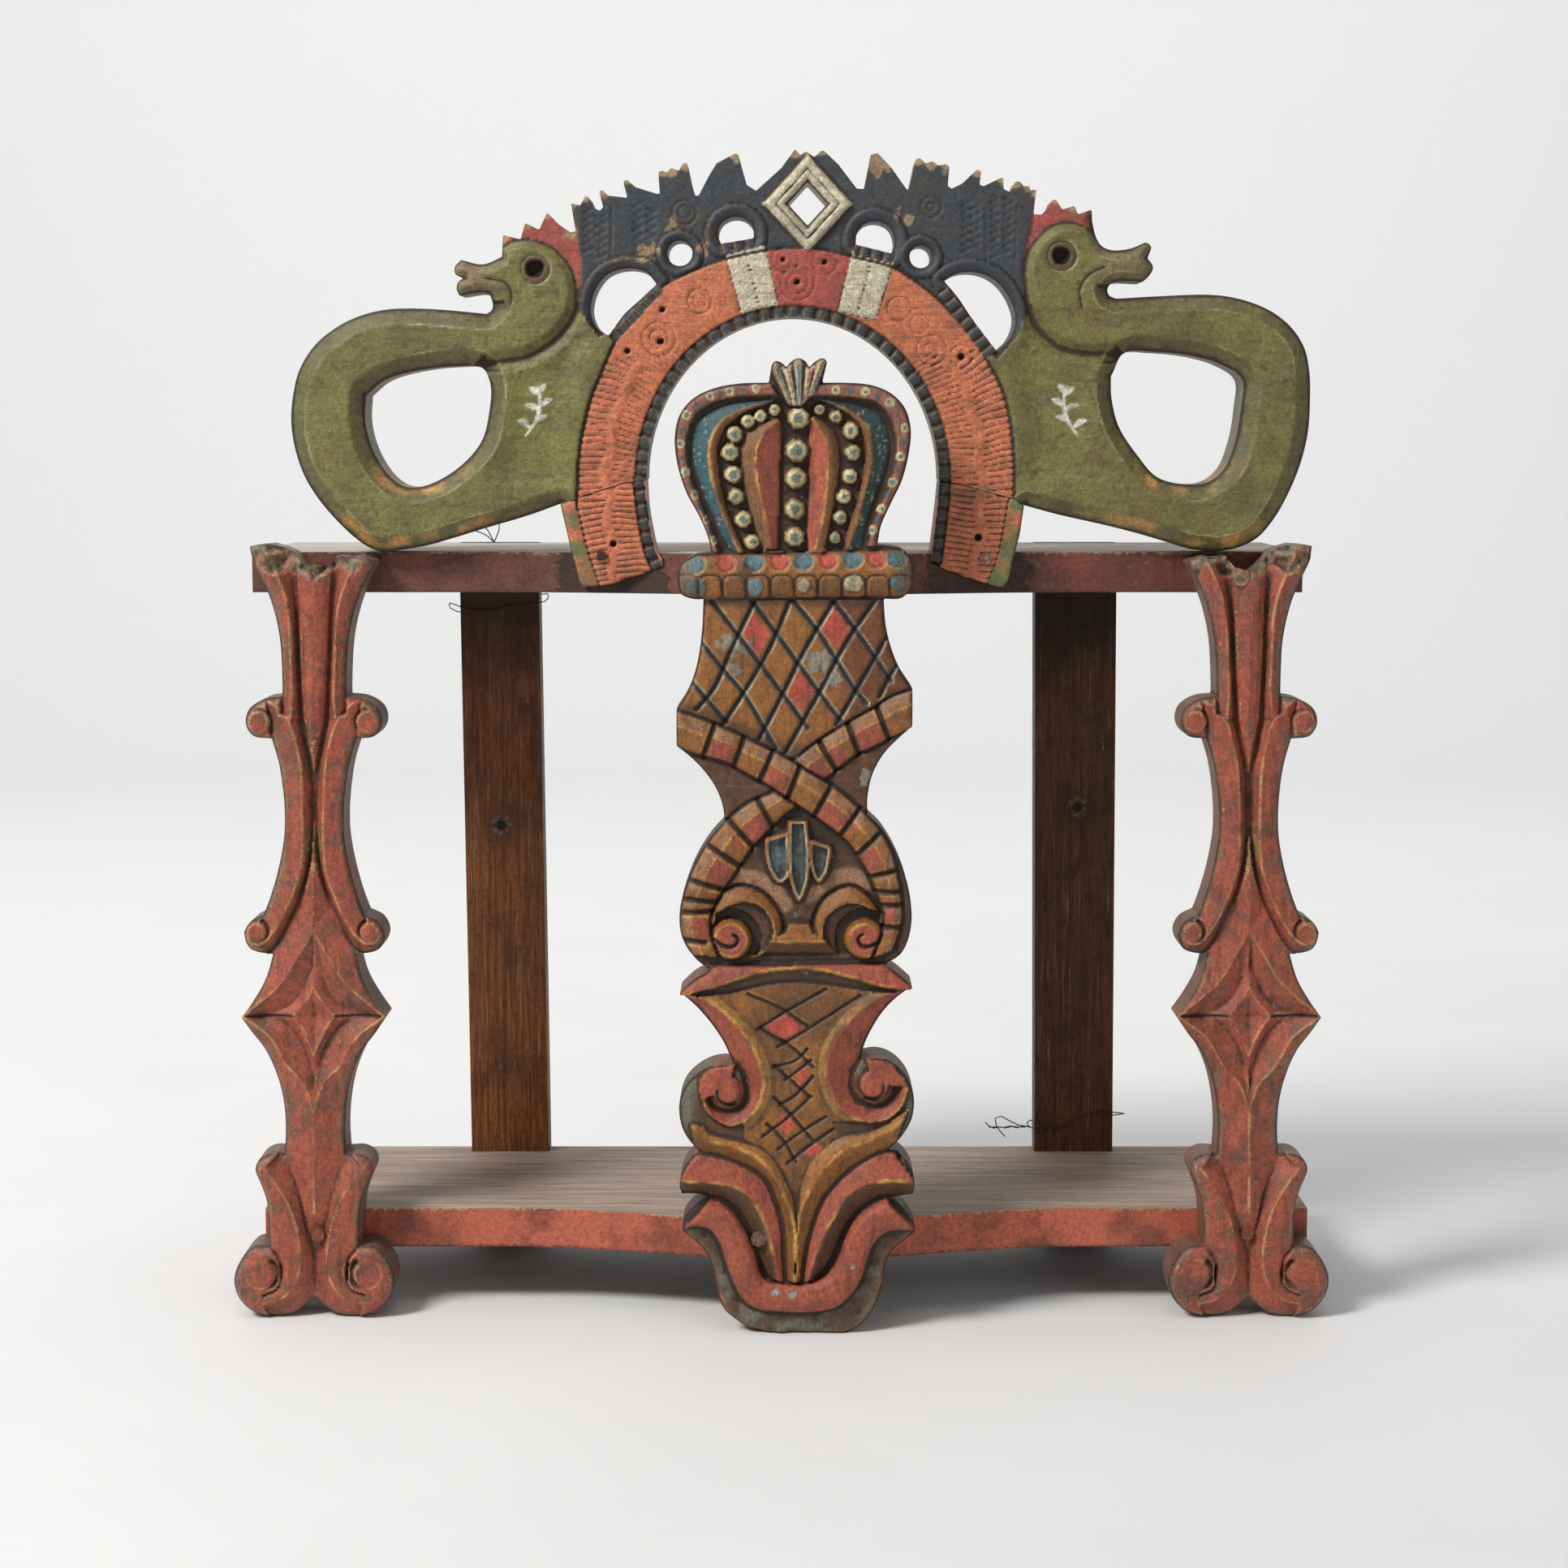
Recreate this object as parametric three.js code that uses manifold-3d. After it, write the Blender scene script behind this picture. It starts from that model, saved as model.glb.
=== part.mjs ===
// A carved and painted hanging shelf: two boards with a bowed front edge, two back slats, two carved
// side posts, a carved centre post with a crown, and a carved bow with two dragon heads on top.
// Millimetres. X runs left to right, Y front to back, Z up. The floor is z = 0.

import * as THREE from 'three';
import { mergeVertices } from 'three/addons/utils/BufferGeometryUtils.js';
import Module from 'manifold-3d';

const wasm = await Module();
wasm.setup();
const { Manifold } = wasm;

// Driving dimensions
const GAP = 0.3;

const SHELF_THICK = 22;
const LOWER_SHELF_Z = 33.3;
const UPPER_SHELF_Z = 400;
const SHELF_FRONT = -48;
const SHELF_BACK = 102;
const SHELF_BOW = 28;
const SHELF_BOW_MIDDLE = 9;
const SHELF_BOW_REACH = 160;
const LOWER_SHELF_ENDS = [-289, 294.5];
const UPPER_SHELF_ENDS = [-289.4, 285];

const SLAT_FRONT = 89;
const SLAT_BACK = 109;
const SLAT_TOP = 422;

const SIDE_POST_AXIS = 258.6;
const SIDE_POST_LEAN = 0.0165;
const SIDE_POST_FRONT = -78;
const SIDE_POST_BACK = SHELF_FRONT - GAP;
const SIDE_POST_WORN_TOP = 420.8;

const CENTER_POST_MIDDLE = 8;
const CENTER_POST_GROUND = -106;
const CENTER_POST_FRONT = -111;
const CENTER_POST_BACK = SHELF_FRONT - SHELF_BOW - GAP;

const BOW_FRONT = -65;
const BOW_BACK = -30;
const ARCH_MIDDLE = 6.2;
const ARCH_SPRING = 461.5;
const ARCH_HALF_WIDTH = 79;
const ARCH_RISE = 87;

const WIRE_RADIUS = 0.35;
const NAIL_SIDE = 3;
const NAIL_HEAD_SIDE = 7;

const RED = [0.62, 0.3, 0.23];
const DARK_RED = [0.41, 0.24, 0.22];
const GREEN = [0.37, 0.41, 0.24];
const OCHRE = [0.49, 0.33, 0.16];
const ARCH_ORANGE = [0.74, 0.38, 0.26];
const DARK_STAIN = [0.3, 0.2, 0.11];
const BARE_PEG = [0.42, 0.29, 0.22];
const IRON = [0.22, 0.2, 0.18];

// Outlines. Each is a list of runs: smooth through the points of a run, sharp where two runs meet.

// Left half of a side post, as distance out from its axis and height, top to bottom.
const SIDE_POST_HALF = [
  [[35, 426], [34, 420], [28, 408], [22.5, 394], [18.6, 376], [17.3, 352], [17.3, 345]],
  [[17.3, 345], [27, 343.6], [35.2, 338], [37, 330], [33, 323.6], [23, 322]],
  [[23, 322], [19, 308], [16.7, 292], [16, 280], [16.4, 268], [19.7, 250], [24, 235], [27.5, 225.6]],
  [[27.5, 225.6], [35, 221.5], [38.5, 214], [35.6, 206.6], [29, 204], [22.5, 203.8]],
  [[22.5, 203.8], [26.5, 190], [32.5, 179], [39.4, 169]],
  [[39.4, 169], [33.4, 160], [26.2, 150], [20.4, 136], [17.2, 120], [16.3, 105], [17, 92]],
  [[17, 92], [24.4, 92.3], [30.6, 89], [32.3, 83.5], [29.5, 76], [26.2, 66], [25, 52], [24.8, 41]],
  [[24.8, 41], [33.6, 40.2], [41, 32], [44.4, 21.5], [42, 11.5], [34.4, 3.6], [22.5, 0]],
  [[22.5, 0], [18, 0]],
  [[18, 0], [11, 2], [3.6, 7.6], [0, 10]],
];

// Right side of the centre post, bottom to top, then the crown and the left side back down.
const CENTER_POST_OUTLINE = [
  [[35, 0], [42, 3.6], [48, 10], [53.6, 21], [55.6, 30], [56.7, 37.8], [60, 45], [66, 51], [73, 56.5]],
  [[73, 56.5], [71.5, 61], [67, 67.8], [61.5, 72.8], [56, 74.3]],
  [[56, 74.3], [71.5, 77]],
  [[71.5, 77], [71.8, 85.6], [69.5, 93], [64.5, 99.2], [57.8, 102.2]],
  [[57.8, 102.2], [65, 110], [70, 119], [71.4, 127], [70.6, 135], [66.5, 143.8], [59, 150.6], [51, 153],
    [43, 151.7]],
  [[43, 151.7], [44.5, 159], [48.5, 167.8], [54.6, 177.5], [62, 185.4], [70.5, 191.7]],
  [[70.5, 191.7], [64, 197.6], [55.6, 203.7]],
  [[55.6, 203.7], [62.5, 207.6], [67, 214.5], [69.6, 226], [69, 239], [66, 252], [60.5, 265.5],
    [53, 277.5], [46, 284.4]],
  [[46, 284.4], [45.8, 293], [48.5, 306], [54.5, 317], [62, 325], [69.5, 331.5]],
  [[69.5, 331.5], [69.5, 352]],
  [[69.5, 352], [63, 362], [58, 374], [55.2, 386], [54.1, 399.4]],
  [[54.1, 399.4], [64, 400], [69.4, 407], [69.6, 418], [65, 425], [58, 427.3], [50.6, 427.8]],
  [[50.6, 427.8], [52.5, 438], [57.8, 450], [63.5, 462], [67, 476], [68, 488], [65.2, 499], [58, 507],
    [47, 511.6], [34, 512.8], [21.4, 512.8]],
  [[21.4, 512.8], [24, 523.4]],
  [[24, 523.4], [22, 525.6], [18, 524], [14.6, 520.8]],
  [[14.6, 520.8], [12.6, 524], [9, 525.5], [5.4, 524], [2.6, 520.8]],
  [[2.6, 520.8], [0, 523.3], [-3.3, 524.1], [-5.2, 521.6]],
  [[-5.2, 521.6], [-6.6, 512.9]],
  [[-6.6, 512.9], [-22, 512.4], [-35, 510], [-46, 504.8], [-53.4, 496], [-56, 484], [-54.6, 470],
    [-50, 455.5], [-43, 442.5], [-38.4, 431], [-37, 424]],
  [[-37, 424], [-46, 422.6], [-52.4, 418], [-55.2, 410], [-53, 402], [-46, 399.4], [-41.2, 399.4]],
  [[-41.2, 399.4], [-42.2, 381], [-45.2, 363], [-50, 350], [-55.6, 341]],
  [[-55.6, 341], [-55.6, 321]],
  [[-55.6, 321], [-48, 315], [-40, 306.5], [-34, 297], [-31, 288], [-30.3, 280.6]],
  [[-30.3, 280.6], [-38, 272], [-45.5, 260], [-51, 246.5], [-54.5, 232], [-53.8, 220], [-50, 211.6],
    [-44.5, 205], [-38.3, 200.6]],
  [[-38.3, 200.6], [-47, 195.6], [-54.8, 188.4]],
  [[-54.8, 188.4], [-45.5, 180], [-37.5, 170.6], [-31, 160.6], [-27.4, 152.6], [-26.3, 149.4]],
  [[-26.3, 149.4], [-36, 148.4], [-45, 143.9], [-51.7, 137], [-55, 127.5], [-54, 115.5], [-50, 107.4],
    [-44.4, 101.2]],
  [[-44.4, 101.2], [-50.5, 95.4], [-54.2, 88], [-54.9, 80.6], [-53.5, 77]],
  [[-53.5, 77], [-44.5, 76.6], [-36, 73.4]],
  [[-36, 73.4], [-42, 73.4], [-48.5, 69], [-53, 63], [-54, 57]],
  [[-54, 57], [-46.5, 50.6], [-41, 45], [-37.6, 36], [-36, 28], [-34.6, 20.5], [-31, 13], [-25, 7],
    [-18, 2.8], [-9, 0]],
];

// Dragon at the left end of the bow, from its lower tip round the neck and beak to the comb.
const LEFT_DRAGON = [
  [[-120, 448.5], [-138, 442], [-160, 435.5], [-178, 430], [-193, 425.8], [-213, 422.5]],
  [[-213, 422.5], [-221, 423.7], [-229, 428.3], [-239, 437.3], [-250, 450], [-257.5, 462], [-262.5, 476],
    [-264.8, 491], [-263.6, 507], [-259.5, 521.4], [-251, 534], [-240, 542.8], [-228, 548.8],
    [-214, 552.4], [-199.7, 553.2], [-181, 552.4], [-158.5, 550.3]],
  [[-158.5, 550.3], [-155.7, 552.6], [-155.4, 556.6], [-157, 560.6], [-161, 561.6], [-173, 560]],
  [[-173, 560], [-174.4, 563.6], [-173.3, 567.4], [-170.5, 569]],
  [[-170.5, 569], [-175, 571.4], [-175.2, 575], [-171.8, 578.8]],
  [[-171.8, 578.8], [-160, 576.5], [-149.7, 580.5]],
  [[-149.7, 580.5], [-149.3, 592]],
  [[-149.3, 592], [-139.8, 589.8]],
  [[-139.8, 589.8], [-137.2, 598.5]],
  [[-137.2, 598.5], [-129.8, 594.7]],
  [[-129.8, 594.7], [-125.5, 603.8]],
  [[-125.5, 603.8], [-119.5, 597.8], [-113, 593.4], [-110.2, 594]],
];

// Jagged upper edge of the dark comb, left to right, with the stepped diamond in the middle.
const COMB_EDGE = [
  [-110.2, 594], [-112.6, 608.7], [-107.6, 607.6], [-104.8, 612.8], [-102.9, 611.6], [-100.8, 606.5],
  [-97, 604.8], [-95.4, 606.8], [-97.4, 614.6], [-96, 616], [-92.7, 612.7], [-82.4, 611.6],
  [-84.6, 620.2], [-82.6, 621.3], [-78, 617.2], [-65, 613.2], [-65.8, 625.2], [-63.7, 626],
  [-61.3, 624.8], [-58.9, 627.4], [-54.8, 625.7], [-52.7, 629.6], [-50.5, 630.2], [-48.6, 621],
  [-46.4, 613], [-44.4, 612.5], [-38.7, 623.2], [-34.7, 629.7], [-24.5, 635], [-23, 634.3],
  [-18.5, 618.4], [-13.5, 615.3], [0, 627.3], [7.3, 637.2], [10.2, 634.2], [13.2, 636], [17.6, 633],
  [22.1, 637], [30.6, 629], [40.3, 616.5], [44.4, 616.2], [47.9, 634.4], [51.6, 635], [58.9, 627.3],
  [66.9, 616.2], [68.5, 615.8], [71.8, 631.8], [73.9, 632.6], [77.1, 629.8], [80.6, 630.8],
  [83.9, 628.5], [87.9, 629.4], [89.8, 628.1], [89, 617.8], [91.1, 616.4], [96.8, 619.2],
  [104.5, 626.5], [106.8, 625.6], [106, 618.6], [108.1, 617.7], [118.6, 622.7], [118.9, 616.2],
  [121.8, 614.9], [123.9, 616.2], [125.2, 620.2], [127.4, 620.1], [129.8, 617.7], [132.3, 618],
  [133.2, 615.4], [136.3, 616.3], [135, 602.9],
];

// Dragon at the right end, from the comb round the beak and neck to its lower end.
const RIGHT_DRAGON = [
  [[135, 602.9], [140, 602.9]],
  [[140, 602.9], [143.8, 607], [146, 612.3]],
  [[146, 612.3], [150.4, 605.4]],
  [[150.4, 605.4], [156.9, 607.5]],
  [[156.9, 607.5], [158.8, 602.9]],
  [[158.8, 602.9], [166.2, 605.5]],
  [[166.2, 605.5], [167.1, 598], [170.8, 587.1], [176, 584.2], [186, 584.6], [195.4, 588.2]],
  [[195.4, 588.2], [198.2, 586], [196.3, 579.8]],
  [[196.3, 579.8], [199.4, 575], [197, 570], [194, 567.3]],
  [[194, 567.3], [181, 567.6], [176.8, 566.2], [175.2, 563], [176.4, 560], [180.2, 558.4]],
  [[180.2, 558.4], [203, 559.7], [230, 560.5], [243, 559], [255, 555.6], [266, 550.2], [275, 542.6],
    [281.6, 532.6], [284.6, 520.6], [285.4, 504], [284.6, 487], [281, 470.6], [275, 455], [267, 440.4],
    [258, 430], [247, 424.6], [236, 422.6]],
  [[236, 422.6], [222, 424], [212, 427], [195, 432], [176.7, 436.7], [150, 442.7], [131.8, 447.6]],
];

// The line where the right and left feet are jointed under the arch.
const RIGHT_JOINT = [[131.8, 447.6], [125.8, 451.5], [103.2, 457.9], [85.2, 461.5]];
const LEFT_JOINT = [[-72.8, 461.5], [-88, 459.3], [-100, 455.5], [-120, 448.5]];

const LEFT_FOOT_SIDES = [
  [-74, 460.7], [-72.6, 446.6], [-71, 436.9], [-69.4, 428.9], [-67.7, 422.4], [-64.2, 419.2],
  [-64, 414.4], [-92.7, 404.6], [-107.5, 403.4], [-109.7, 406.3], [-113.7, 422.4], [-116.9, 436.9],
];
const RIGHT_FOOT_SIDES = [
  [131, 447.2], [129, 432.1], [125.8, 419.2], [123.4, 407.9], [120.2, 403.4], [116, 403.8],
  [103.2, 407.8], [90.3, 412.2], [80.6, 417.6], [81.5, 424], [83.1, 436.9], [84.7, 451.5],
];

const LEFT_LOOP = [[
  [-224.3, 506.7], [-224.8, 492], [-220.6, 476.5], [-212.4, 463.6], [-205, 458.2], [-196, 457.6],
  [-184.5, 461.7], [-171.5, 470.8], [-162, 482.5], [-158, 497], [-157.1, 513], [-161.5, 521.4],
  [-176, 522.4], [-199.7, 519.4], [-214.5, 514.6], [-224.3, 506.7],
]];
const RIGHT_LOOP = [[
  [177.8, 517], [178.3, 505], [182.4, 490], [192.3, 475], [203.3, 463], [216.7, 459.2], [230, 459.8],
  [239.5, 467], [245.4, 482], [248.3, 500], [248.4, 515.6], [237, 523.4], [222, 527.8], [202, 530],
  [185, 529.4], [177.8, 517],
]];
const LEFT_D_HOLE = [
  [[-66.9, 566], [-73, 572.6], [-84, 574.2], [-94, 570.6], [-100.6, 561.4], [-102.4, 551], [-99, 542.6],
    [-92.7, 538.5]],
  [[-92.7, 538.5], [-84.7, 549.8], [-76.6, 557.1], [-66.9, 566]],
];
const RIGHT_D_HOLE = [
  [[115.8, 530.2], [123, 537.6], [125.9, 548], [121, 561.1], [112.9, 569.2], [103.2, 572.4],
    [94, 571.6], [87.1, 567.9]],
  [[87.1, 567.9], [95, 558.6], [103.2, 546.6], [115.8, 530.2]],
];
const LEFT_HALF_ROUND = [
  [[-32.3, 587.3], [-14.8, 590.2]],
  [[-14.8, 590.2], [-15.4, 596.4], [-20, 600.8], [-26.6, 601.4], [-32.2, 598], [-34, 592], [-32.3, 587.3]],
];
const RIGHT_HALF_ROUND = [
  [[59.4, 582.1], [60.7, 588.6], [58, 596], [51.6, 599.2], [44.6, 598], [40.5, 593], [39.8, 586.9]],
  [[39.8, 586.9], [59.4, 582.1]],
];
const ROUND_HOLES = [[-54.5, 582.4, 6.8], [74.7, 580.5, 6]];
const DIAMOND = { x: 14, z: 608.4, halfWidth: 10.6, halfHeight: 11.5, band: 12 };

// Straight and curved lines sampled into points

function smoothPoints(runs, stepsPerSpan) {
  const points = [];
  for (const run of runs) {
    const ends = run.map(([x, z]) => new THREE.Vector3(x, z, 0));
    const curve = new THREE.CatmullRomCurve3(ends, false, 'centripetal');
    const spans = run.length > 2 ? (run.length - 1) * stepsPerSpan : 1;
    for (const p of curve.getPoints(spans)) {
      const last = points[points.length - 1];
      if (!last || last.distanceTo(new THREE.Vector2(p.x, p.y)) > 0.05) {
        points.push(new THREE.Vector2(p.x, p.y));
      }
    }
  }
  if (points[0].distanceTo(points[points.length - 1]) < 0.05) {
    points.pop();
  }
  return points;
}

function vectors(pairs) {
  return pairs.map(([x, z]) => new THREE.Vector2(x, z));
}

function circlePoints(x, z, radius, count) {
  const points = [];
  for (let i = 0; i < count; i += 1) {
    const angle = (i / count) * 2 * Math.PI;
    points.push(new THREE.Vector2(x + radius * Math.cos(angle), z + radius * Math.sin(angle)));
  }
  return points;
}

// Both halves of a side post. The inner half of its top is worn down below the bow.
// The posts lean in a little, so their axis depends on the height.
function sidePostAxis(side, z) {
  return side * (SIDE_POST_AXIS - SIDE_POST_LEAN * z);
}

function sidePostOutline(side) {
  const half = smoothPoints(SIDE_POST_HALF, 1);
  const place = (out, z) => new THREE.Vector2(sidePostAxis(side, z) + side * out, z);
  const outer = half.map((p) => place(p.x, p.y));
  half[0].y = SIDE_POST_WORN_TOP;
  const kept = half.slice(0, -1).filter((p) => p.y <= SIDE_POST_WORN_TOP);
  const inner = kept.map((p) => place(-p.x, p.y)).reverse();
  const brow = [[2, SIDE_POST_WORN_TOP], [9, 425.6], [21, 427.2]].map(([x, z]) => place(x, z));
  return [...outer, ...inner, ...brow];
}

// Solids

function solidFrom(vertices, triangles) {
  return new Manifold(new wasm.Mesh({
    numProp: 3,
    vertProperties: Float32Array.from(vertices),
    triVerts: Uint32Array.from(triangles),
  }));
}

function solidOf(geometry) {
  geometry.deleteAttribute('normal');
  geometry.deleteAttribute('uv');
  const merged = mergeVertices(geometry, 1e-4);
  return solidFrom(merged.attributes.position.array, merged.index.array);
}

// A plain board standing in the XZ plane between y = front and y = back.
function board(outline, front, back) {
  const geometry = new THREE.ExtrudeGeometry(new THREE.Shape(outline), {
    depth: back - front,
    bevelEnabled: false,
  });
  geometry.rotateX(Math.PI / 2);
  geometry.translate(0, back, 0);
  return solidOf(geometry);
}

// A plain board lying in the XY plane between two heights.
function plank(outline, bottom, thick) {
  const geometry = new THREE.ExtrudeGeometry(new THREE.Shape(outline), {
    depth: thick,
    bevelEnabled: false,
  });
  geometry.translate(0, 0, bottom);
  return solidOf(geometry);
}

function turned(points, counterClockwise) {
  const isCounterClockwise = THREE.ShapeUtils.area(points) > 0;
  return isCounterClockwise === counterClockwise ? points : [...points].reverse();
}

// How far a ray from a ring's corner runs through the wood before it leaves it.
function woodAlong(from, direction, rings) {
  let nearest = Infinity;
  for (const ring of rings) {
    for (let i = 0; i < ring.length; i += 1) {
      const a = ring[i];
      const b = ring[(i + 1) % ring.length];
      const edge = b.clone().sub(a);
      const cross = direction.cross(edge);
      if (Math.abs(cross) > 1e-9) {
        const offset = a.clone().sub(from);
        const along = offset.cross(edge) / cross;
        const share = offset.cross(direction) / cross;
        if (along > 0.05 && along < nearest && share >= 0 && share <= 1) {
          nearest = along;
        }
      }
    }
  }
  return nearest;
}

// The ring moved into the wood, less where the wood is narrow or the edge turns sharply.
function insetRing(ring, rings, insetAt) {
  const count = ring.length;
  return ring.map((point, i) => {
    const before = point.clone().sub(ring[(i + count - 1) % count]);
    const after = ring[(i + 1) % count].clone().sub(point);
    const lengths = Math.min(before.length(), after.length());
    const turn = Math.atan2(before.cross(after), before.dot(after));
    const along = before.normalize().add(after.normalize());
    if (along.length() < 1e-3) {
      return point.clone();
    }
    along.normalize();
    const inward = new THREE.Vector2(-along.y, along.x);
    const bend = turn > 0.02 ? (0.8 * lengths) / (2 * Math.tan(turn / 2)) : Infinity;
    const room = 0.35 * woodAlong(point, inward, rings);
    return point.clone().addScaledVector(inward, Math.min(insetAt(point), bend, room));
  });
}

// A board whose front arris is cut back to a sloping facet.
function chamferedBoard(outline, holes, front, back, insetAt, drop) {
  const rings = [turned(outline, true), ...holes.map((hole) => turned(hole, false))];
  const faceRings = rings.map((ring) => insetRing(ring, rings, insetAt));
  const vertices = [];
  const triangles = [];
  const total = rings.reduce((sum, ring) => sum + ring.length, 0);
  const layers = [[faceRings, front], [rings, front + drop], [rings, back]];
  for (const [layer, y] of layers) {
    layer.flat().forEach((p) => vertices.push(p.x, y, p.y));
  }
  let start = 0;
  for (const ring of rings) {
    for (let i = 0; i < ring.length; i += 1) {
      const p = start + i;
      const q = start + ((i + 1) % ring.length);
      for (let level = 0; level < 2; level += 1) {
        const near = level * total;
        const far = near + total;
        triangles.push(near + p, far + p, far + q, near + p, far + q, near + q);
      }
    }
    start += ring.length;
  }
  const cap = (layer, offset, facesFront) => {
    const points = layer.flat();
    for (const [a, b, c] of THREE.ShapeUtils.triangulateShape(layer[0], layer.slice(1))) {
      const area = THREE.ShapeUtils.area([points[a], points[b], points[c]]);
      const keep = (area > 0) === facesFront;
      triangles.push(offset + a, offset + (keep ? b : c), offset + (keep ? c : b));
    }
  };
  cap(faceRings, 0, true);
  cap(rings, 2 * total, false);
  return solidFrom(vertices, triangles);
}

// A bar swept along a line in the board's plane. The profile lists [across, towards the viewer].
function sweep(line, profile, widthAt) {
  const vertices = [];
  const triangles = [];
  const size = profile.length;
  line.forEach(([x, z, surface], i) => {
    const [ax, az] = line[Math.max(i - 1, 0)];
    const [bx, bz] = line[Math.min(i + 1, line.length - 1)];
    const length = Math.hypot(bx - ax, bz - az);
    const width = widthAt(i / (line.length - 1));
    for (const [across, out] of profile) {
      const shift = across * width;
      vertices.push(x - ((bz - az) / length) * shift, surface - out, z + ((bx - ax) / length) * shift);
    }
  });
  for (let i = 0; i < line.length - 1; i += 1) {
    for (let j = 0; j < size; j += 1) {
      const a = i * size + j;
      const b = i * size + ((j + 1) % size);
      triangles.push(a, b, b + size, a, b + size, a + size);
    }
  }
  const last = (line.length - 1) * size;
  for (let j = 1; j < size - 1; j += 1) {
    triangles.push(0, j + 1, j);
    triangles.push(last, last + j, last + j + 1);
  }
  const solid = solidFrom(vertices, triangles);
  return solid.volume() > 0 ? solid : solidFrom(vertices, triangles.reverse());
}

function lineThrough(points, surface, steps) {
  const ends = points.map(([x, z]) => new THREE.Vector3(x, z, 0));
  const curve = new THREE.CatmullRomCurve3(ends, false, 'centripetal');
  return curve.getPoints(steps).map((p) => [p.x, p.y, surface]);
}

// A spiral that starts at a point and winds inwards around a centre.
function spiralLine(cx, cz, startRadius, endRadius, startAngle, turnAngle, surface, steps) {
  const line = [];
  for (let i = 0; i <= steps; i += 1) {
    const t = i / steps;
    const radius = startRadius + (endRadius - startRadius) * t;
    const angle = startAngle + turnAngle * t;
    line.push([cx + radius * Math.cos(angle), cz + radius * Math.sin(angle), surface]);
  }
  return line;
}

function ridge(line, halfWidth, height, taper = () => 1) {
  const profile = [[-1.1, -1], [1.1, -1], [0, height]];
  return sweep(line, profile, (t) => halfWidth * taper(t));
}

function groove(line, halfWidth, depth, taper = () => 1) {
  const profile = [[-1.2, 1], [0, -depth], [1.2, 1]];
  return sweep(line, profile, (t) => halfWidth * taper(t));
}

// A low faceted dome on a board's surface.
function dome(x, z, radius, height, surface, sides) {
  const profile = [
    new THREE.Vector2(0, -1.5),
    new THREE.Vector2(radius, -1.5),
    new THREE.Vector2(radius * 0.6, height * 0.85),
    new THREE.Vector2(0, height),
  ];
  const geometry = new THREE.LatheGeometry(profile, sides);
  geometry.rotateX(Math.PI / 2);
  geometry.scale(1, -1, 1);
  geometry.translate(x, surface, z);
  const index = Array.from(geometry.index.array);
  geometry.setIndex(index.reverse());
  return tidySolid(geometry);
}

// Joins equal corners and drops the empty triangles a lathe leaves at its axis.
function tidySolid(geometry) {
  geometry.deleteAttribute('normal');
  geometry.deleteAttribute('uv');
  const merged = mergeVertices(geometry, 1e-4);
  const index = merged.index.array;
  const kept = [];
  for (let i = 0; i < index.length; i += 3) {
    const [a, b, c] = [index[i], index[i + 1], index[i + 2]];
    if (a !== b && b !== c && c !== a) {
      kept.push(a, b, c);
    }
  }
  const positions = merged.attributes.position.array;
  const solid = solidFrom(positions, kept);
  return solid.volume() > 0 ? solid : solidFrom(positions, kept.reverse());
}

// A peg or nail shank from y = front to y = back, tilted down towards the back. A hole for it is
// made with some extra length ahead of its front end.
function shank(x, z, radius, sides, front, back, tilt = 0, ahead = 0) {
  const length = back - front + ahead;
  const geometry = new THREE.CylinderGeometry(radius, radius, length, sides);
  geometry.rotateY(sides === 4 ? Math.PI / 4 : 0);
  geometry.translate(0, length / 2 - ahead, 0);
  geometry.rotateX(-tilt);
  geometry.translate(x, front, z);
  return tidySolid(geometry);
}

function box(x, y, z, width, depth, height) {
  const geometry = new THREE.BoxGeometry(width, depth, height);
  geometry.translate(x, y, z);
  return solidOf(geometry);
}

function tube(points, steps, closed) {
  const curve = new THREE.CatmullRomCurve3(points.map((p) => new THREE.Vector3(...p)), closed);
  const section = new THREE.Shape(circlePoints(0, 0, WIRE_RADIUS, 5));
  const geometry = new THREE.ExtrudeGeometry(section, { steps, extrudePath: curve, bevelEnabled: false });
  return tidySolid(geometry);
}

// Naming and collecting the pieces

const shelf = new THREE.Group();
shelf.name = 'carved_shelf_with_harness_bow';

function addPiece(name, solid, color, roughness, metalness = 0) {
  const mesh = solid.getMesh();
  const geometry = new THREE.BufferGeometry();
  geometry.setAttribute('position', new THREE.BufferAttribute(Float32Array.from(mesh.vertProperties), 3));
  geometry.setIndex(Array.from(mesh.triVerts));
  geometry.computeVertexNormals();
  const material = new THREE.MeshStandardMaterial({
    color: new THREE.Color(...color),
    roughness,
    metalness,
  });
  const piece = new THREE.Mesh(geometry, material);
  piece.name = name;
  shelf.add(piece);
}

// Wooden pegs. Each is [x, z, radius, front, back, tilt].
const PEG_TILT = 0.17;
const TOE_TILT = 0.26;
const PEGS = {
  post_peg_left_lower: [-255.3, 47.7, 3.7, -78.3, -22, 0],
  post_peg_right_lower: [256.9, 47.7, 3.5, -76, -22, 0],
  post_peg_left_upper: [-253.1, 411.5, 4.4, -74, -22, 0],
  post_peg_right_upper: [246.9, 409.3, 4.8, -78.2, -22, 0],
  center_peg_lower: [-12.2, 53.9, 4.4, -109, -46, PEG_TILT],
  center_plug_upper: [8.3, 382.8, 2.8, -105.7, -92, 0],
  center_plug_middle: [11.7, 354.4, 3, -105.7, -92, 0],
  bow_foot_peg_right: [110.8, 419.2, 3.6, -64.6, -12, TOE_TILT],
};

function pegSolid([x, z, radius, front, back, tilt]) {
  return shank(x, z, radius, 8, front, back, tilt);
}

function pegHole([x, z, radius, front, back, tilt]) {
  return shank(x, z, radius + GAP, 8, front, back + GAP, tilt, 6);
}

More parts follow.
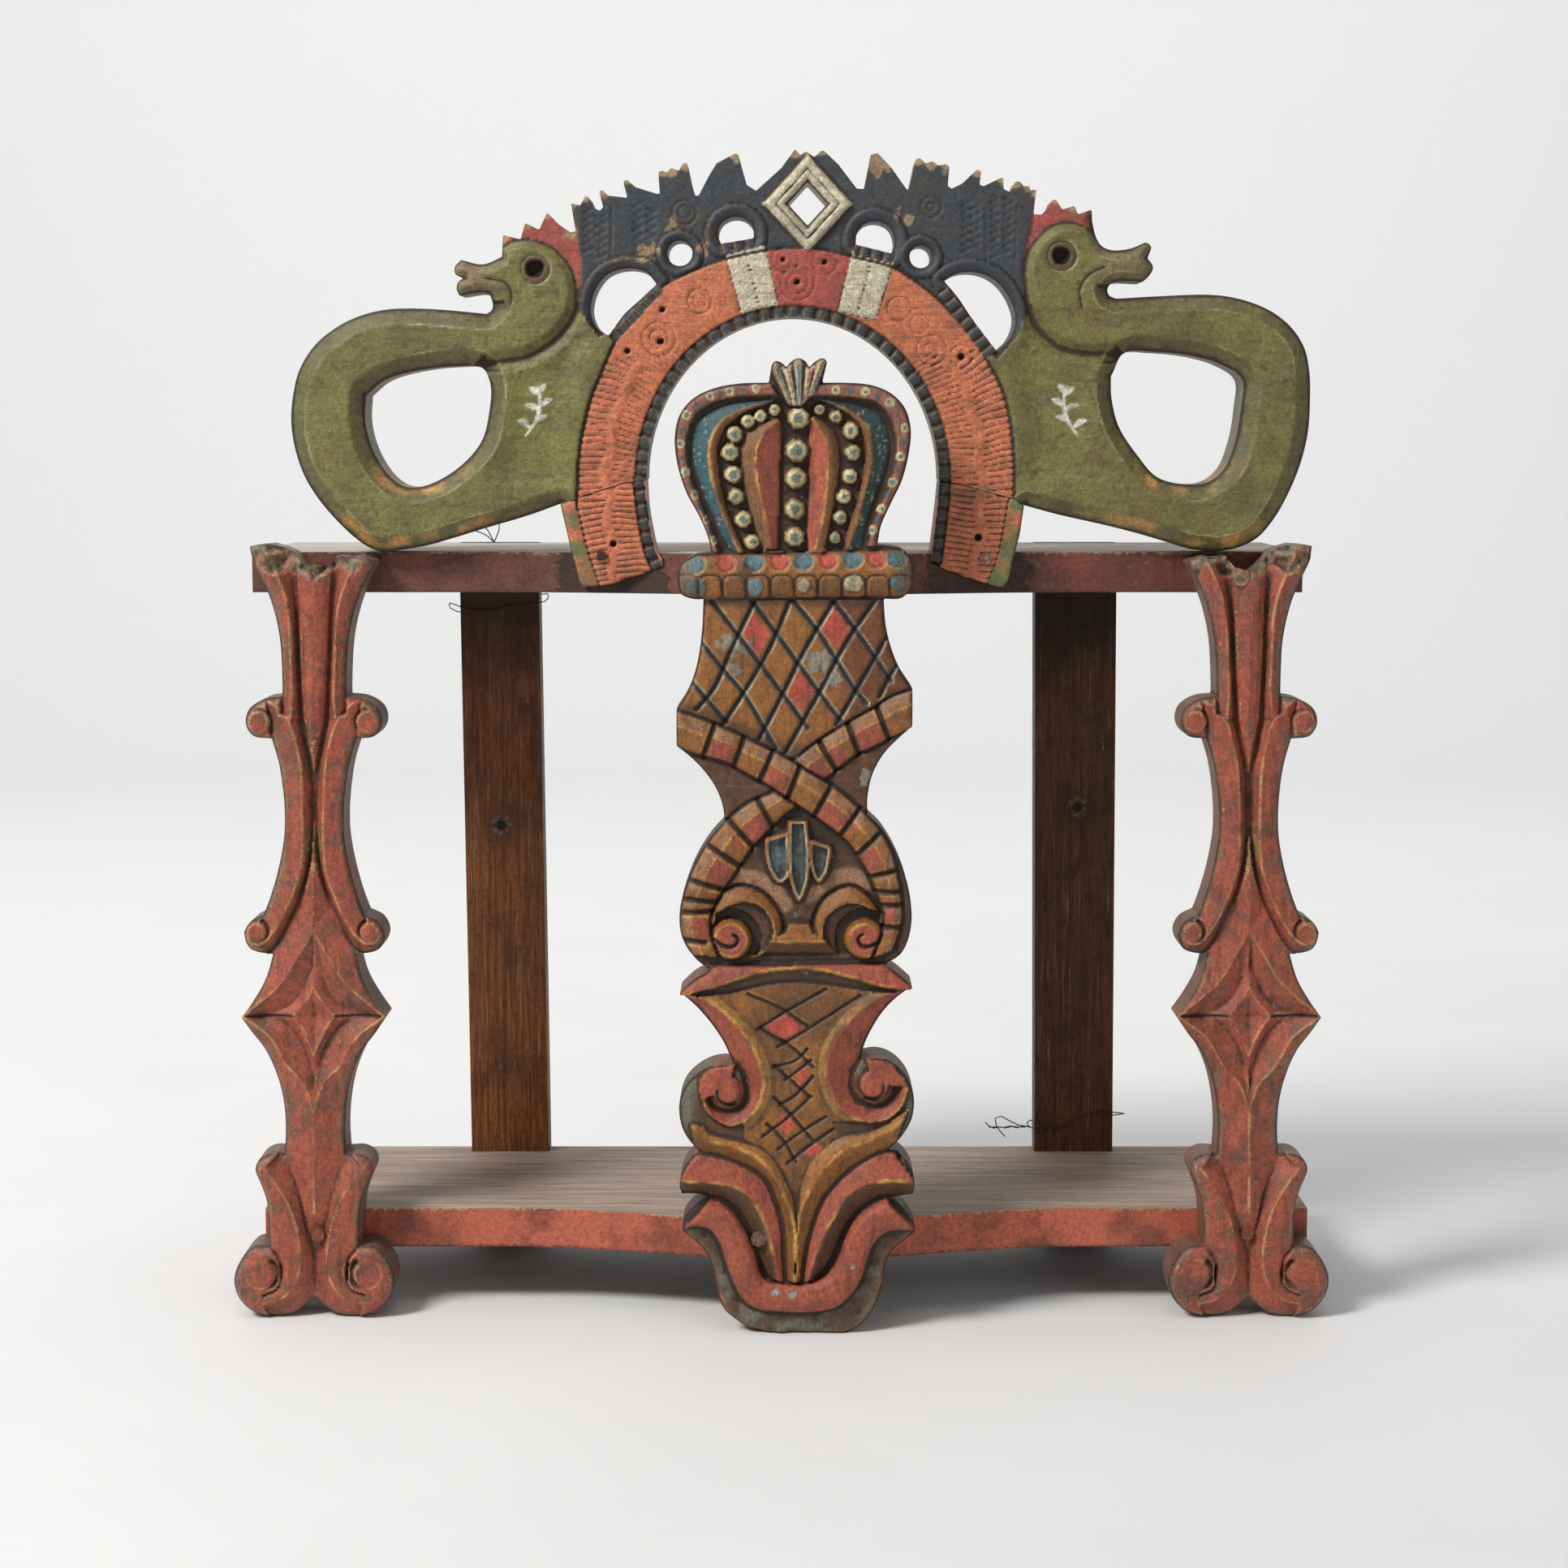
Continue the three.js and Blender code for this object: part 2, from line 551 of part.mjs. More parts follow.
// Hand-forged nails through the slats into the shelves, with square heads at the back.
const NAIL_TIP = 62;
const NAIL_HEAD_BACK = 111;
const NAIL_ROWS = [
  ['upper', UPPER_SHELF_Z + SHELF_THICK / 2],
  ['lower', LOWER_SHELF_Z + SHELF_THICK / 2],
];

function nailSpots() {
  const spots = [];
  for (const [side, middle] of [['left', slatMiddle(LEFT_SLAT)], ['right', slatMiddle(RIGHT_SLAT)]]) {
    for (const [row, z] of NAIL_ROWS) {
      for (const [place, shift] of [['outer', -13], ['inner', 13]]) {
        const out = side === 'left' ? shift : -shift;
        spots.push({ name: `slat_nail_${side}_${row}_${place}`, x: middle(z) + out, z });
      }
    }
  }
  return spots;
}

function nailSolid(spot) {
  const length = NAIL_HEAD_BACK - 1.6 - NAIL_TIP;
  const stem = box(spot.x, NAIL_TIP + length / 2, spot.z, NAIL_SIDE, length, NAIL_SIDE);
  const head = box(spot.x, NAIL_HEAD_BACK - 0.85, spot.z, NAIL_HEAD_SIDE, 1.7, NAIL_HEAD_SIDE);
  return stem.add(head);
}

function nailHole(spot) {
  const side = NAIL_SIDE + 2 * GAP;
  const middle = (NAIL_TIP - 1 + SLAT_BACK + 2) / 2;
  return box(spot.x, middle, spot.z, side, SLAT_BACK + 3 - NAIL_TIP, side);
}

// Back slats, each a tapering strip: [left, right] at the foot and at the top.
const LEFT_SLAT = { foot: [-186.6, -140.2], top: [-190.6, -143.9] };
const RIGHT_SLAT = { foot: [153.4, 200], top: [149.8, 198] };

function slatMiddle({ foot, top }) {
  return (z) => {
    const low = (foot[0] + foot[1]) / 2;
    const high = (top[0] + top[1]) / 2;
    return low + ((high - low) * z) / SLAT_TOP;
  };
}

function slatOutline({ foot, top }, extra) {
  return vectors([
    [foot[0] - extra, 0],
    [foot[1] + extra, 0],
    [top[1] + extra, SLAT_TOP],
    [top[0] - extra, SLAT_TOP],
  ]);
}

function slatSolid(slat) {
  return board(slatOutline(slat, 0), SLAT_FRONT, SLAT_BACK);
}

// Housing for a slat, cut out of a shelf's back edge and open at the back.
function slatHousing(slat) {
  const outline = slatOutline(slat, GAP).map((p) => new THREE.Vector2(p.x, p.y * 1.02 - 2));
  return board(outline, SLAT_FRONT - GAP, SHELF_BACK + 5);
}

// Shelf boards with a bowed front edge
function shelfFront(x) {
  const away = Math.min(Math.abs(x - SHELF_BOW_MIDDLE) / SHELF_BOW_REACH, 1);
  return SHELF_FRONT - (SHELF_BOW * (1 + Math.cos(Math.PI * away))) / 2;
}

function shelfSolid(ends, bottom) {
  const outline = [new THREE.Vector2(ends[0], SHELF_FRONT)];
  const steps = 28;
  for (let i = 0; i <= steps; i += 1) {
    const x = SHELF_BOW_MIDDLE + SHELF_BOW_REACH * ((2 * i) / steps - 1);
    outline.push(new THREE.Vector2(x, shelfFront(x)));
  }
  outline.push(new THREE.Vector2(ends[1], SHELF_FRONT));
  outline.push(new THREE.Vector2(ends[1], SHELF_BACK), new THREE.Vector2(ends[0], SHELF_BACK));
  return plank(outline, bottom, SHELF_THICK);
}

// Side post: carved leaves at the top, paired C-scrolls, a four-pointed star, and scrolled feet.
function sidePostSolid(side) {
  const face = SIDE_POST_FRONT;
  const cuts = [];
  for (const mirror of [-1, 1]) {
    const at = (points, steps) => {
      return lineThrough(points.map(([out, z]) => [sidePostAxis(side, z) + mirror * out, z]), face, steps);
    };
    cuts.push(groove(at([[13, 430], [11, 400], [7, 360], [2, 322]], 5), 3.4, 5));
    cuts.push(groove(at([[6, 342], [9, 325], [5.5, 295], [5, 272], [8, 245], [15, 226]], 8), 2.6, 4));
    cuts.push(groove(at([[0, 236], [11, 208], [24, 184], [38, 169]], 5), 2.2, 4));
    cuts.push(groove(at([[38, 169], [24, 156], [10, 134], [0, 112]], 5), 2.2, 4));
    cuts.push(groove(at([[0, 186], [16, 169.5], [0, 136]], 2), 2.6, 4.5));
    cuts.push(groove(at([[1.5, 60], [6.5, 84], [12, 100], [15, 112]], 5), 2.4, 4.5));
    cuts.push(groove(at([[2.5, 60], [6, 40], [14, 24], [24, 17]], 5), 2.6, 4.5));
    const first = mirror > 0 ? Math.PI : 0;
    for (const [out, z, radius, flip] of [[27, 333, 8, 1], [28.5, 214.5, 8, -1], [30.5, 26, 11, 1]]) {
      const start = first + mirror * flip * 0.6;
      const sense = -mirror * flip * 4.4;
      const middle = sidePostAxis(side, z) + mirror * out;
      const line = spiralLine(middle, z, radius, 2.5, start, sense, face, 8);
      cuts.push(groove(line, 1.8, 3.4, (t) => 1 - 0.6 * t));
    }
  }
  const inset = (p) => (p.y < 3 || p.y > 405 ? 0.6 : 3);
  const blank = chamferedBoard(sidePostOutline(side), [], face, SIDE_POST_BACK, inset, 3.5);
  return blank.subtract(Manifold.union(cuts));
}

// Crown: a rim band, two outer ribs, three rows of pearls and a lobed finial.
function crownParts(ground) {
  const parts = [];
  const rimRight = [[47, 430], [50, 441], [55, 452], [60, 464], [63.2, 477], [64, 487], [61, 497],
    [54.5, 504], [45, 508], [34, 509], [21, 509]];
  const rimLeft = [[-33.4, 426], [-35, 432], [-40, 444], [-46.5, 457], [-50.8, 470], [-52, 483],
    [-49.6, 494], [-43.5, 501.5], [-34, 506.5], [-22, 508.6], [-7, 509]];
  parts.push(ridge(lineThrough(rimRight, ground, 11), 3.6, 3.4));
  parts.push(ridge(lineThrough(rimLeft, ground, 11), 3.6, 3.4));
  const ribs = [
    [[-21, 426], [-29, 440], [-35.5, 458], [-38, 476], [-34, 490], [-24, 497], [-8, 500.5]],
    [[-5, 426], [-10, 445], [-15, 465], [-16, 480], [-10, 490], [-1, 496]],
    [[21, 426], [25, 445], [28, 465], [28, 480], [24, 489], [17, 496]],
    [[35, 428], [41, 445], [45.6, 462], [47, 478], [43, 490], [34, 498], [22, 501]],
  ];
  for (const rib of ribs) {
    parts.push(ridge(lineThrough(rib, ground, 5), 2.4, 2.6, (t) => 0.8 + 0.5 * Math.sin(Math.PI * t)));
  }
  const pearls = [
    [9, 494.5, 6], [8, 477.5, 6.2], [7.6, 463, 5.8], [7, 446.8, 5.6], [7, 432.2, 5.4],
    [-3.5, 498.6, 3.2], [-11, 495.6, 3.4], [-17.6, 492.8, 3.8], [-24.6, 486.2, 4.4], [-27, 476.6, 4.8],
    [-25.6, 465, 4.6], [-24, 453.4, 4.4], [-20, 441.4, 4.6], [-15.6, 429.6, 4.2],
    [20, 499, 3], [28.6, 495, 3.6], [36.4, 488, 4.6], [37.6, 476.4, 4.4], [36, 464, 4.2],
    [33, 453.4, 4], [31, 442.4, 3.8], [28.4, 431.6, 3.2],
  ];
  for (const [x, z, radius] of pearls) {
    parts.push(dome(x, z, radius, 0.42 * radius + 1.9, ground, 6));
  }
  const petals = [[[5, 500], [-2, 521], 3], [[8.4, 500], [9, 523], 3.2], [[12, 500], [20, 521], 3]];
  for (const [foot, tip, width] of petals) {
    parts.push(ridge(lineThrough([foot, tip], ground, 2), width, 3.6, (t) => 0.5 + 0.5 * t));
  }
  return parts;
}

// Ribbon of separate blocks with bevelled edges, laid along a line.
function ribbonParts(points, surface, blocks, halfWidth, height) {
  const parts = [];
  const ends = points.map(([x, z]) => new THREE.Vector3(x, z, 0));
  const curve = new THREE.CatmullRomCurve3(ends, false, 'centripetal');
  const profile = [[-1, -1], [1, -1], [0.6, height], [-0.6, height]];
  for (let i = 0; i < blocks; i += 1) {
    const line = [];
    for (const share of [0.06, 0.94]) {
      const p = curve.getPointAt((i + share) / blocks);
      line.push([p.x, p.y, surface]);
    }
    parts.push(sweep(line, profile, () => halfWidth));
  }
  return parts;
}

// Middle and foot of the centre post: crossed ribbons, leaf drops, vase, scrolls and leaves.
function stemParts(ground) {
  const parts = [];
  const falling = [[-52, 330.5], [-30, 321], [-10, 311.5], [10, 303], [27, 293.5], [40, 281.5], [50, 268],
    [57, 254], [61, 238], [60, 225], [55, 215], [48, 211]];
  const rising = [[66, 341], [48, 332.5], [30, 322], [18, 313]];
  const risingLower = [[0, 293], [-16, 283.5], [-30, 271], [-39, 257], [-46, 242], [-47.4, 229],
    [-43, 217], [-34, 210.6]];
  parts.push(...ribbonParts(risingLower, ground, 7, 8.2, 3.6));
  parts.push(...ribbonParts(rising, ground, 4, 8.2, 3.6));
  parts.push(...ribbonParts(falling, ground, 12, 8.4, 4.4));
  for (const [x, top, bottom, width] of [[8.6, 284, 240, 4.6], [-0.6, 276, 250, 4], [18.6, 276, 250, 4]]) {
    const line = lineThrough([[x, top], [x + 0.4, (top + bottom) / 2], [x, bottom]], ground, 4);
    parts.push(ridge(line, width, 3.4, (t) => Math.sqrt(Math.max(1 - (1.9 * t - 0.95) ** 2, 0.02))));
  }
  const scrolls = [
    [-29, 220, 9, 0.9, -5.2], [48, 219.6, 9.4, 2.2, 5.2],
    [-31, 136, 13.5, 0.5, -5.4], [49, 138, 13.5, 2.6, 5.4],
  ];
  for (const [x, z, radius, start, turn] of scrolls) {
    const line = spiralLine(x, z, radius, 3.5, start, turn, ground, 10);
    parts.push(ridge(line, 3.6, 3.6, (t) => 1 - 0.25 * t));
  }
  const lip = [[-51, 189], [-30, 200], [-8, 205.6], [12, 206.4], [34, 202.6], [52, 197.4], [66, 191.4]];
  parts.push(ridge(lineThrough(lip, ground, 10), 4.6, 4.6, (t) => 0.25 + 0.75 * Math.sin(Math.PI * t)));
  for (const side of [-1, 1]) {
    const at = (points) => points.map(([out, z]) => [CENTER_POST_MIDDLE + side * out, z]);
    const neck = at([[55, 188], [38, 171], [27, 155], [22.5, 138], [28, 122], [42, 117]]);
    const outerBand = at([[59, 128], [54, 112], [40, 102], [24, 90], [9, 70], [2.5, 36]]);
    const leaf = at([[60, 84], [44, 92], [28, 82], [18, 66], [11, 50], [7, 34]]);
    const cup = at([[58, 60], [47, 67], [36, 56], [30, 38], [22, 26], [8, 21.4], [0, 21]]);
    parts.push(ridge(lineThrough(neck, ground, 7), 4.4, 4, (t) => 0.35 + 0.65 * Math.sin(Math.PI * t)));
    parts.push(ridge(lineThrough(outerBand, ground, 7), 4.2, 4, (t) => 1.1 - 0.7 * t));
    const leafTaper = (t) => 0.5 + 0.6 * Math.sin(Math.PI * t) - 0.3 * t;
    parts.push(ridge(lineThrough(leaf, ground, 7), 5, 4.4, leafTaper));
    parts.push(ridge(lineThrough(cup, ground, 9), 6.4, 5, (t) => 0.55 + 0.45 * Math.min(1, 3 * t)));
  }
  return parts;
}

// Diagonal V-grooves that cross inside a field of the centre post.
function latticeCuts(surface) {
  const cuts = [];
  const falling = [
    [[-39, 399], [3, 334]], [[-16, 399], [31, 334]], [[4, 399], [40, 345]], [[27, 398], [58, 354]],
    [[-42.5, 376], [-3, 320]], [[0, 163], [18, 148]], [[-2, 148], [14, 132]], [[-3, 131], [16, 108]],
  ];
  const rising = [
    [[-44, 341], [-16, 397]], [[-30, 335], [4, 397]], [[-12, 327], [27, 398]], [[2, 318], [50, 399]],
    [[30, 335], [56, 382]], [[-3, 148], [14, 166]], [[0, 128], [16, 150]], [[-12, 110], [16, 134]],
  ];
  for (const ends of [...falling, ...rising]) {
    cuts.push(groove(lineThrough(ends, surface, 1), 1.5, 2));
  }
  return cuts;
}

function centerPostSolid() {
  const ground = CENTER_POST_GROUND;
  const outline = smoothPoints(CENTER_POST_OUTLINE, 1);
  const inset = (p) => (p.y < 3 ? 0.5 : 2.4);
  const blank = chamferedBoard(outline, [], ground, CENTER_POST_BACK, inset, 3);
  const band = chamferedBoard(smoothPoints([
    [[-46, 399.6], [61, 399.6], [68.6, 406], [69, 418], [63, 424.6], [-44, 422.4], [-52, 417],
      [-54.4, 409], [-51, 402.4], [-46, 399.6]],
  ], 2), [], CENTER_POST_FRONT, ground + 2, () => 2, 2);
  const raised = Manifold.union([...crownParts(ground), ...stemParts(ground)]);
  const limits = box(CENTER_POST_MIDDLE, CENTER_POST_FRONT + 20, 265, 127.4, 40, 530);
  const shaped = blank.add(raised.intersect(limits)).add(band);
  return shaped.subtract(Manifold.union(latticeCuts(ground)));
}

// The bow: one carved board with an arch, a pierced comb, and a looped dragon at each end.
function archPoints(halfWidth, rise, count) {
  const points = [];
  for (let i = 1; i < count; i += 1) {
    const angle = (i / count) * Math.PI;
    points.push([ARCH_MIDDLE + halfWidth * Math.cos(angle), ARCH_SPRING + rise * Math.sin(angle)]);
  }
  return points;
}

function bowOutline() {
  return [
    ...smoothPoints(LEFT_DRAGON, 1).slice(0, -1),
    ...vectors(COMB_EDGE.slice(0, -1)),
    ...smoothPoints(RIGHT_DRAGON, 1),
    ...vectors(RIGHT_JOINT.slice(1)),
    ...vectors(archPoints(ARCH_HALF_WIDTH, ARCH_RISE, 22)),
    ...vectors(LEFT_JOINT.slice(0, -1)),
  ];
}

function diamondRing(reach) {
  const { x, z, halfWidth, halfHeight } = DIAMOND;
  const grow = (halfWidth + reach) / halfWidth;
  const tall = halfHeight * grow;
  return vectors([[x, z - tall], [x + halfWidth * grow, z], [x, z + tall], [x - halfWidth * grow, z]]);
}

// Where the ground between the raised parts is sunk below the face.
const SUNK_FIELDS = [
  [[-106, 553], [-97, 541], [-84, 552], [-64, 569], [-40, 579.5], [0, 588], [20, 588], [44, 583],
    [70, 574.5], [88, 562], [104, 547], [118, 530], [127, 546], [131, 575], [133.4, 600], [140, 625],
    [40, 645], [-30, 645], [-116, 618], [-112, 596], [-107, 576]],
  [[-153, 519], [-150, 523.4], [-137, 527.4], [-124.6, 535], [-114, 544.6], [-108, 551], [-99, 539],
    [-104, 525], [-109, 505], [-113, 480], [-114, 454], [-140, 450], [-172, 470], [-157, 490]],
  [[174, 525], [171, 529], [158, 531], [146, 536], [138, 542], [131, 551], [126, 541], [120, 529],
    [125, 508], [128.5, 485], [129, 456], [150, 452], [190, 466], [176, 490]],
];

function bowSolid() {
  const holes = [
    smoothPoints(LEFT_LOOP, 2),
    smoothPoints(RIGHT_LOOP, 2),
    smoothPoints(LEFT_D_HOLE, 2),
    smoothPoints(RIGHT_D_HOLE, 2),
    smoothPoints(LEFT_HALF_ROUND, 1),
    smoothPoints(RIGHT_HALF_ROUND, 1),
    ...ROUND_HOLES.map(([x, z, radius]) => circlePoints(x, z, radius, 10)),
    diamondRing(0),
  ];
  const inset = (p) => {
    const comb = p.x > -116 && p.x < 140 && p.y > 531;
    const joint = p.x > -126 && p.x < 136 && p.y < 463;
    const head = p.x > -176 && p.x < 200 && p.y > 559;
    return comb || joint || head ? 0.8 : 6.5;
  };
  const blank = chamferedBoard(bowOutline(), holes, BOW_FRONT, BOW_BACK, inset, 5.5);
  const sunk = SUNK_FIELDS.map((field) => board(vectors(field), BOW_FRONT - 2, BOW_FRONT + 3));
  const edgeLines = [
    lineThrough([[-112, 456], [-110.5, 475], [-107, 490], [-101, 508], [-90.3, 533.7], [-83, 545],
      [-73, 556.5], [-62.9, 565.2], [-41, 575.6], [-9, 583.7], [12, 585], [38, 580.5], [60, 574.6],
      [80.6, 561.1], [93.5, 548.2], [111, 524.8], [120, 506], [124.4, 486.9], [126.4, 458]],
    BOW_FRONT, 24),
    lineThrough([[-79, 464], [-77.6, 478], [-71, 500], [-57, 521], [-36, 538.6], [-14, 549], [5, 552.6],
      [24, 550], [46, 540], [66, 525], [80, 505], [88, 480], [91, 464]], BOW_FRONT, 18),
  ];
  const grooves = edgeLines.map((line) => groove(line, 0.9, 1.4));
  const eyes = [[-132, 573.5, 3.4], [150, 581, 3.4]].map(([x, z, radius]) => {
    return shank(x, z, radius, 10, BOW_FRONT - 2, BOW_FRONT + 9);
  });
  const band = chamferedBoard(diamondRing(DIAMOND.band), [diamondRing(0.6)], BOW_FRONT - 1.5,
    BOW_FRONT + 6, () => 2.5, 2.5);
  const limits = board(bowOutline(), BOW_FRONT - 5, BOW_BACK + 5);
  const rims = [
    [smoothPoints(LEFT_HALF_ROUND, 1), -24, 594], [smoothPoints(RIGHT_HALF_ROUND, 1), 50, 590.5],
    ...ROUND_HOLES.map(([x, z, radius]) => [circlePoints(x, z, radius, 10), x, z]),
  ].map(([ring, x, z]) => {
    const outer = ring.map((p) => new THREE.Vector2(x + (p.x - x) * 1.42, z + (p.y - z) * 1.42));
    const inner = ring.map((p) => new THREE.Vector2(x + (p.x - x) * 1.06, z + (p.y - z) * 1.06));
    return chamferedBoard(outer, [inner], BOW_FRONT, BOW_FRONT + 5, () => 1, 1.2);
  });
  const raised = Manifold.union([band, ...rims]).intersect(limits);
  const holeThrough = board(diamondRing(0), BOW_FRONT - 6, BOW_BACK + 6);
  return blank.subtract(Manifold.union([...sunk, ...grooves, ...eyes])).add(raised).subtract(holeThrough);
}

function footOutline(sides, joint) {
  const top = joint.slice(1, -1).reverse().map(([x, z]) => [x, z - 0.5]);
  const corner = sides === LEFT_FOOT_SIDES ? [-119.5, 448.2] : [86, 460.8];
  return vectors([...sides, corner, ...top]);
}

function footSolid(sides, joint) {
  const inset = (p) => (p.y > 446 ? 0.4 : 1.2);
  return chamferedBoard(footOutline(sides, joint), [], BOW_FRONT, BOW_BACK, inset, 1.5);
}

// Slot in the upper shelf's front edge that a foot of the bow stands in.
function footSlot(sides, joint) {
  const clearances = [[0.5, 0], [-0.5, 0], [0, 0.5], [0, -0.5]];
  return Manifold.union(clearances.map(([dx, dz]) => {
    const outline = footOutline(sides, joint).map((p) => new THREE.Vector2(p.x + dx, p.y + dz));
    return board(outline, SHELF_FRONT - SHELF_BOW - 5, BOW_BACK + 0.4);
  }));
}

// Iron binding wire. The loops are stiff and keep their shape.
const LEFT_WIRE_LOOP = [
  [-160, 88, 384.8], [-175, 87.8, 382.4], [-186, 87.6, 383], [-193, 87.8, 385.6], [-197.4, 94, 386.4],
  [-198, 101, 384.4], [-197, 107.6, 381.4], [-192.6, 110.2, 380], [-184, 110.2, 380.4],
  [-168, 110, 384], [-152, 110, 389], [-142.4, 110.2, 391], [-139.6, 106, 391], [-139, 98, 389.4],
  [-139.6, 90, 387.8], [-142.6, 87.8, 387],
];
const LEFT_WIRE_TAILS = [
  [[-168, 110, 384.2], [-172, 110.2, 398], [-171.4, 110.3, 412], [-172.4, 110.3, 424], [-177, 106, 431],
    [-178.6, 104, 433.5]],
  [[-168, 110.2, 384.4], [-170.6, 110.5, 400], [-173.2, 110.5, 413], [-170.8, 110.3, 425],
    [-167.4, 107, 431.4], [-168, 103.6, 434]],
  [[-171.8, 110.4, 421.6], [-176, 106.4, 426], [-183, 98, 429.5]],
];
const RIGHT_WIRE_LOOP = [
  [150, 91.4, 69.6], [151, 87.8, 69.8], [158, 87.8, 69.9], [165, 87.9, 70.2], [172, 87.9, 72.6],
  [182, 87.9, 77.4], [191, 87.9, 80], [202, 88, 79.4], [206, 90.6, 78.4], [207.4, 97, 76.8],
  [206, 106, 74.2], [202.6, 110.2, 72.8], [196, 110.2, 72.4], [180, 110, 71], [160, 110, 69.8],
  [151.6, 110.4, 69.5], [149.6, 107.6, 69.4], [149.4, 100, 69.4],
];
const RIGHT_WIRE_TAILS = [
  [[150.4, 92, 69.6], [146, 91.5, 70.4], [142, 92, 69], [138, 91.5, 70.4], [134, 92, 69.2],
    [130, 91.5, 69.8], [126, 91.6, 69.4], [123.2, 90.8, 72.8]],
  [[150.2, 96, 69.4], [145, 93.4, 69], [140.6, 92, 70.2], [136.6, 93, 68.8], [132, 92, 69.6],
    [127, 92.6, 68.8], [124.6, 92.4, 70.6]],
  [[148, 91.8, 70], [143, 92.4, 70.8], [139, 93, 72.4], [134.6, 94, 75.2], [130.4, 95, 76],
    [129.2, 97, 72.6], [131.8, 100, 66.4], [136, 102.9, 61.2]],
];

function wireSolid(loop, tails) {
  const closedLoop = [...loop, loop[0]];
  const half = Math.ceil(closedLoop.length / 2);
  const front = closedLoop.slice(0, half + 1);
  const rear = closedLoop.slice(half - 1);
  const parts = [tube(front, 13, false), tube(rear, 13, false)];
  tails.forEach((tail) => parts.push(tube(tail, 7, false)));
  return Manifold.union(parts);
}

// Assembly

const pegHoles = Manifold.union(Object.values(PEGS).map(pegHole));
const nails = nailSpots();
const nailHoles = Manifold.union(nails.map(nailHole));
const housings = slatHousing(LEFT_SLAT).add(slatHousing(RIGHT_SLAT));
const footSlots = footSlot(LEFT_FOOT_SIDES, LEFT_JOINT).add(footSlot(RIGHT_FOOT_SIDES, RIGHT_JOINT));

const footNail = { x: -97.6, z: 421.1, side: 4.2 };
const footNailLine = (extra, back, ahead) => {
  const reach = (footNail.side / 2 + extra) * Math.SQRT2;
  return shank(footNail.x, footNail.z, reach, 4, BOW_FRONT - 1.2, back, TOE_TILT, ahead);
};
const footNailHole = footNailLine(GAP, -12 + GAP, 6);
const archPlug = { x: -115.8, z: 467.3, side: 6.4 };
const archPlugBox = (extra) => {
  const side = archPlug.side + 2 * extra;
  const back = BOW_FRONT + 15 + extra;
  const front = BOW_FRONT + 2.7 - 10 * extra;
  return box(archPlug.x, (front + back) / 2, archPlug.z, side, back - front, side);
};

const lowerShelf = shelfSolid(LOWER_SHELF_ENDS, LOWER_SHELF_Z);
const upperShelf = shelfSolid(UPPER_SHELF_ENDS, UPPER_SHELF_Z);
addPiece('lower_shelf', lowerShelf.subtract(housings).subtract(nailHoles).subtract(pegHoles), RED, 0.7);
addPiece('upper_shelf', upperShelf.subtract(housings).subtract(nailHoles).subtract(pegHoles)
  .subtract(footSlots).subtract(footNailHole), DARK_RED, 0.7);
addPiece('back_slat_left', slatSolid(LEFT_SLAT).subtract(nailHoles), DARK_STAIN, 0.65);
addPiece('back_slat_right', slatSolid(RIGHT_SLAT).subtract(nailHoles), DARK_STAIN, 0.65);
addPiece('side_post_left', sidePostSolid(-1).subtract(pegHoles), RED, 0.6);
addPiece('side_post_right', sidePostSolid(1).subtract(pegHoles), RED, 0.6);
addPiece('center_post', centerPostSolid().subtract(pegHoles), OCHRE, 0.55);
addPiece('bow', bowSolid().subtract(archPlugBox(GAP)), GREEN, 0.6);
const leftFoot = footSolid(LEFT_FOOT_SIDES, LEFT_JOINT);
const rightFoot = footSolid(RIGHT_FOOT_SIDES, RIGHT_JOINT);
addPiece('bow_foot_left', leftFoot.subtract(footNailHole), ARCH_ORANGE, 0.6);
addPiece('bow_foot_right', rightFoot.subtract(pegHoles), ARCH_ORANGE, 0.6);
addPiece('bow_foot_nail_left', footNailLine(0, -12, 0), IRON, 0.7, 0.6);
addPiece('bow_arch_plug', archPlugBox(0), GREEN, 0.6);
for (const [name, peg] of Object.entries(PEGS)) {
  addPiece(name, pegSolid(peg), BARE_PEG, 0.8);
}
for (const nail of nails) {
  addPiece(nail.name, nailSolid(nail), IRON, 0.7, 0.6);
}
addPiece('wire_left', wireSolid(LEFT_WIRE_LOOP, LEFT_WIRE_TAILS), IRON, 0.5, 0.8);
addPiece('wire_right', wireSolid(RIGHT_WIRE_LOOP, RIGHT_WIRE_TAILS), IRON, 0.5, 0.8);

export default shelf;
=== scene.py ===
"""Looks of a carved and painted folk shelf with a harness bow on top.

The carved boards (side posts, centre post, bow and its feet) are reliefs: a fine grid over the
board's outline, raised and cut by strokes, with side walls and a back. The other pieces are the CAD
model's own, with a material. Sizes are in millimetres in the CAD model's frame (X right, Y back,
Z up) and become metres when a mesh is made. Lights and the floor are in metres.
"""

import math

import bpy
import numpy as np
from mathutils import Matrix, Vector
from mathutils.geometry import tessellate_polygon


